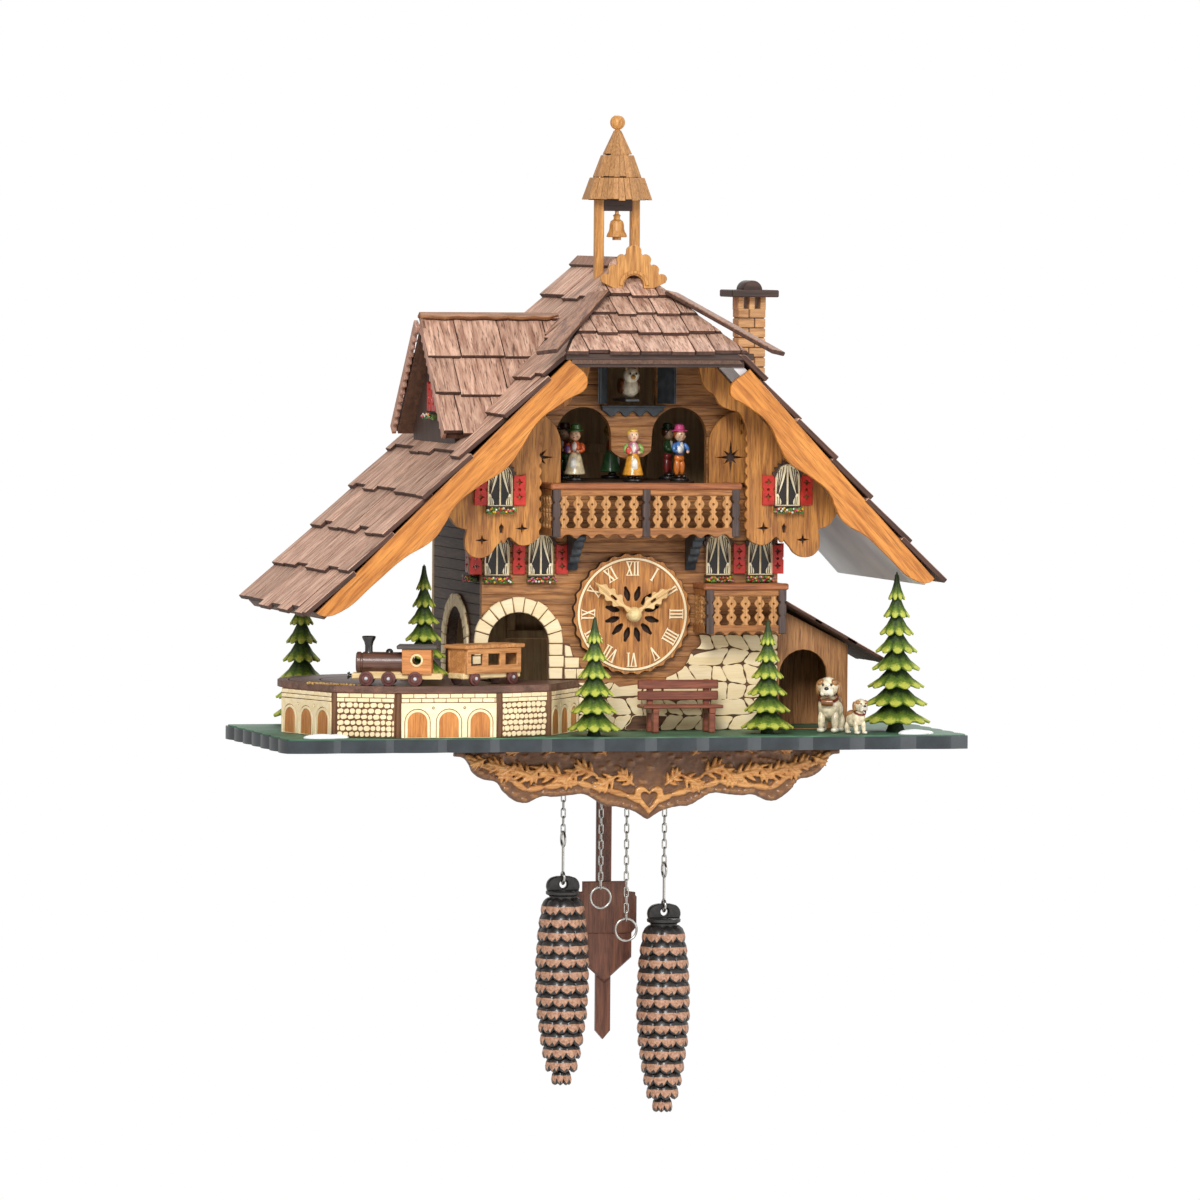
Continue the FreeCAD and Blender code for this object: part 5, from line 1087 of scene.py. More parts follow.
notched = [(0.3, 110), (4.2, 110.6), (4.2, 115), (8.4, 116, 1), (9.4, 120), (13.6, 121, 1), (14.4, 125.4),
           (19.6, 126.4, 1), (21, 130.4), (26, 131),
           (26, 135.8), (0.3, 135.8)]
corbels = [sawn("corbel", [notched], 7, plane((x - 3.5, 0, 0), (0, -1, 0)), 0.5) for x in (-42, 42)]
sill_low = DOOR_LOW - 8
wavy = [(-22, DOOR_LOW - 1), (-22, sill_low + 4.4)] + [(x, sill_low + (0 if k % 2 else 3.2), 1) for k,
                                                       x in enumerate(range(-20, 22, 5))]
corbels.append(sawn("sill", [wavy + [(22, sill_low + 4.4), (22, DOOR_LOW - 1)]], 3.6, plane((0, -4, 0)),
                    0.4))
corbels.append(planed("ledge", (-23, -6, DOOR_LOW - 1.6), (23, -0.3, DOOR_LOW - 0.2), 0.4))
corbels = joined("corbels_and_sill", corbels)
give(corbels, slate)
fit(corbels, "case", "dark_wood", "corbels")


# ------------------------------------------------------------------ star-cut shutters
# A tall panel stands on each side of the dancers' arches, round at its inner top corner and
# scalloped down its outer edge, with an eight-pointed star sawn through it.
stars, star_shade_boards = [], []
for side in (-1, 1):
    panel = [(52.4, 170.2), (80.5, 170.2)] + drops([(79.4, 172), (79.4, 216)], 1.8, 6) + [(79.4, 219.7),
        (76, 219.7)]
    panel += arc(76, 196, 23.6, 96, 180, 10)
    star = star_line(68, 187.8, (11, 2.6, 7, 2.6, 13, 2.6, 7, 2.6) * 2)
    moons = [arc(75, z, 1.5, -90, 90, 6) + arc(74.3, z, 1.2, 60, -60, 4) for z in (205, 212)]
    lines = [[(side * x, z) for x, z, *r in line] for line in [panel, star] + moons]
    stars.append(burnt(sawn("star_panel", lines, 3, plane((0, -10, 0)), 0.3), (0, -1, 0)))
    # A thin dark board behind each star and its moons is painted shade in the gap between the panel and the
    # wall.
    star_shade_boards.append(sawn("back", [[(side * x, z) for x, z in box_line(54, 171, 79, 205)]], 0.6,
                           plane((0, -6.9, 0)), 0.1))
stars = grained(joined("star_panels", stars), (0, 0, 1), 0.03)
give(stars, panel_oak, sawn_edge)
fit(stars, "case", "golden_wood", "star_shutters")
star_shade_boards = grained(joined("star_panel_painted_shade", star_shade_boards), (0, 0, 1))
give(star_shade_boards, dark_board_and_shade)
fit(star_shade_boards, "case", "dark_wood")


# ------------------------------------------------------------------ dancers
# Six little painted figures on round black feet stand on a turntable inside the arches.  They
# have plain doll-like faces.
def doll(angle, top, lower, hair, hat=None, trousers=False, shirt="f2ede2", sleeve=None, item=None):
    sleeve = sleeve or top
    parts = [tinted(spun("foot", [(0, 0), (6.2, 0), (6.6, 0.8), (6.4, 1.8), (5.2, 2.4), (0, 2.6)],
                         steps=24), "1a1a1a")]
    if trousers:
        for x in (-2.3, 2.3):
            parts += [limb((x, 0.2, 5.5), (x * 0.8, 0.2, 15), 2.4, lower),
                      lump(x, -1.2, 3.4, (1.9, 3, 1.5), "2a1a12")]
        parts.append(lump(0, 0.3, 16, (4.1, 3.2, 3.4), lower))
    else:
        frill = [(0, 5), (6.6, 4.6), (7.2, 5.2), (6.4, 8.4), (5.4, 12), (4.6, 16), (3.2, 19.6), (0, 20.4)]
        parts.append(tinted(spun("skirt", frill, steps=28), lower))
        parts.append(lump(0, -4.9, 11.2, (2.6, 1.6, 5.6), shirt))
        parts += [lump(x, -1.2, 3.4, (1.7, 2.8, 1.4), "2a1a12") for x in (-2.2, 2.2)]
    parts += [lump(0, 0, 22.4, (4.3, 3.2, 5.4), top, 3), lump(0, -2.2, 23.4, (1.9, 1.5, 3.8), shirt)]
    for side in (-1, 1):
        parts += [limb((side * 4.4, 0, 25.6), (side * 6.3, -1.6, 21.4), 1.7, sleeve),
                  limb((side * 6.3, -1.6, 21.2), (side * 3.6, -4.8, 20.4), 1.4, sleeve),
                  lump(side * 3.0, -5.2, 20.4, (1.2, 1.1, 1.2), "eebb94")]
        parts += [lump(side * 1.35, -3.5, 32.4, (0.5, 0.35, 0.6), "1c1410", 1),
                  lump(side * 2.3, -2.9, 30.7, (0.9, 0.6, 0.8), "e89a84", 1)]
    parts += [lump(0, -0.3, 31.6, (3.8, 3.7, 4.2), "f2c6a0", 3),
              lump(0, -3.7, 29.9, (0.9, 0.4, 0.35), "b8423a", 1),
              lump(0, -3.95, 31.2, (0.5, 0.5, 0.5), "efb48c", 1)]
    parts += [lump(0, 1.0, 32.8, (4.3, 3.9, 4.1), hair, 3), lump(0, -1.6, 35.2, (3.2, 2.0, 1.2), hair)]
    if hat:
        brim = spun("hat", [(0, 34.8), (5.6, 34.5), (5.8, 35.1), (3.6, 35.6), (3.3, 38.4), (2.2, 39.2),
                            (0, 39.4)], (0, 0.4, 0), 24)
        parts.append(tinted(brim, hat))
    if item:
        parts.append(lump(-4.2, -5.2, 22, (2.2, 1.3, 2.8), item))
    figure = joined("figure", parts)
    turn = math.radians(angle)
    facing = math.radians((angle + 180) % 360 - 180) * 0.45
    figure.data.transform(Matrix.Translation((42 * math.sin(turn), 25 - 42 * math.cos(turn),
                                              171)) @ Matrix.Rotation(facing, 4, "Z"))
    return figure


FIRST = -4.6
figures = [doll(FIRST, "d8849a", "e9a235", "e2b548", shirt="f4efe0", sleeve="8fb45a", item="e04a3a"),
           doll(FIRST + 60, "4e80c4", "e07a2a", "b4602a", hat="e0508e", trousers=True, item="f0f0ee"),
           doll(FIRST + 120, "3f6b3a", "8a2f2a", "6a3a1c", trousers=True, hat="2f4a2a"),
           doll(FIRST + 180, "a8402e", "4a7a4a", "c99a3a"), doll(FIRST + 240, "7a2c28", "3e5f35", "5a3418",
               trousers=True, hat="4a2c1a"),
           doll(FIRST + 300, "d9602a", "e6d3a8", "7a4a22", hat="3f6f36", item="6c3f80")]
fit(joined("dancing_figures", figures), "dancer_table", "painted_resin", "dancers")
give(NODES["carousel"], painted("turntable_paint", "5a3a24", "3a2618", rough=0.5, cloud_mm=9))


# ------------------------------------------------------------------ balconies
# Flat balusters with scalloped edges and drilled holes stand between a wavy golden foot rail
# and a reddish hand rail; the posts are dark and notched.
rail_wood = timber("reddish_hand_rail", "a5643a", "7c4526", pore="3c1e0e", rough=0.45, coat=0.15)
foot_wood = timber("reddish_foot_rail", "ad743f", "7e4c26", pore="42240e", rough=0.45)
baluster_wood = timber("tan_balusters", "c9935a", "9c6a38", pore="5a3a1e", rough=0.5, ring_mm=2)
pale_rim = timber("pale_baluster_rims", "f0d6a4", "d9b47c", pore="a07a4a", rough=0.55)
post_stain = timber("dark_notched_posts", "54423c", "382a26", pore="1a1210", rough=0.5)
HALVES = ((0, 2.9), (0.1, 1.5), (0.2, 2.9), (0.28, 3.5), (0.37, 2.6), (0.44, 1.4), (0.5, 2.4), (0.56, 1.4),
          (0.63, 2.6), (0.72, 3.5), (0.8, 2.9),
          (0.9, 1.5), (1, 2.9))


def baluster_lines(x, low, high):
    sides = [(w, low + (high - low) * share, 1) for share, w in HALVES]
    lines = [[(x + w, z, 1) for w, z, _ in sides] + [(x - w, z, 1) for w, z, _ in reversed(sides)]]
    lines += [arc(x, low + (high - low) * share, 0.75, 0, 320, 8) for share in (0.28, 0.72)]
    return lines


def foot_line(left, right, low, high, waves):
    line = [(right, high), (left, high), (left, low + 2.6)]
    for k in range(waves):
        x, step = left + (right - left) * k / waves, (right - left) / waves
        line += [(x + step * 0.15, low + 2.4, 1), (x + step * 0.5, low, 1), (x + step * 0.85, low + 2.4, 1)]
    return line + [(right, low + 2.6)]


balustrade = {"rail": [], "foot": [], "baluster": [], "post": []}
for left, right, deep, low, rail, bays, per_bay in ((-66, 66, 40, 133.4, 171, 2, 6),
                                                    (45, 102, 32, 66.4, 102, 1, 5)):
    front, foot_top, rail_low = -deep, low + 7, rail - 8.5
    balustrade["rail"] += [planed("hand_rail", (left - 1.5, front - 2, rail - 4.4),
                                  (right + 1.5, front + 5.5, rail), 0.9)]
    balustrade["rail"] += [planed("hand_rail", (x - 0.8, front, rail - 4.2), (x + 4.8, -0.4, rail - 0.2),
                                  0.9) for x in (left, right - 4)]
    balustrade["foot"] += [planed("top_strip", (left, front - 0.6, rail_low),
                                  (right, front + 3.4, rail - 4.5), 0.4),
                           planed("floor", (left, front + 1, low + 2.8), (right, -0.4, low + 6.2), 0.4)]
    balustrade["foot"].append(sawn("foot_rail", [foot_line(left, right, low, foot_top, 6 * bays)], 3.6,
                                   plane((0, front - 1, 0)), 0.4))
    lines = []
    bay = (right - left) / bays
    for k in range(bays):
        for number in range(per_bay):
            lines += baluster_lines(left + bay * k + 2.5 + (bay - 5) * (number + 0.6) / (per_bay + 0.2),
                                    foot_top - 0.6, rail_low + 0.5)
    balustrade["baluster"].append(burnt(sawn("balusters", lines, 2.4, plane((0, front + 0.6, 0)), 0.25, 4),
                                        (0, -1, 0)))
    for x in (left, right - 2.6):
        lines = []
        for number in range(4):
            lines += baluster_lines(-(front + 7 + (deep - 10) * (number + 0.5) / 4), foot_top - 0.6,
                                    rail_low + 0.5)
        balustrade["baluster"].append(burnt(sawn("end_balusters", lines, 2.4, plane((x, 0, 0), (0, -1, 0)),
                                                 0.25, 4), (1, 0, 0)))
        balustrade["foot"] += [planed("end_foot", (x - 0.4, front + 2, low + 1.4),
                                      (x + 3.2, -0.4, foot_top), 0.4),
                               planed("end_strip", (x - 0.2, front + 2, rail_low),
                                      (x + 2.8, -0.4, rail - 4.3), 0.3)]
    for k in range(bays + 1):
        x = left + (right - left - 5.4) * k / bays
        notch = [(x, low + 1), (x + 5.4, low + 1), (x + 5.4, low + 12), (x + 4.3, low + 13.4, 1),
                 (x + 5.4, low + 15), (x + 5.4, rail - 14.6), (x + 4.3, rail - 13, 1),
                 (x + 5.4, rail - 11.4), (x + 5.4, rail - 4), (x, rail - 4), (x, rail - 11.4),
                 (x + 1.1, rail - 13, 1), (x, rail - 14.6), (x, low + 15),
                 (x + 1.1, low + 13.4, 1), (x, low + 12)]
        balustrade["post"].append(sawn("post", [notch], 5.4, plane((0, front - 1.6, 0)), 0.4))
for label, pieces in balustrade.items():
    pieces = grained(joined("balcony_" + label, pieces), (1, 0, 0) if label in ("rail", "foot")
                     else (0, 0, 1), 0.05)
    give(pieces, *{"rail": (rail_wood,), "foot": (foot_wood,), "baluster": (baluster_wood, pale_rim),
                   "post": (post_stain,)}[label])
    nodes = ("upper_balcony", "lower_balcony") if label == "rail" else ()
    fit(pieces, "case", "dark_wood" if label == "post" else "golden_wood", *nodes)


# ------------------------------------------------------------------ windows
# Arched panes with parted striped curtains, cream frames, dark scalloped hoods, red pierced
# shutters and a strip of painted flowers under each.
cream_paint = painted("cream_frame_paint", "f3e4c2", "e2cd9f", rough=0.45, cloud_mm=4)
curtain_cloth = painted("cream_curtain", "f7edcf", "ecdcb2", rough=0.8, cloud_mm=3)
stripe_ink = painted("burnt_curtain_lines", "4a3022", "33201a", rough=0.7, cloud_mm=3)
pane_paint = painted("dark_pane", "241c1a", "14100f", rough=0.15, cloud_mm=6, bump=0.02, coat=0.6)
hood_wood = painted("dark_window_hood", "4c362a", "33231b", rough=0.5, cloud_mm=3)
shutter_red = painted("red_shutter_paint", "c92a1c", "a81c12", rough=0.4, cloud_mm=5, coat=0.2)
TALL, SPRING = 29, 20.5


def painted_piece(material, piece):
    give(piece, material)
    return piece


def window(x, low):
    """One window whose wall face is at y = 0."""
    parts = [painted_piece(pane_paint, sawn("pane", [arch_line(x, 8.3, low + 0.2, low + SPRING)], 0.7,
                                            plane((0, -1.0, 0)), 0.1))]
    ring = [arch_line(x, 8.7, low, low + SPRING), arch_line(x, 8.0, low + 1.0, low + SPRING)]
    parts.append(painted_piece(cream_paint, sawn("frame", ring, 1.5, plane((0, -2.4, 0)), 0.25)))
    parts.append(painted_piece(cream_paint, planed("mullion", (x - 0.6, -2.3, low + 1),
                                                   (x + 0.6, -1, low + TALL - 1), 0.2)))
    for side in (-1, 1):
        drape = [(8.0, 1.2), (4.4, 1.2), (4.3, 3.6, 1), (5.4, 6, 1), (6.3, 8.2), (5.2, 10.6, 1),
                 (3.2, 16, 1), (1.5, 22, 1), (0.7, 26.6), (0.7, 28.4), (4.6, 27), (8.0, 21)]
        parts.append(painted_piece(curtain_cloth,
                                   sawn("curtain", [[(x + side * u, low + v, *r) for u, v, *r in drape]],
                                        0.5, plane((0, -1.6, 0)), 0.1)))
        lines = []
        for waist, head, top in ((7.4, 6.3, 23.6), (7.0, 4.6, 25.6), (6.6, 2.7, 27)):
            run = [(waist, 8.6), (waist * 0.72 + head * 0.28, 14), (waist * 0.35 + head * 0.65, 19.5),
                   (head, top)]
            lines.append([(x + side * (u + 0.33), low + v) for u, v in run]
                         + [(x + side * (u - 0.33), low + v) for u, v in reversed(run)])
        for u in (5.4, 6.7):
            lines.append([(x + side * (u + 0.3), low + 1.4), (x + side * (u + 0.5), low + 6.6),
                          (x + side * (u + 0.1), low + 6.6), (x + side * (u - 0.3), low + 1.4)])
        parts.append(painted_piece(stripe_ink, sawn("stripes", lines, 0.3, plane((0, -1.85, 0)), 0.05)))
    crest = []
    for k in range(9):
        start = 4 + 172 * k / 9
        crest += [(a, b, 1) for a, b in (arc(x, low + SPRING, 9.8, start, start, 1)[0],
                                         arc(x, low + SPRING, 11.4, start + 9.5, start + 9.5, 1)[0])]
    crest = [(x + 9.6, low + SPRING - 1)] + crest + [(x - 9.6, low + SPRING - 1)] + arc(x, low + SPRING,
        8.4, 178, 2, 12)
    parts.append(painted_piece(hood_wood, sawn("hood", [crest], 2.2, plane((0, -3.2, 0)), 0.3)))
    parts.append(painted_piece(hood_wood, planed("sill", (x - 9.6, -3.6, low - 1),
                                                 (x + 9.6, -0.3, low + 0.4), 0.3)))
    return joined("window", parts)


def shutter(x, low, wide=9.0, tall=21.0):
    left, right = x - wide / 2, x + wide / 2
    outline = [(left, low), (right, low), (right, low + tall * 0.45), (right - 0.8, low + tall * 0.5, 1),
               (right, low + tall * 0.55), (right, low + tall),
               (x, low + tall - 1.2, 1), (left, low + tall), (left, low + tall * 0.55),
               (left + 0.8, low + tall * 0.5, 1), (left, low + tall * 0.45)]
    holes = []
    for share in (0.26, 0.74):
        z = low + tall * share
        holes += [star_line(x, z, (2.6, 1.0) * 4)]
    holes.append(arc(x, low + tall * 0.5, 0.9, 0, 320, 8))
    return sawn("shutter", [outline] + holes, 1.6, plane((0, -2.3, 0)), 0.25)


def flowers(x, low, half=10):
    """A strip of leaves with small bright blossoms, its wall face at y = 0."""
    parts = [tinted(planed("trough", (x - half, -4.4, low - 4.6), (x + half, -0.4, low - 1.4), 0.5),
                    "5a6b34")]
    for k in range(30):
        hue = random.choice(("4f8a35", "6fa03c", "3f7030"))
        parts.append(lump(x + random.uniform(-half, half), random.uniform(-6, -3.6),
                          low - 3 + random.uniform(-1.6, 2),
                          (random.uniform(0.9, 1.5), 0.8, random.uniform(0.6, 1.1)), hue, 1))
    for k in range(20):
        hue = random.choice(("d8281e", "e8c02c", "f0ece0", "e2702a", "d85a8a", "c92020"))
        parts.append(lump(x - half + (k + 0.5) * half / 10, -6.2 + random.uniform(-0.4, 0.6), low - 2.8
                          + random.uniform(-1.5, 1.9), (0.95, 0.6, 0.95), hue, 1))
    return joined("flowers", parts)


LOW_SILL, HIGH_SILL, SIDE_Y = 106.5, 155, 20
LOWER, UPPER = (-95, -64, 62, 92), (-101.6, 101.6)
to_fret = Matrix.Translation((0, -33, 0))
to_side = Matrix.Translation((-HALF, SIDE_Y, 0)) @ Matrix.Rotation(math.radians(-90), 4, "Z")
panes, leaves, blooms = [], [], []
for x, low, move in [(x, LOW_SILL, Matrix()) for x in LOWER] + [(x, HIGH_SILL, to_fret)
    for x in UPPER] + [(0, LOW_SILL, to_side)]:
    panes.append(window(x, low))
    blooms.append(flowers(x, low))
    panes[-1].data.transform(move)
    blooms[-1].data.transform(move)
for x, low, move in ([(x, LOW_SILL + 1, Matrix()) for x in (-110, -79.5, -49, 77, 104.4)]
                     + [(x + side * 13.6, HIGH_SILL + 1, to_fret) for x in UPPER for side in (-1, 1)]
                     + [(side * 13.6, LOW_SILL + 1, to_side) for side in (-1, 1)]):
    leaves.append(shutter(x, low, 8.6))
    leaves[-1].data.transform(move)
dormer_leaf = Matrix.Translation((-131, DORMER_Y, 0)) @ Matrix.Rotation(math.radians(-90), 4, "Z")
for side in (-1, 1):
    leaves.append(shutter(side * 6.5, 218, 11, 20))
    leaves[-1].data.transform(dormer_leaf)
blooms.append(flowers(0, 217.5, 12))
blooms[-1].data.transform(dormer_leaf)
leaves = joined("red_shutters", leaves)
give(leaves, shutter_red)
fit(leaves, "case", "red_paint", "shutters")
fit(joined("curtained_windows", panes), "case", "pale_maple", "windows")
fit(joined("window_flowers", blooms), "case", "flower_paint", "flower_boxes")


# ------------------------------------------------------------------ dial and hands
# Golden oak disc with a scalloped edge and twelve petal cuts round the middle.  A cream ring
# and cut cream Roman numerals are glued on, and two carved hands sit on a pale hub nut.
DIAL_Z = 80.2
dial_oak = timber("golden_dial_oak", "c98a45", "93592a", pore="54300f", rough=0.5, ring_mm=2.4, pores=0.7)
cream_wood = timber("cream_cut_wood", "f7e9c8", "ecd6a8", pore="d0ae78", rough=0.5, ring_mm=5, pores=0.2)
rim = []
for k in range(28):
    middle = 360 * (k + 0.5) / 28
    rim += [(a, b, 1) for a, b in (arc(0, DIAL_Z, 40.6, middle - 5, middle - 5, 1)[0],
                                   arc(0, DIAL_Z, 42, middle, middle, 1)[0],
                                   arc(0, DIAL_Z, 40.6, middle + 5, middle + 5, 1)[0])]
petals = []
for k in range(12):
    turn = math.radians(30 * k + 15)
    across, out = Vector((math.cos(turn), -math.sin(turn))), Vector((math.sin(turn), math.cos(turn)))
    petals.append([tuple(Vector((0, DIAL_Z)) + across * u + out * v) + (1,) for u, v in
                   ((0, 9.6), (1.3, 11.4), (1.9, 14.2), (1.1, 17), (0, 19.4), (-1.1, 17), (-1.9, 14.2),
                    (-1.3, 11.4))])
disc = burnt(sawn("disc", [rim] + petals, 4.4, plane((0, -5.3, 0)), 0.35, 4), (0, -1, 0))
disc_back = sawn("disc_back", [arc(0, DIAL_Z, 39, 0, 350, 36), arc(0, DIAL_Z, 4.6, 0, 340, 18)], 0.8,
                 plane((0, -1.1, 0)), 0.1)
dial = joined("dial_disc", [disc, disc_back])
grained(dial, (0, 0, 1), 0.02)
give(dial, dial_oak, sawn_edge)
for face in dial.data.polygons:
    if abs(face.normal.y) < 0.8 or face.center.y > -1.3:
        face.material_index = 1
fit(dial, "case", "golden_wood", "dial")
numerals = ("XII", "I", "II", "III", "IIII", "V", "VI", "VII", "VIII", "IX", "X", "XI")
WIDTHS = {"I": 2.3, "V": 5.0, "X": 5.0}
cut_parts = [sawn("ring", [arc(0, DIAL_Z, 38.8, 0, 356, 90), arc(0, DIAL_Z, 37.2, 0, 356, 90)], 1.0,
                  plane((0, -6.3, 0)), 0.15)]
LOW_R, TALL_R, FACE_Y = 26.4, 9.8, -5.3
for hour, text in enumerate(numerals):
    left = -sum(WIDTHS[letter] for letter in text) / 2
    strokes = []
    for letter in text:
        middle = left + WIDTHS[letter] / 2
        reach = WIDTHS[letter] / 2 - 0.7
        if letter == "I":
            strokes.append((middle, 0, middle, TALL_R, 1.15))
        elif letter == "V":
            strokes += [(middle - reach, TALL_R, middle, 0.2, 1.2),
                        (middle + reach, TALL_R, middle, 0.2, 0.75)]
        else:
            strokes += [(middle - reach, TALL_R, middle + reach, 0, 1.2),
                        (middle + reach, TALL_R, middle - reach, 0, 0.75)]
        strokes += [(middle - reach - 0.7, z, middle + reach + 0.7, z, 0.6)
                    for z in ((0.3, TALL_R - 0.3) if letter != "V" else (TALL_R - 0.3,))]
        left += WIDTHS[letter]
    spin = Matrix.Translation((0, 0, DIAL_Z)) @ Matrix.Rotation(math.radians(30 * hour), 4, "Y")
    for number, (x1, z1, x2, z2, wide) in enumerate(strokes):
        bar = laid("stroke", (x1, FACE_Y - 0.002 * number, LOW_R + z1),
                   (x2, FACE_Y - 0.002 * number, LOW_R + z2), wide, 0.9, (0, -1, 0), 0.12)
        bar.data.transform(spin)
        cut_parts.append(bar)
cut_parts = grained(joined("ring_and_numerals", cut_parts), (0, 0, 1), 0.02)
give(cut_parts, cream_wood)
fit(cut_parts, "case", "pale_maple", "chapter_ring")

hand_wood = timber("carved_pale_hands", "e9c791", "c99f63", pore="8a6334", rough=0.4, ring_mm=2, coat=0.2)


def carved_hand(length, front):
    """Leaf-shaped hand pointing up, pierced once, with a raised rib and a round boss."""
    edge = [(1.5, 4), (1.2, length * 0.26), (2.6, length * 0.34), (5.0, length * 0.42), (3.0, length * 0.5),
            (5.2, length * 0.6), (3.0, length * 0.68),
            (3.8, length * 0.78), (1.4, length * 0.86)]
    line = [(x, z, 1) for x, z in edge] + [(0, length)] + [(-x, z, 1) for x, z in reversed(edge)]
    holes = [[(0, length * 0.44, 1), (0.9, length * 0.5, 1), (0, length * 0.58, 1),
              (-0.9, length * 0.5, 1)]]
    blade = sawn("blade", [line] + holes, 1.4, plane((0, front, 0)), 0.35)
    rib = laid("rib", (0, front + 0.2, length * 0.62), (0, front + 0.2, length * 0.95), 0.8, 0.6,
               (0, -1, 0), 0.2)
    boss = spun("boss", [(0, 1.4), (5, 1.4), (5.2, 0.9), (4.9, 0.2), (4, -0.2), (0, -0.2)], steps=36)
    boss.data.transform(Matrix.Translation((0, front, 0)) @ Matrix.Rotation(math.radians(-90), 4, "X"))
    return [blade, rib, boss]


for label, length, angle, front, pipe in (("hour_hand", 33, 56, -10.2, 4),
                                          ("minute_hand", 37, 308, -12.6, 10)):
    parts = carved_hand(length, front)
    hand = grained(joined("carved_" + label, parts), (0, 0, 1), 0.02)
    give(hand, hand_wood)
    bore = 2.6 if label == "hour_hand" else 1.4
    tube = spun("pipe", [(0, 0), (bore, 0), (bore, pipe - front - 1), (0, pipe - front - 1)], steps=24)
    tube.data.transform(Matrix.Translation((0, front + 1, 0)) @ Matrix.Rotation(math.radians(-90), 4, "X"))
    if label == "minute_hand":
        nut = spun("nut", [(0, -3.4), (1.6, -3.3), (2.9, -2.6), (4.3, -1.2), (4.6, -0.1), (0, -0.1)],
                   steps=36)
        nut.data.transform(Matrix.Translation((0, front, 0)) @ Matrix.Rotation(math.radians(-90), 4, "X"))
        give(nut, painted("pale_brass_nut", "efd9a4", "d8bb7c", rough=0.35, cloud_mm=3))
        hand = joined("carved_minute_hand", [hand, nut])
    give(tube, painted("brass_pipe", "b89448", "8f6e2e", rough=0.35))
    hand = joined("carved_" + label, [hand, tube])
    hand.data.transform(Matrix.Translation((0, 0, DIAL_Z)) @ Matrix.Rotation(math.radians(angle), 4, "Y"))
    fit(hand, label, "pale_maple", label)


# ------------------------------------------------------------------ train
# A wooden locomotive with a dark turned boiler, flared black funnel and orange cab pulls one
# wagon with three windows.  Both ride on cream frames with turned purple-brown wheels.
TRACK_X, TRACK_Y, DECK = -155, 11, 35


def on_track(piece, angle):
    turn = math.radians(angle)
    place = Matrix.Translation((TRACK_X + 75 * math.sin(turn), TRACK_Y - 75 * math.cos(turn), DECK))
    piece.data.transform(place @ Matrix.Rotation(turn, 4, "Z"))
    return piece


def across_y(piece, x, y, z):
    """Lays a piece turned about the upright axis over onto the axle's axis and sets it down."""
    piece.data.transform(Matrix.Translation((x, y, z)) @ Matrix.Rotation(math.radians(90), 4, "X"))
    return piece


boiler_wood = timber("dark_brown_boiler", "6a4434", "472a20", pore="20120c", rough=0.4, coat=0.2)
cab_wood = timber("orange_cab_wood", "d08a4c", "aa6830", pore="6a3a18", rough=0.5)
frame_wood = timber("cream_train_frames", "ecd4a2", "d3b27a", pore="9a7444", rough=0.55)
roof_grey = timber("slate_train_roof", "5e5650", "443d39", pore="241f1c", rough=0.5)
funnel_black = painted("black_funnel", "2a2725", "171514", rough=0.35, coat=0.3)
wheel_wood = painted("purple_brown_wheels", "6b3a34", "4c2722", rough=0.4, cloud_mm=3)
hub_metal = painted("silver_hubs", "c9ccd0", "8e9296", rough=0.3, cloud_mm=2)
WHEEL = [(0, -1.6), (3.0, -1.6), (3.4, -0.9), (4.8, -0.8), (5.0, 0), (4.8, 0.8), (0, 0.8)]


def wheel_pair(x):
    parts = []
    for side in (-1, 1):
        wheel = across_y(spun("wheel", WHEEL if side > 0 else [(r, -z) for r, z in WHEEL], steps=28), x,
                         side * 8.6, 5.0)
        parts.append(painted_piece(wheel_wood, wheel))
        parts.append(painted_piece(hub_metal, pebble("hub", x, side * 10.2, 5.0, (1.3, 0.9, 1.3), 0, 2)))
    return parts


def wooden(material, piece, along=(1, 0, 0)):
    give(grained(piece, along, 0.04), material)
    return piece


profile = [(0, 0), (6.2, 0), (7.2, 0.8), (7.2, 3), (6.6, 3.4), (6.6, 4.4), (7.2, 4.8), (7.2, 32), (0, 32)]
boiler = spun("boiler", profile, steps=36)
boiler.data.transform(Matrix.Translation((-28.4, 0, 15.5)) @ Matrix.Rotation(math.radians(90), 4, "Y"))
loco = [wooden(boiler_wood, boiler), wooden(frame_wood, planed("frame", (-31, -7, 4.6), (30, 7, 8.6), 0.6)),
        wooden(frame_wood, planed("saddle", (-22, -4, 8), (2, 4, 10), 0.4))]
loco.append(painted_piece(funnel_black, spun("funnel", [(0, 21), (3.4, 21), (2.6, 23.4), (2.6, 27),
                                                        (3.2, 29.4), (4.4, 31.6), (4.8, 33), (4.0, 33.4),
                                                        (3.2, 32.4), (0, 32)], (-20, 0, 0))))
loco.append(painted_piece(funnel_black, spun("dome", [(0, 21), (2.6, 21.4), (2.4, 23.6), (1.2, 24.8),
                                                      (0, 25)], (-6, 0, 0), 24)))
cab_side = [[(3, 8), (23, 8), (23, 25), (3, 25)], arc(13, 17.6, 3.2, 0, 345, 22)]
for side in (-1, 1):
    loco.append(wooden(cab_wood, sawn("cab_side", cab_side, 2, plane((0, -9 if side < 0 else 7, 0)), 0.3)))
    loco.append(wooden(frame_wood, sawn("port",
                                        [arc(13, 17.6, 4.4, 0, 345, 22), arc(13, 17.6, 3.0, 0, 345, 22)],
                                        0.6,
                                        plane((0, -9.5 if side < 0 else 8.9, 0)), 0.15)))
loco += [wooden(cab_wood, planed("cab_front", (3, -7, 8), (5, 7, 25), 0.3)),
         wooden(cab_wood, planed("cab_rear", (21, -7, 8), (23, 7, 16), 0.3)),
         wooden(roof_grey, planed("cab_roof", (-0.5, -10.6, 25), (26.5, 10.6, 27.8), 0.7))]
for x in (-21, -6, 12):
    loco += wheel_pair(x)
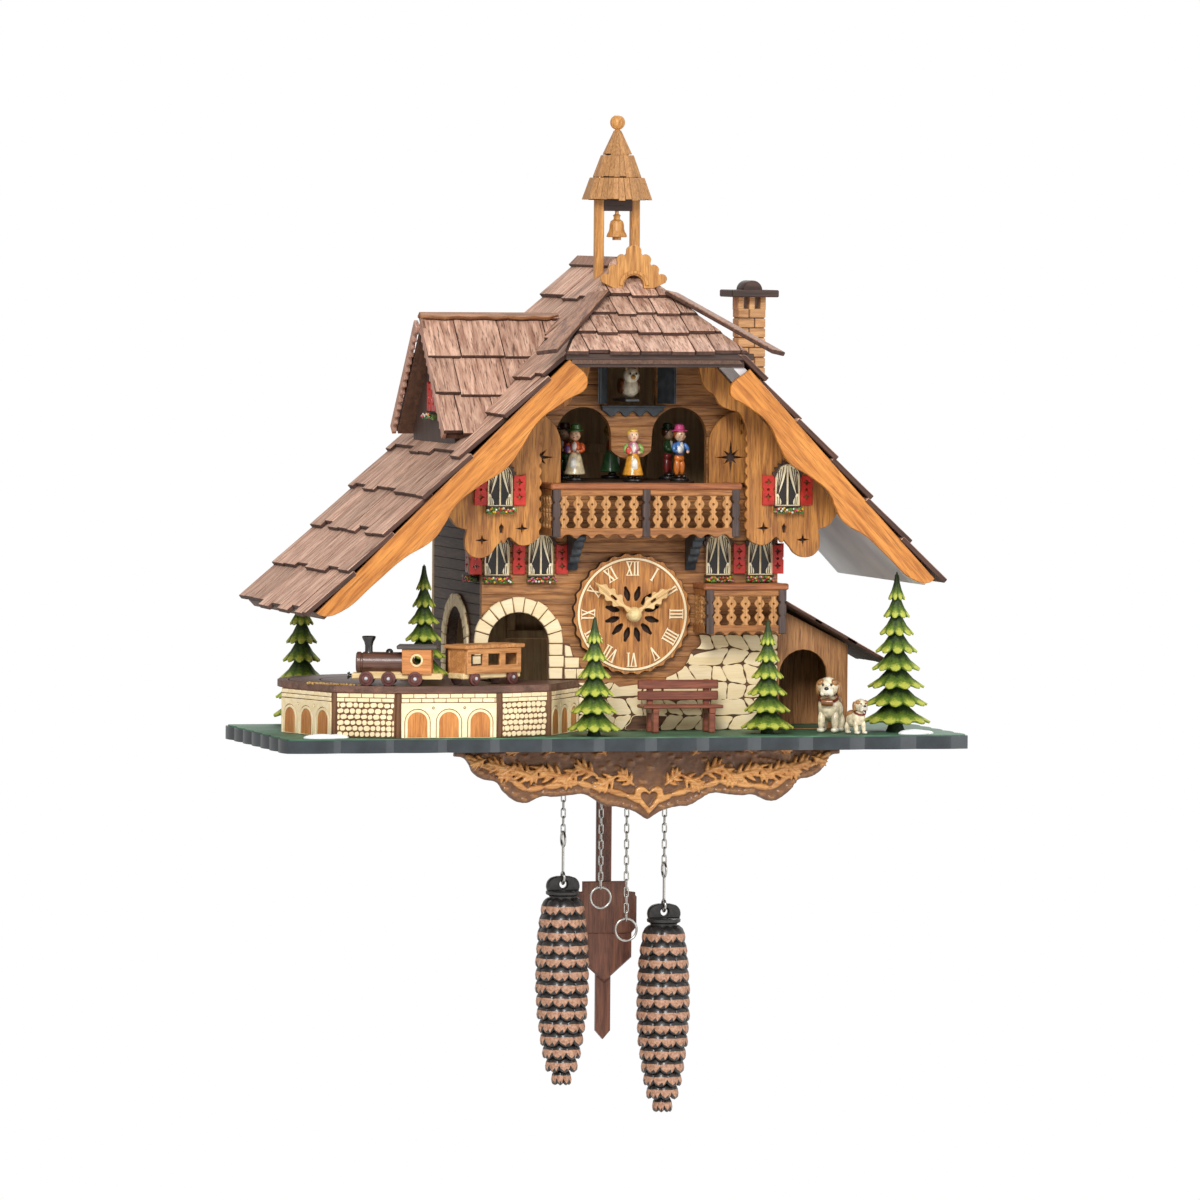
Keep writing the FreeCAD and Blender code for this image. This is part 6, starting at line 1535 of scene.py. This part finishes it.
for y in (-4.4, 4.4):
    buffer = spun("buffer", [(0, 0), (2.2, 0), (2.2, 0.8), (1, 1.2), (1, 3.4), (0, 3.4)], steps=20)
    buffer.data.transform(Matrix.Translation((-34, y, 6.6)) @ Matrix.Rotation(math.radians(90), 4, "Y"))
    loco.append(painted_piece(funnel_black, buffer))
fit(on_track(joined("toy_locomotive", loco), -18), "train_ring", "train_wood", "locomotive")
windows_line = [[(-26, 8), (26, 8), (26, 25), (-26, 25)]]
for x in (-16.5, 0, 16.5):
    windows_line.append([(x - 5.6, 13.6), (x + 5.6, 13.6), (x + 5.6, 21.4), (x - 5.6, 21.4)])
wagon_wood = timber("tan_orange_wagon", "cf9358", "ab6f3a", pore="6a3c1a", rough=0.5)
wagon = [wooden(frame_wood, planed("frame", (-27.5, -7.5, 4.6), (27.5, 7.5, 8.6), 0.6)),
         wooden(roof_grey, planed("dark", (-24, -7.2, 8), (24, 7.2, 12), 0.2))]
for y in (-9.5, 7.5):
    wagon.append(wooden(wagon_wood, sawn("wagon_side", windows_line, 2, plane((0, y, 0)), 0.3)))
wagon += [wooden(wagon_wood, planed("wagon_end", (x, -7.5, 8), (x + 2, 7.5, 25), 0.3)) for x in (-26, 24)]
for k in range(7):
    x = -28.5 + 57 * k / 7
    wagon.append(wooden(wagon_wood, planed("roof_slat", (x + 0.1, -10.6, 25 + 0.2 * (k % 2)),
                                           (x + 57 / 7 - 0.1, 10.6, 27.6 + 0.2 * (k % 2)), 0.4), (0, 1, 0)))
for x in (-18, 18):
    wagon += wheel_pair(x)
fit(on_track(joined("toy_wagon", wagon), 31), "train_ring", "train_wood", "wagon")


# ------------------------------------------------------------------ fir trees
# Turned firs whose skirts are cut into boughs, dyed dark green and brushed yellow-green where
# the tips stand out.
def fir_green():
    material = bpy.data.materials.new("brushed_fir_green")
    material.use_nodes = True
    tree = material.node_tree
    shader = tree.nodes["Principled BSDF"]
    tip = add(tree, "ShaderNodeAttribute", attribute_name="tip")
    place = add(tree, "ShaderNodeTexCoord").outputs["Object"]
    speckle = add(tree, "ShaderNodeTexNoise", {"Vector": place, "Scale": 700.0, "Detail": 4.0})
    mixed = add(tree, "ShaderNodeMath", {0: speckle.outputs["Fac"], 1: 0.5}, operation="MULTIPLY_ADD")
    tree.links.new(tip.outputs["Fac"], mixed.inputs[2])
    ramp = add(tree, "ShaderNodeValToRGB", {"Fac": mixed.outputs[0]})
    ramp.color_ramp.elements[0].position, ramp.color_ramp.elements[1].position = 0.45, 1.15
    ramp.color_ramp.elements[0].color, ramp.color_ramp.elements[1].color = colour("24380f"), colour("b9bd4c")
    middle = ramp.color_ramp.elements.new(0.8)
    middle.color = colour("637c22")
    bump = add(tree, "ShaderNodeBump", {"Height": speckle.outputs["Fac"], "Strength": 0.5,
                                        "Distance": 0.0005})
    tree.links.new(ramp.outputs["Color"], shader.inputs["Base Color"])
    tree.links.new(bump.outputs["Normal"], shader.inputs["Normal"])
    shader.inputs["Roughness"].default_value = 0.6
    return material


def fir(x, y, low, tall, radius, rows):
    """Stacked skirts of pointed boughs round a trunk, each skirt drooping to its tips."""
    sectors = 44
    points, faces, tips = [], [], []
    for row in range(rows):
        part = row / rows
        reach = radius * (1 - part) ** 0.8 + 1.6
        step = tall * 0.9 / rows
        foot = low + tall * (0.09 + 0.88 * part)
        boughs, start = max(6, 11 - row // 2), random.uniform(0, 6)
        rings = ((0.22, 1.1, 0.0), (0.36, 0.7, 0.15), (0.6, 0.34, 0.45), (0.86, 0.12, 0.8), (1.0, 0.0, 1.0),
                 (0.96, -0.12, 0.5), (0.5, 0.06, 0.0), (0.12, 0.2, 0.0))
        base = len(points)
        for share, rise, tip in rings:
            for k in range(sectors):
                angle = 2 * math.pi * k / sectors
                lobe = abs(math.sin(boughs * angle / 2 + start)) ** 0.7
                wide = reach * share * (1 - 0.3 * share * (1 - lobe))
                droop = step * rise - step * 0.22 * share * lobe
                points.append((x + wide * math.cos(angle), y + wide * math.sin(angle), foot + droop))
                tips.append(max(0.0, tip * (0.35 + 0.65 * lobe)))
        for ring in range(len(rings) - 1):
            for k in range(sectors):
                after = (k + 1) % sectors
                faces.append((base + ring * sectors + k, base + (ring + 1) * sectors + k,
                              base + (ring + 1) * sectors + after, base + ring * sectors + after))
        faces.append([base + k for k in range(sectors)])
        faces.append([base + (len(rings) - 1) * sectors + k for k in reversed(range(sectors))])
    mesh = bpy.data.meshes.new("fir")
    mesh.from_pydata(points, [], faces)
    mesh.attributes.new("tip", "FLOAT", "POINT").data.foreach_set("value", tips)
    piece = bpy.data.objects.new("fir", mesh)
    bpy.context.scene.collection.objects.link(piece)
    smoothed(outward(piece), 50)
    trunk = spun("trunk", [(0, 0), (radius * 0.3, 0), (radius * 0.22, tall * 0.04),
                           (radius * 0.2, tall * 0.16), (1, tall * 0.97), (0.3, tall), (0, tall)],
                 (x, y, low), 20)
    return [piece, trunk]


TREES = [(-206, 107, 0, 101, 18.5, 7), (-143, 11, 35, 79, 16, 6), (-41, -60, 0, 81, 17, 6),
         (85, -47, 0, 78, 17, 6), (180, -36, 0, 110, 23, 8)]
firs = []
for tree in TREES:
    firs += fir(*tree)
firs = joined("fir_trees", firs)
give(firs, fir_green())
fit(firs, "case", "green_paint", "trees")


# ------------------------------------------------------------------ bench
# A plank bench stained red-brown, with rounded edges and two back rails.
bench = []
for x in (7, 47):
    bench += [planed("leg", (x, -36, 0.2), (x + 4.4, -32, 16.6), 0.6),
              planed("leg", (x, -22, 0.2), (x + 4.4, -18, 16.6), 0.6),
              planed("bearer", (x, -36.6, 13), (x + 4.4, -18, 16.8), 0.6),
              planed("back_leg", (x, -20.6, 16), (x + 4.4, -17.8, 36), 0.6)]
for y in (-36.4, -30.6, -24.8):
    bench.append(planed("slat", (0, y, 16.8), (57, y + 5.2, 19.2), 0.6))
for z in (22, 29.6):
    bench.append(planed("rail", (0, -23, z), (57, -20.4, z + 6.2), 0.6))
bench = grained(joined("garden_bench", bench), (1, 0, 0), 0.06)
give(bench, timber("red_brown_bench", "94523a", "6c3524", pore="341610", rough=0.45, coat=0.2))
fit(bench, "case", "bench_wood", "bench")


# ------------------------------------------------------------------ shed
# A lean-to of upright brown boards with a round-headed doorway and a roof of three layers of
# boards that step down from the house.
SHED_FALL = math.tan(math.radians(27))


def shed_top(x):
    return 84 - (x - 105.3) * SHED_FALL


shed_face = [(105.4, 0.2), (156, 0.2), (156, shed_top(156)), (105.4, shed_top(105.4))]
shed_wood = timber("brown_shed_boards", "b98452", "89582f", pore="3a2010", rough=0.55, ring_mm=2.4)
shed = [burnt(sawn("shed_front", [shed_face, arch_line(124, 17, 0.6, 38)], 4, plane((0, 0, 0)), 0.3),
              (0, -1, 0))]
shed += [planed("shed_end", (152, 4.1, 0.2), (156, 60, shed_top(156) - 0.4), 0.4),
         sawn("shed_back", [shed_face], 4, plane((0, 60, 0)), 0.3)]
shed = grained(joined("shed_walls", shed), (0, 0, 1), 0.03)
give(shed, shed_wood, sawn_edge)
fit(shed, "case", "brown_board", "shed")
down = Vector((1, 0, -SHED_FALL)).normalized()
shed_roof = []
for layer, (start, end) in enumerate(((0.4, 30), (24, 58), (50, 84))):
    y = -17.0
    while y < 65:
        wide = random.uniform(12, 17)
        far = min(y + wide, 66)
        slip = random.uniform(-1.2, 1.4)
        lift = 85.2 + 1.2 * (2 - layer)
        first, last = Vector((105.4, (y + far) / 2, lift)) + down * start, Vector((105.4, (y + far) / 2,
            lift - 1.4)) + down * (end + slip)
        shed_roof.append(laid("roof_board", first, last, far - y - 0.3, 2.4, (0.45, 0, 0.9), 0.4))
        y = far
shed_roof = grained(joined("shed_roof_boards", shed_roof), down, 0.09)
give(shed_roof, shingle_wood, shingle_end)
for face in shed_roof.data.polygons:
    face.material_index = 0 if face.normal.z > 0.5 else 1
fit(shed_roof, "case", "shingle_wood")


# ------------------------------------------------------------------ dogs
# A big cream dog with brown patches and a small keg at its collar stands over its puppy.
def hound(x, y, tall, turn, keg):
    u = tall / 41
    coat, patch, dark = "f6e6c2", "b27c48", "1c1512"
    parts = [lump(0, 4, 15, (8.6, 11, 8.6), coat, 3), lump(0, -4, 18, (7.6, 7, 9), coat, 3),
             lump(0, 7, 21.4, (7.4, 8, 4.6), patch),
             lump(0, -8, 31.5, (7.3, 7, 6.8), coat, 3), lump(0, -14, 28.8, (4.8, 4.4, 3.9), "f6ecd6", 3),
             lump(0, -17.8, 30.6, (1.7, 1.1, 1.3), dark),
             lump(0, -8.6, 36.8, (3.0, 5.4, 1.6), "f6ecd6"),
             lump(0, -15.6, 25.8, (2.6, 2.4, 0.7), "7a3a30")]
    for side in (-1, 1):
        parts += [limb((side * 4.6, -6, 15), (side * 4.8, -8, 2.4), 2.7, coat),
                  lump(side * 4.8, -9.6, 1.9, (2.9, 3.8, 1.9), "f6ecd6"),
                  limb((side * 5.6, 9, 12), (side * 6, 9, 2.4), 3.4, coat),
                  lump(side * 6, 7, 1.8, (3, 4, 1.8), "f6ecd6"),
                  lump(side * 7.2, -7, 30.2, (1.7, 3.2, 5.4), patch),
                  lump(side * 4.3, -10.8, 34.4, (2.9, 3.2, 2.7), patch),
                  lump(side * 2.9, -14.4, 33.2, (0.95, 0.7, 1.1), dark, 1),
                  lump(side * 2.6, -15.4, 27.4, (2.1, 2.1, 2.3), "f6ecd6")]
    collar = spun("collar", [(6.6, -1), (7.2, -1), (7.2, 1), (6.6, 1), (6.6, -1)], steps=28)
    collar.data.transform(Matrix.Translation((0, -6.4, 24.4)) @ Matrix.Rotation(0.5, 4, "X"))
    parts.append(tinted(collar, "7a2a1e"))
    parts.append(limb((0, 14, 17), (3, 19, 23), 2.0, patch))
    if keg:
        barrel = spun("keg", [(0, -4), (2.3, -4), (3, 0), (2.3, 4), (0, 4)], steps=24)
        barrel.data.transform(Matrix.Translation((0, -12.6, 21.0)) @ Matrix.Rotation(math.radians(90), 4,
            "Y"))
        parts.append(tinted(barrel, "8a5428"))
    dog = joined("dog", parts)
    dog.data.transform(Matrix.Translation((x, y, 0.4)) @ Matrix.Rotation(math.radians(turn), 4,
        "Z") @ Matrix.Scale(u, 4))
    return dog


dogs = joined("dog_and_puppy", [hound(131, -42, 41, -24, True), hound(143, -66, 26, 14, False)])
fit(dogs, "case", "painted_resin", "dogs")


# ------------------------------------------------------------------ carved apron
# Limewood carved in relief under the base: a vine with leaves runs out both ways from a heart over a rough
# ground; the surface is coloured dark brown the deeper it lies and golden on the high parts.
APRON_EDGE = [(10, -52), (22, -49), (29, -48.5), (36, -45), (44, -40.5), (56, -41), (66, -42), (74, -41.5),
              (88, -46), (101, -38.5), (106, -32),
              (116, -29.5), (123, -25), (126, -19), (130, -15)]
outline = [(0, -58)] + [(x, z, 1) for x, z in APRON_EDGE] + [(136, -14), (136, -9.8), (-136, -9.8),
                                                             (-136, -14)]
outline += [(-x, z, 1) for x, z in reversed(APRON_EDGE)]
carving = [sawn("ground", [outline], 6.5, plane((0, -51.5, 0)), 1.2)]


def carved_leaf(x, z, size, turn):
    """A lobed leaf with a raised middle rib, its tip at turn degrees from the right."""
    lobes = [pebble("lobe", size * 0.5, -0.6, 0, (size * 0.5, 2.6, size * 0.08), 0, 2)]
    for start, reach, lean in ((0.22, 0.26, 0.9), (0.42, 0.3, 0.75), (0.62, 0.24, 0.6)):
        for side in (-1, 1):
            lobe = pebble("lobe", reach * size * 0.8, 0, 0, (reach * size * 0.9, 2.2, size * 0.062), 0, 2)
            lobe.data.transform(Matrix.Translation((start * size, 0, 0)) @ Matrix.Rotation(-side * lean, 4,
                "Y"))
            lobes.append(lobe)
    leaf = joined("leaf", lobes)
    leaf.data.transform(Matrix.Translation((x, -53.4, z)) @ Matrix.Rotation(math.radians(-turn), 4, "Y"))
    return leaf


for side in (-1, 1):
    for x, z, size, turn in ((10, -38, 17, 40), (22, -30, 19, -30), (36, -31, 20, 25), (50, -24, 19, -48),
                             (58, -32, 21, 14), (74, -22, 18, -44),
                             (80, -32, 20, 20), (94, -22, 17, -38), (98, -26, 18, 16), (114, -18, 14, -20),
                             (30, -18, 13, 60), (66, -15, 13, 30),
                             (90, -14, 12, 10)):
        carving.append(carved_leaf(side * x, z + 3, size, turn if side > 0 else 180 - turn))
    knots = [(4, -46), (16, -41), (28, -38), (40, -35), (50, -32), (62, -34), (74, -35), (86, -37),
             (96, -31), (106, -23), (118, -20), (128, -13)]
    for (x1, z1), (x2, z2) in zip(knots, knots[1:]):
        vine = pebble("vine", 0, 0, 0, (math.hypot(x2 - x1, z2 - z1) * 0.62, 2.0, 2.3), 0, 2)
        turn = Matrix.Rotation(-math.atan2(z2 - z1, side * (x2 - x1)), 4, "Y")
        vine.data.transform(Matrix.Translation((side * (x1 + x2) / 2, -52.6, (z1 + z2) / 2)) @ turn)
        carving.append(vine)
    for (x1, z1), (x2, z2) in zip(APRON_EDGE, APRON_EDGE[1:]):
        for t in (0.0, 0.5):
            x, z = side * (x1 + (x2 - x1) * t), z1 + (z2 - z1) * t
            carving.append(pebble("bead", x * 0.99, -50.6, z + 2.6, (3.2, 2.0, 2.0), 0, 2))
heart = [(0, -54), (6.5, -47, 1), (10, -41, 1), (9, -36.4, 1), (5, -35, 1), (0, -38.6), (-5, -35, 1),
         (-9, -36.4, 1), (-10, -41, 1), (-6.5, -47, 1)]
inner_heart = [(x * 0.55, -43.5 + (z + 43.5) * 0.55, *r) for x, z, *r in heart]
carving.append(sawn("heart", [heart, inner_heart], 5, plane((0, -54.6, 0)), 0.9))
for k in range(80):
    x = random.uniform(-124, 124)
    carving.append(pebble("ground_lump", x, -51.4, random.uniform(-12 - 26 * (1 - abs(x) / 130), -12),
                          (random.uniform(2, 4), 1.1, random.uniform(1.6, 3)), 0, 1))
apron = joined("apron_relief", carving)
finished(apron, REMESH={"mode": "VOXEL", "voxel_size": 0.6})
rough_cut = bpy.data.textures.new("gouge_marks", "CLOUDS")
rough_cut.noise_scale = 3.5
finished(apron, SMOOTH={"factor": 0.5, "iterations": 2}, DISPLACE={"texture": rough_cut, "strength": 0.7,
    "mid_level": 0.5})
back_limit = -45.0
for vertex in apron.data.vertices:
    vertex.co.y = min(vertex.co.y, back_limit)
    vertex.co.z = min(vertex.co.z, -9.7)
apron.data.shade_smooth()
depths = [min(1.0, max(0.0, (-50.8 - vertex.co.y) / 4.6)) for vertex in apron.data.vertices]
apron.data.attributes.new("relief", "FLOAT", "POINT").data.foreach_set("value", depths)


def depth_darkened_carving():
    """Carved wood, dark in the hollows and golden on the high parts."""
    material = timber("depth_darkened_carved_lime", "d39a58", "a8692f", pore="4a2a12", rough=0.45, ring_mm=4,
                      coat=0.2)
    tree = material.node_tree
    shader = tree.nodes["Principled BSDF"]
    wood = shader.inputs["Base Color"].links[0].from_socket
    relief = add(tree, "ShaderNodeAttribute", attribute_name="relief")
    hollow_darkness = add(tree, "ShaderNodeMapRange", {"Value": relief.outputs["Fac"], "From Min": 0.1,
                                            "From Max": 0.8, "To Min": 0.95, "To Max": 0.0})
    mixed = add(tree, "ShaderNodeMix", {0: hollow_darkness.outputs["Result"], 6: wood, 7: colour("54311a")},
                data_type="RGBA")
    tree.links.new(mixed.outputs[2], shader.inputs["Base Color"])
    return material


grained(apron, (1, 0, 0), 0)
give(apron, depth_darkened_carving())
fit(apron, "case", "carved_lime", "carved_apron")


# ------------------------------------------------------------------ pendulum
# A flat walnut stem carries a shield-shaped walnut bob with a raised top block.
walnut = timber("dark_walnut", "7a4a34", "4f2b1e", pore="24120c", rough=0.42, ring_mm=3.5, coat=0.2)
STEM_BACK, BOB = 67, -141
stem_line = [(-5.25, -212), (0, -218), (5.25, -212), (5.25, 49), (-5.25, 49)]
stem = sawn("stem", [stem_line, arc(0, 44, 1.7, 0, 340, 18)], 4, plane((0, STEM_BACK - 4, 0)), 0.4)
stem = grained(joined("pendulum_stem", [stem]), (0, 0, 1))
give(stem, walnut)
fit(stem, "pendulum", "walnut", "pendulum_rod")
shield = [(-16, 33), (-16, 26), (-20, 25.5), (-23, 22), (-23, 1), (-19.5, -3), (-19.5, -20), (0, -37),
          (19.5, -20), (19.5, -3), (23, 1), (23, 22), (20, 25.5),
          (16, 26), (16, 33)]
bob = [sawn("shield", [[(x, BOB + z) for x, z in shield]], 2.4, plane((0, 60.5, 0)), 0.7)]
bob += [sawn("shield", [[(x, BOB + z) for x, z in box_line(-22.6 if side < 0 else 5.4, 0.6,
                                                           -5.4 if side < 0 else 22.6, 25)]], 6.3,
             plane((0, 62.8, 0)), 0.5)
        for side in (-1, 1)]
bob.append(sawn("point", [[(-19, BOB - 3), (19, BOB - 3), (19, BOB - 19.6), (0, BOB - 36),
                           (-19, BOB - 19.6)]], 1.4, plane((0, 59.2, 0)), 0.6))
bob = grained(joined("pendulum_shield", bob), (0, 0, 1), 0.05)
give(bob, walnut)
fit(bob, "pendulum", "walnut", "pendulum_bob")


# ------------------------------------------------------------------ cone weights, chains and works
# Cast pine cones, black with copper-rubbed scale tips, hang from nickel-plated chains; the
# quartz movement, motors, battery holder and speaker sit inside the house.
cone_black = painted("cast_black_lacquer", "2b2725", "161312", rough=0.4, cloud_mm=3, coat=0.3)
copper_tip = painted("rubbed_copper_tips", "c0957a", "94664c", rough=0.42, cloud_mm=1.6, bump=0.3)
SCALE_ROWS, NECK, LONG, CONE_R = 14, 17, 143, 17.8


def cone_radius(part):
    return CONE_R * math.sin(math.pi * (0.24 + 0.68 * part)) ** 0.6


for label, x, top in (("left", -36.2, -102.5), ("right", 36.2, -122.4)):
    parts = [spun("core", [(0, -NECK + 1)] + [(cone_radius(k / 10) - 3.6,
                                               -NECK - (LONG - NECK - 6) * k / 10) for k in range(11)]
                  + [(0, -LONG + 2)], (x, 38, top)),
             spun("cap", [(0, -9.6), (10.6, -9.6), (11.8, -10.6), (11.6, -12.4), (9.4, -13.6), (9, -17),
                          (10.4, -18.4), (0, -19)], (x, 38, top))]
    lug = [(-11, -10), (11, -10)] + [(a, b, 1) for a, b in ((11.6, -6.4), (9.8, -2.2), (6, -0.2), (0, 0.2),
                                                            (-6, -0.2), (-9.8, -2.2), (-11.6, -6.4))]
    parts.append(sawn("lug", [[(x + u, top + v, *r) for u, v, *r in lug],
                              arc(x, top - 5.4, 2.8, 0, 340, 18)], 5, plane((0, 35.5, 0)), 0.8))
    for part in parts:
        give(part, cone_black)
    scales = []
    for row in range(SCALE_ROWS):
        part = row / (SCALE_ROWS - 1)
        count = 10 if 0.1 < part < 0.75 else 8
        radius = cone_radius(part) if part < 0.985 else 6
        z = top - NECK - 4 - (LONG - NECK - 9) * part
        for k in range(count):
            angle = 2 * math.pi * (k + 0.5 * (row % 2)) / count
            wide = math.pi * radius / count * 1.16
            scale = pebble("scale", 0, 0, 0, (wide, 3.0, 6.6), 0, 2)
            give(scale, cone_black, copper_tip)
            for face in scale.data.polygons:
                if face.center.y < -0.9 and -4.6 < face.center.z < -0.7:
                    face.material_index = 1
            scale.data.transform(Matrix.Translation((x, 38, z)) @ Matrix.Rotation(angle, 4,
                "Z") @ Matrix.Translation((0, -radius + 2.3, 0))
                                 @ Matrix.Rotation(-0.3, 4, "X"))
            scales.append(scale)
    fit(joined("pine_cone_" + label, scales + parts), "strand_" + label, "cone_bronze", "cone_" + label)


def plated(name, hex_code, rough, metal=1.0):
    """Nickel-plated or zinc-coated metal with faint handling marks."""
    material = painted(name, hex_code, hex_code, rough=rough, cloud_mm=2, bump=0.05)
    material.node_tree.nodes["Principled BSDF"].inputs["Metallic"].default_value = metal
    return material


nickel = plated("nickel_plated_chain", "b9b6b0", 0.3)
for node in ("chain_left", "chain_right", "chain_idle_left", "chain_idle_right", "chain_bar"):
    give(NODES[node], nickel)
works_black = painted("black_moulded_plastic", "26282b", "1b1d20", rough=0.5, cloud_mm=10, bump=0.05)
for node in ("movement", "carousel_motor", "train_motor", "speaker"):
    give(NODES[node], works_black)
give(NODES["battery_pack"], plated("zinc_battery_cells", "a8b0b4", 0.4, 0.8))


low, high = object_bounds()
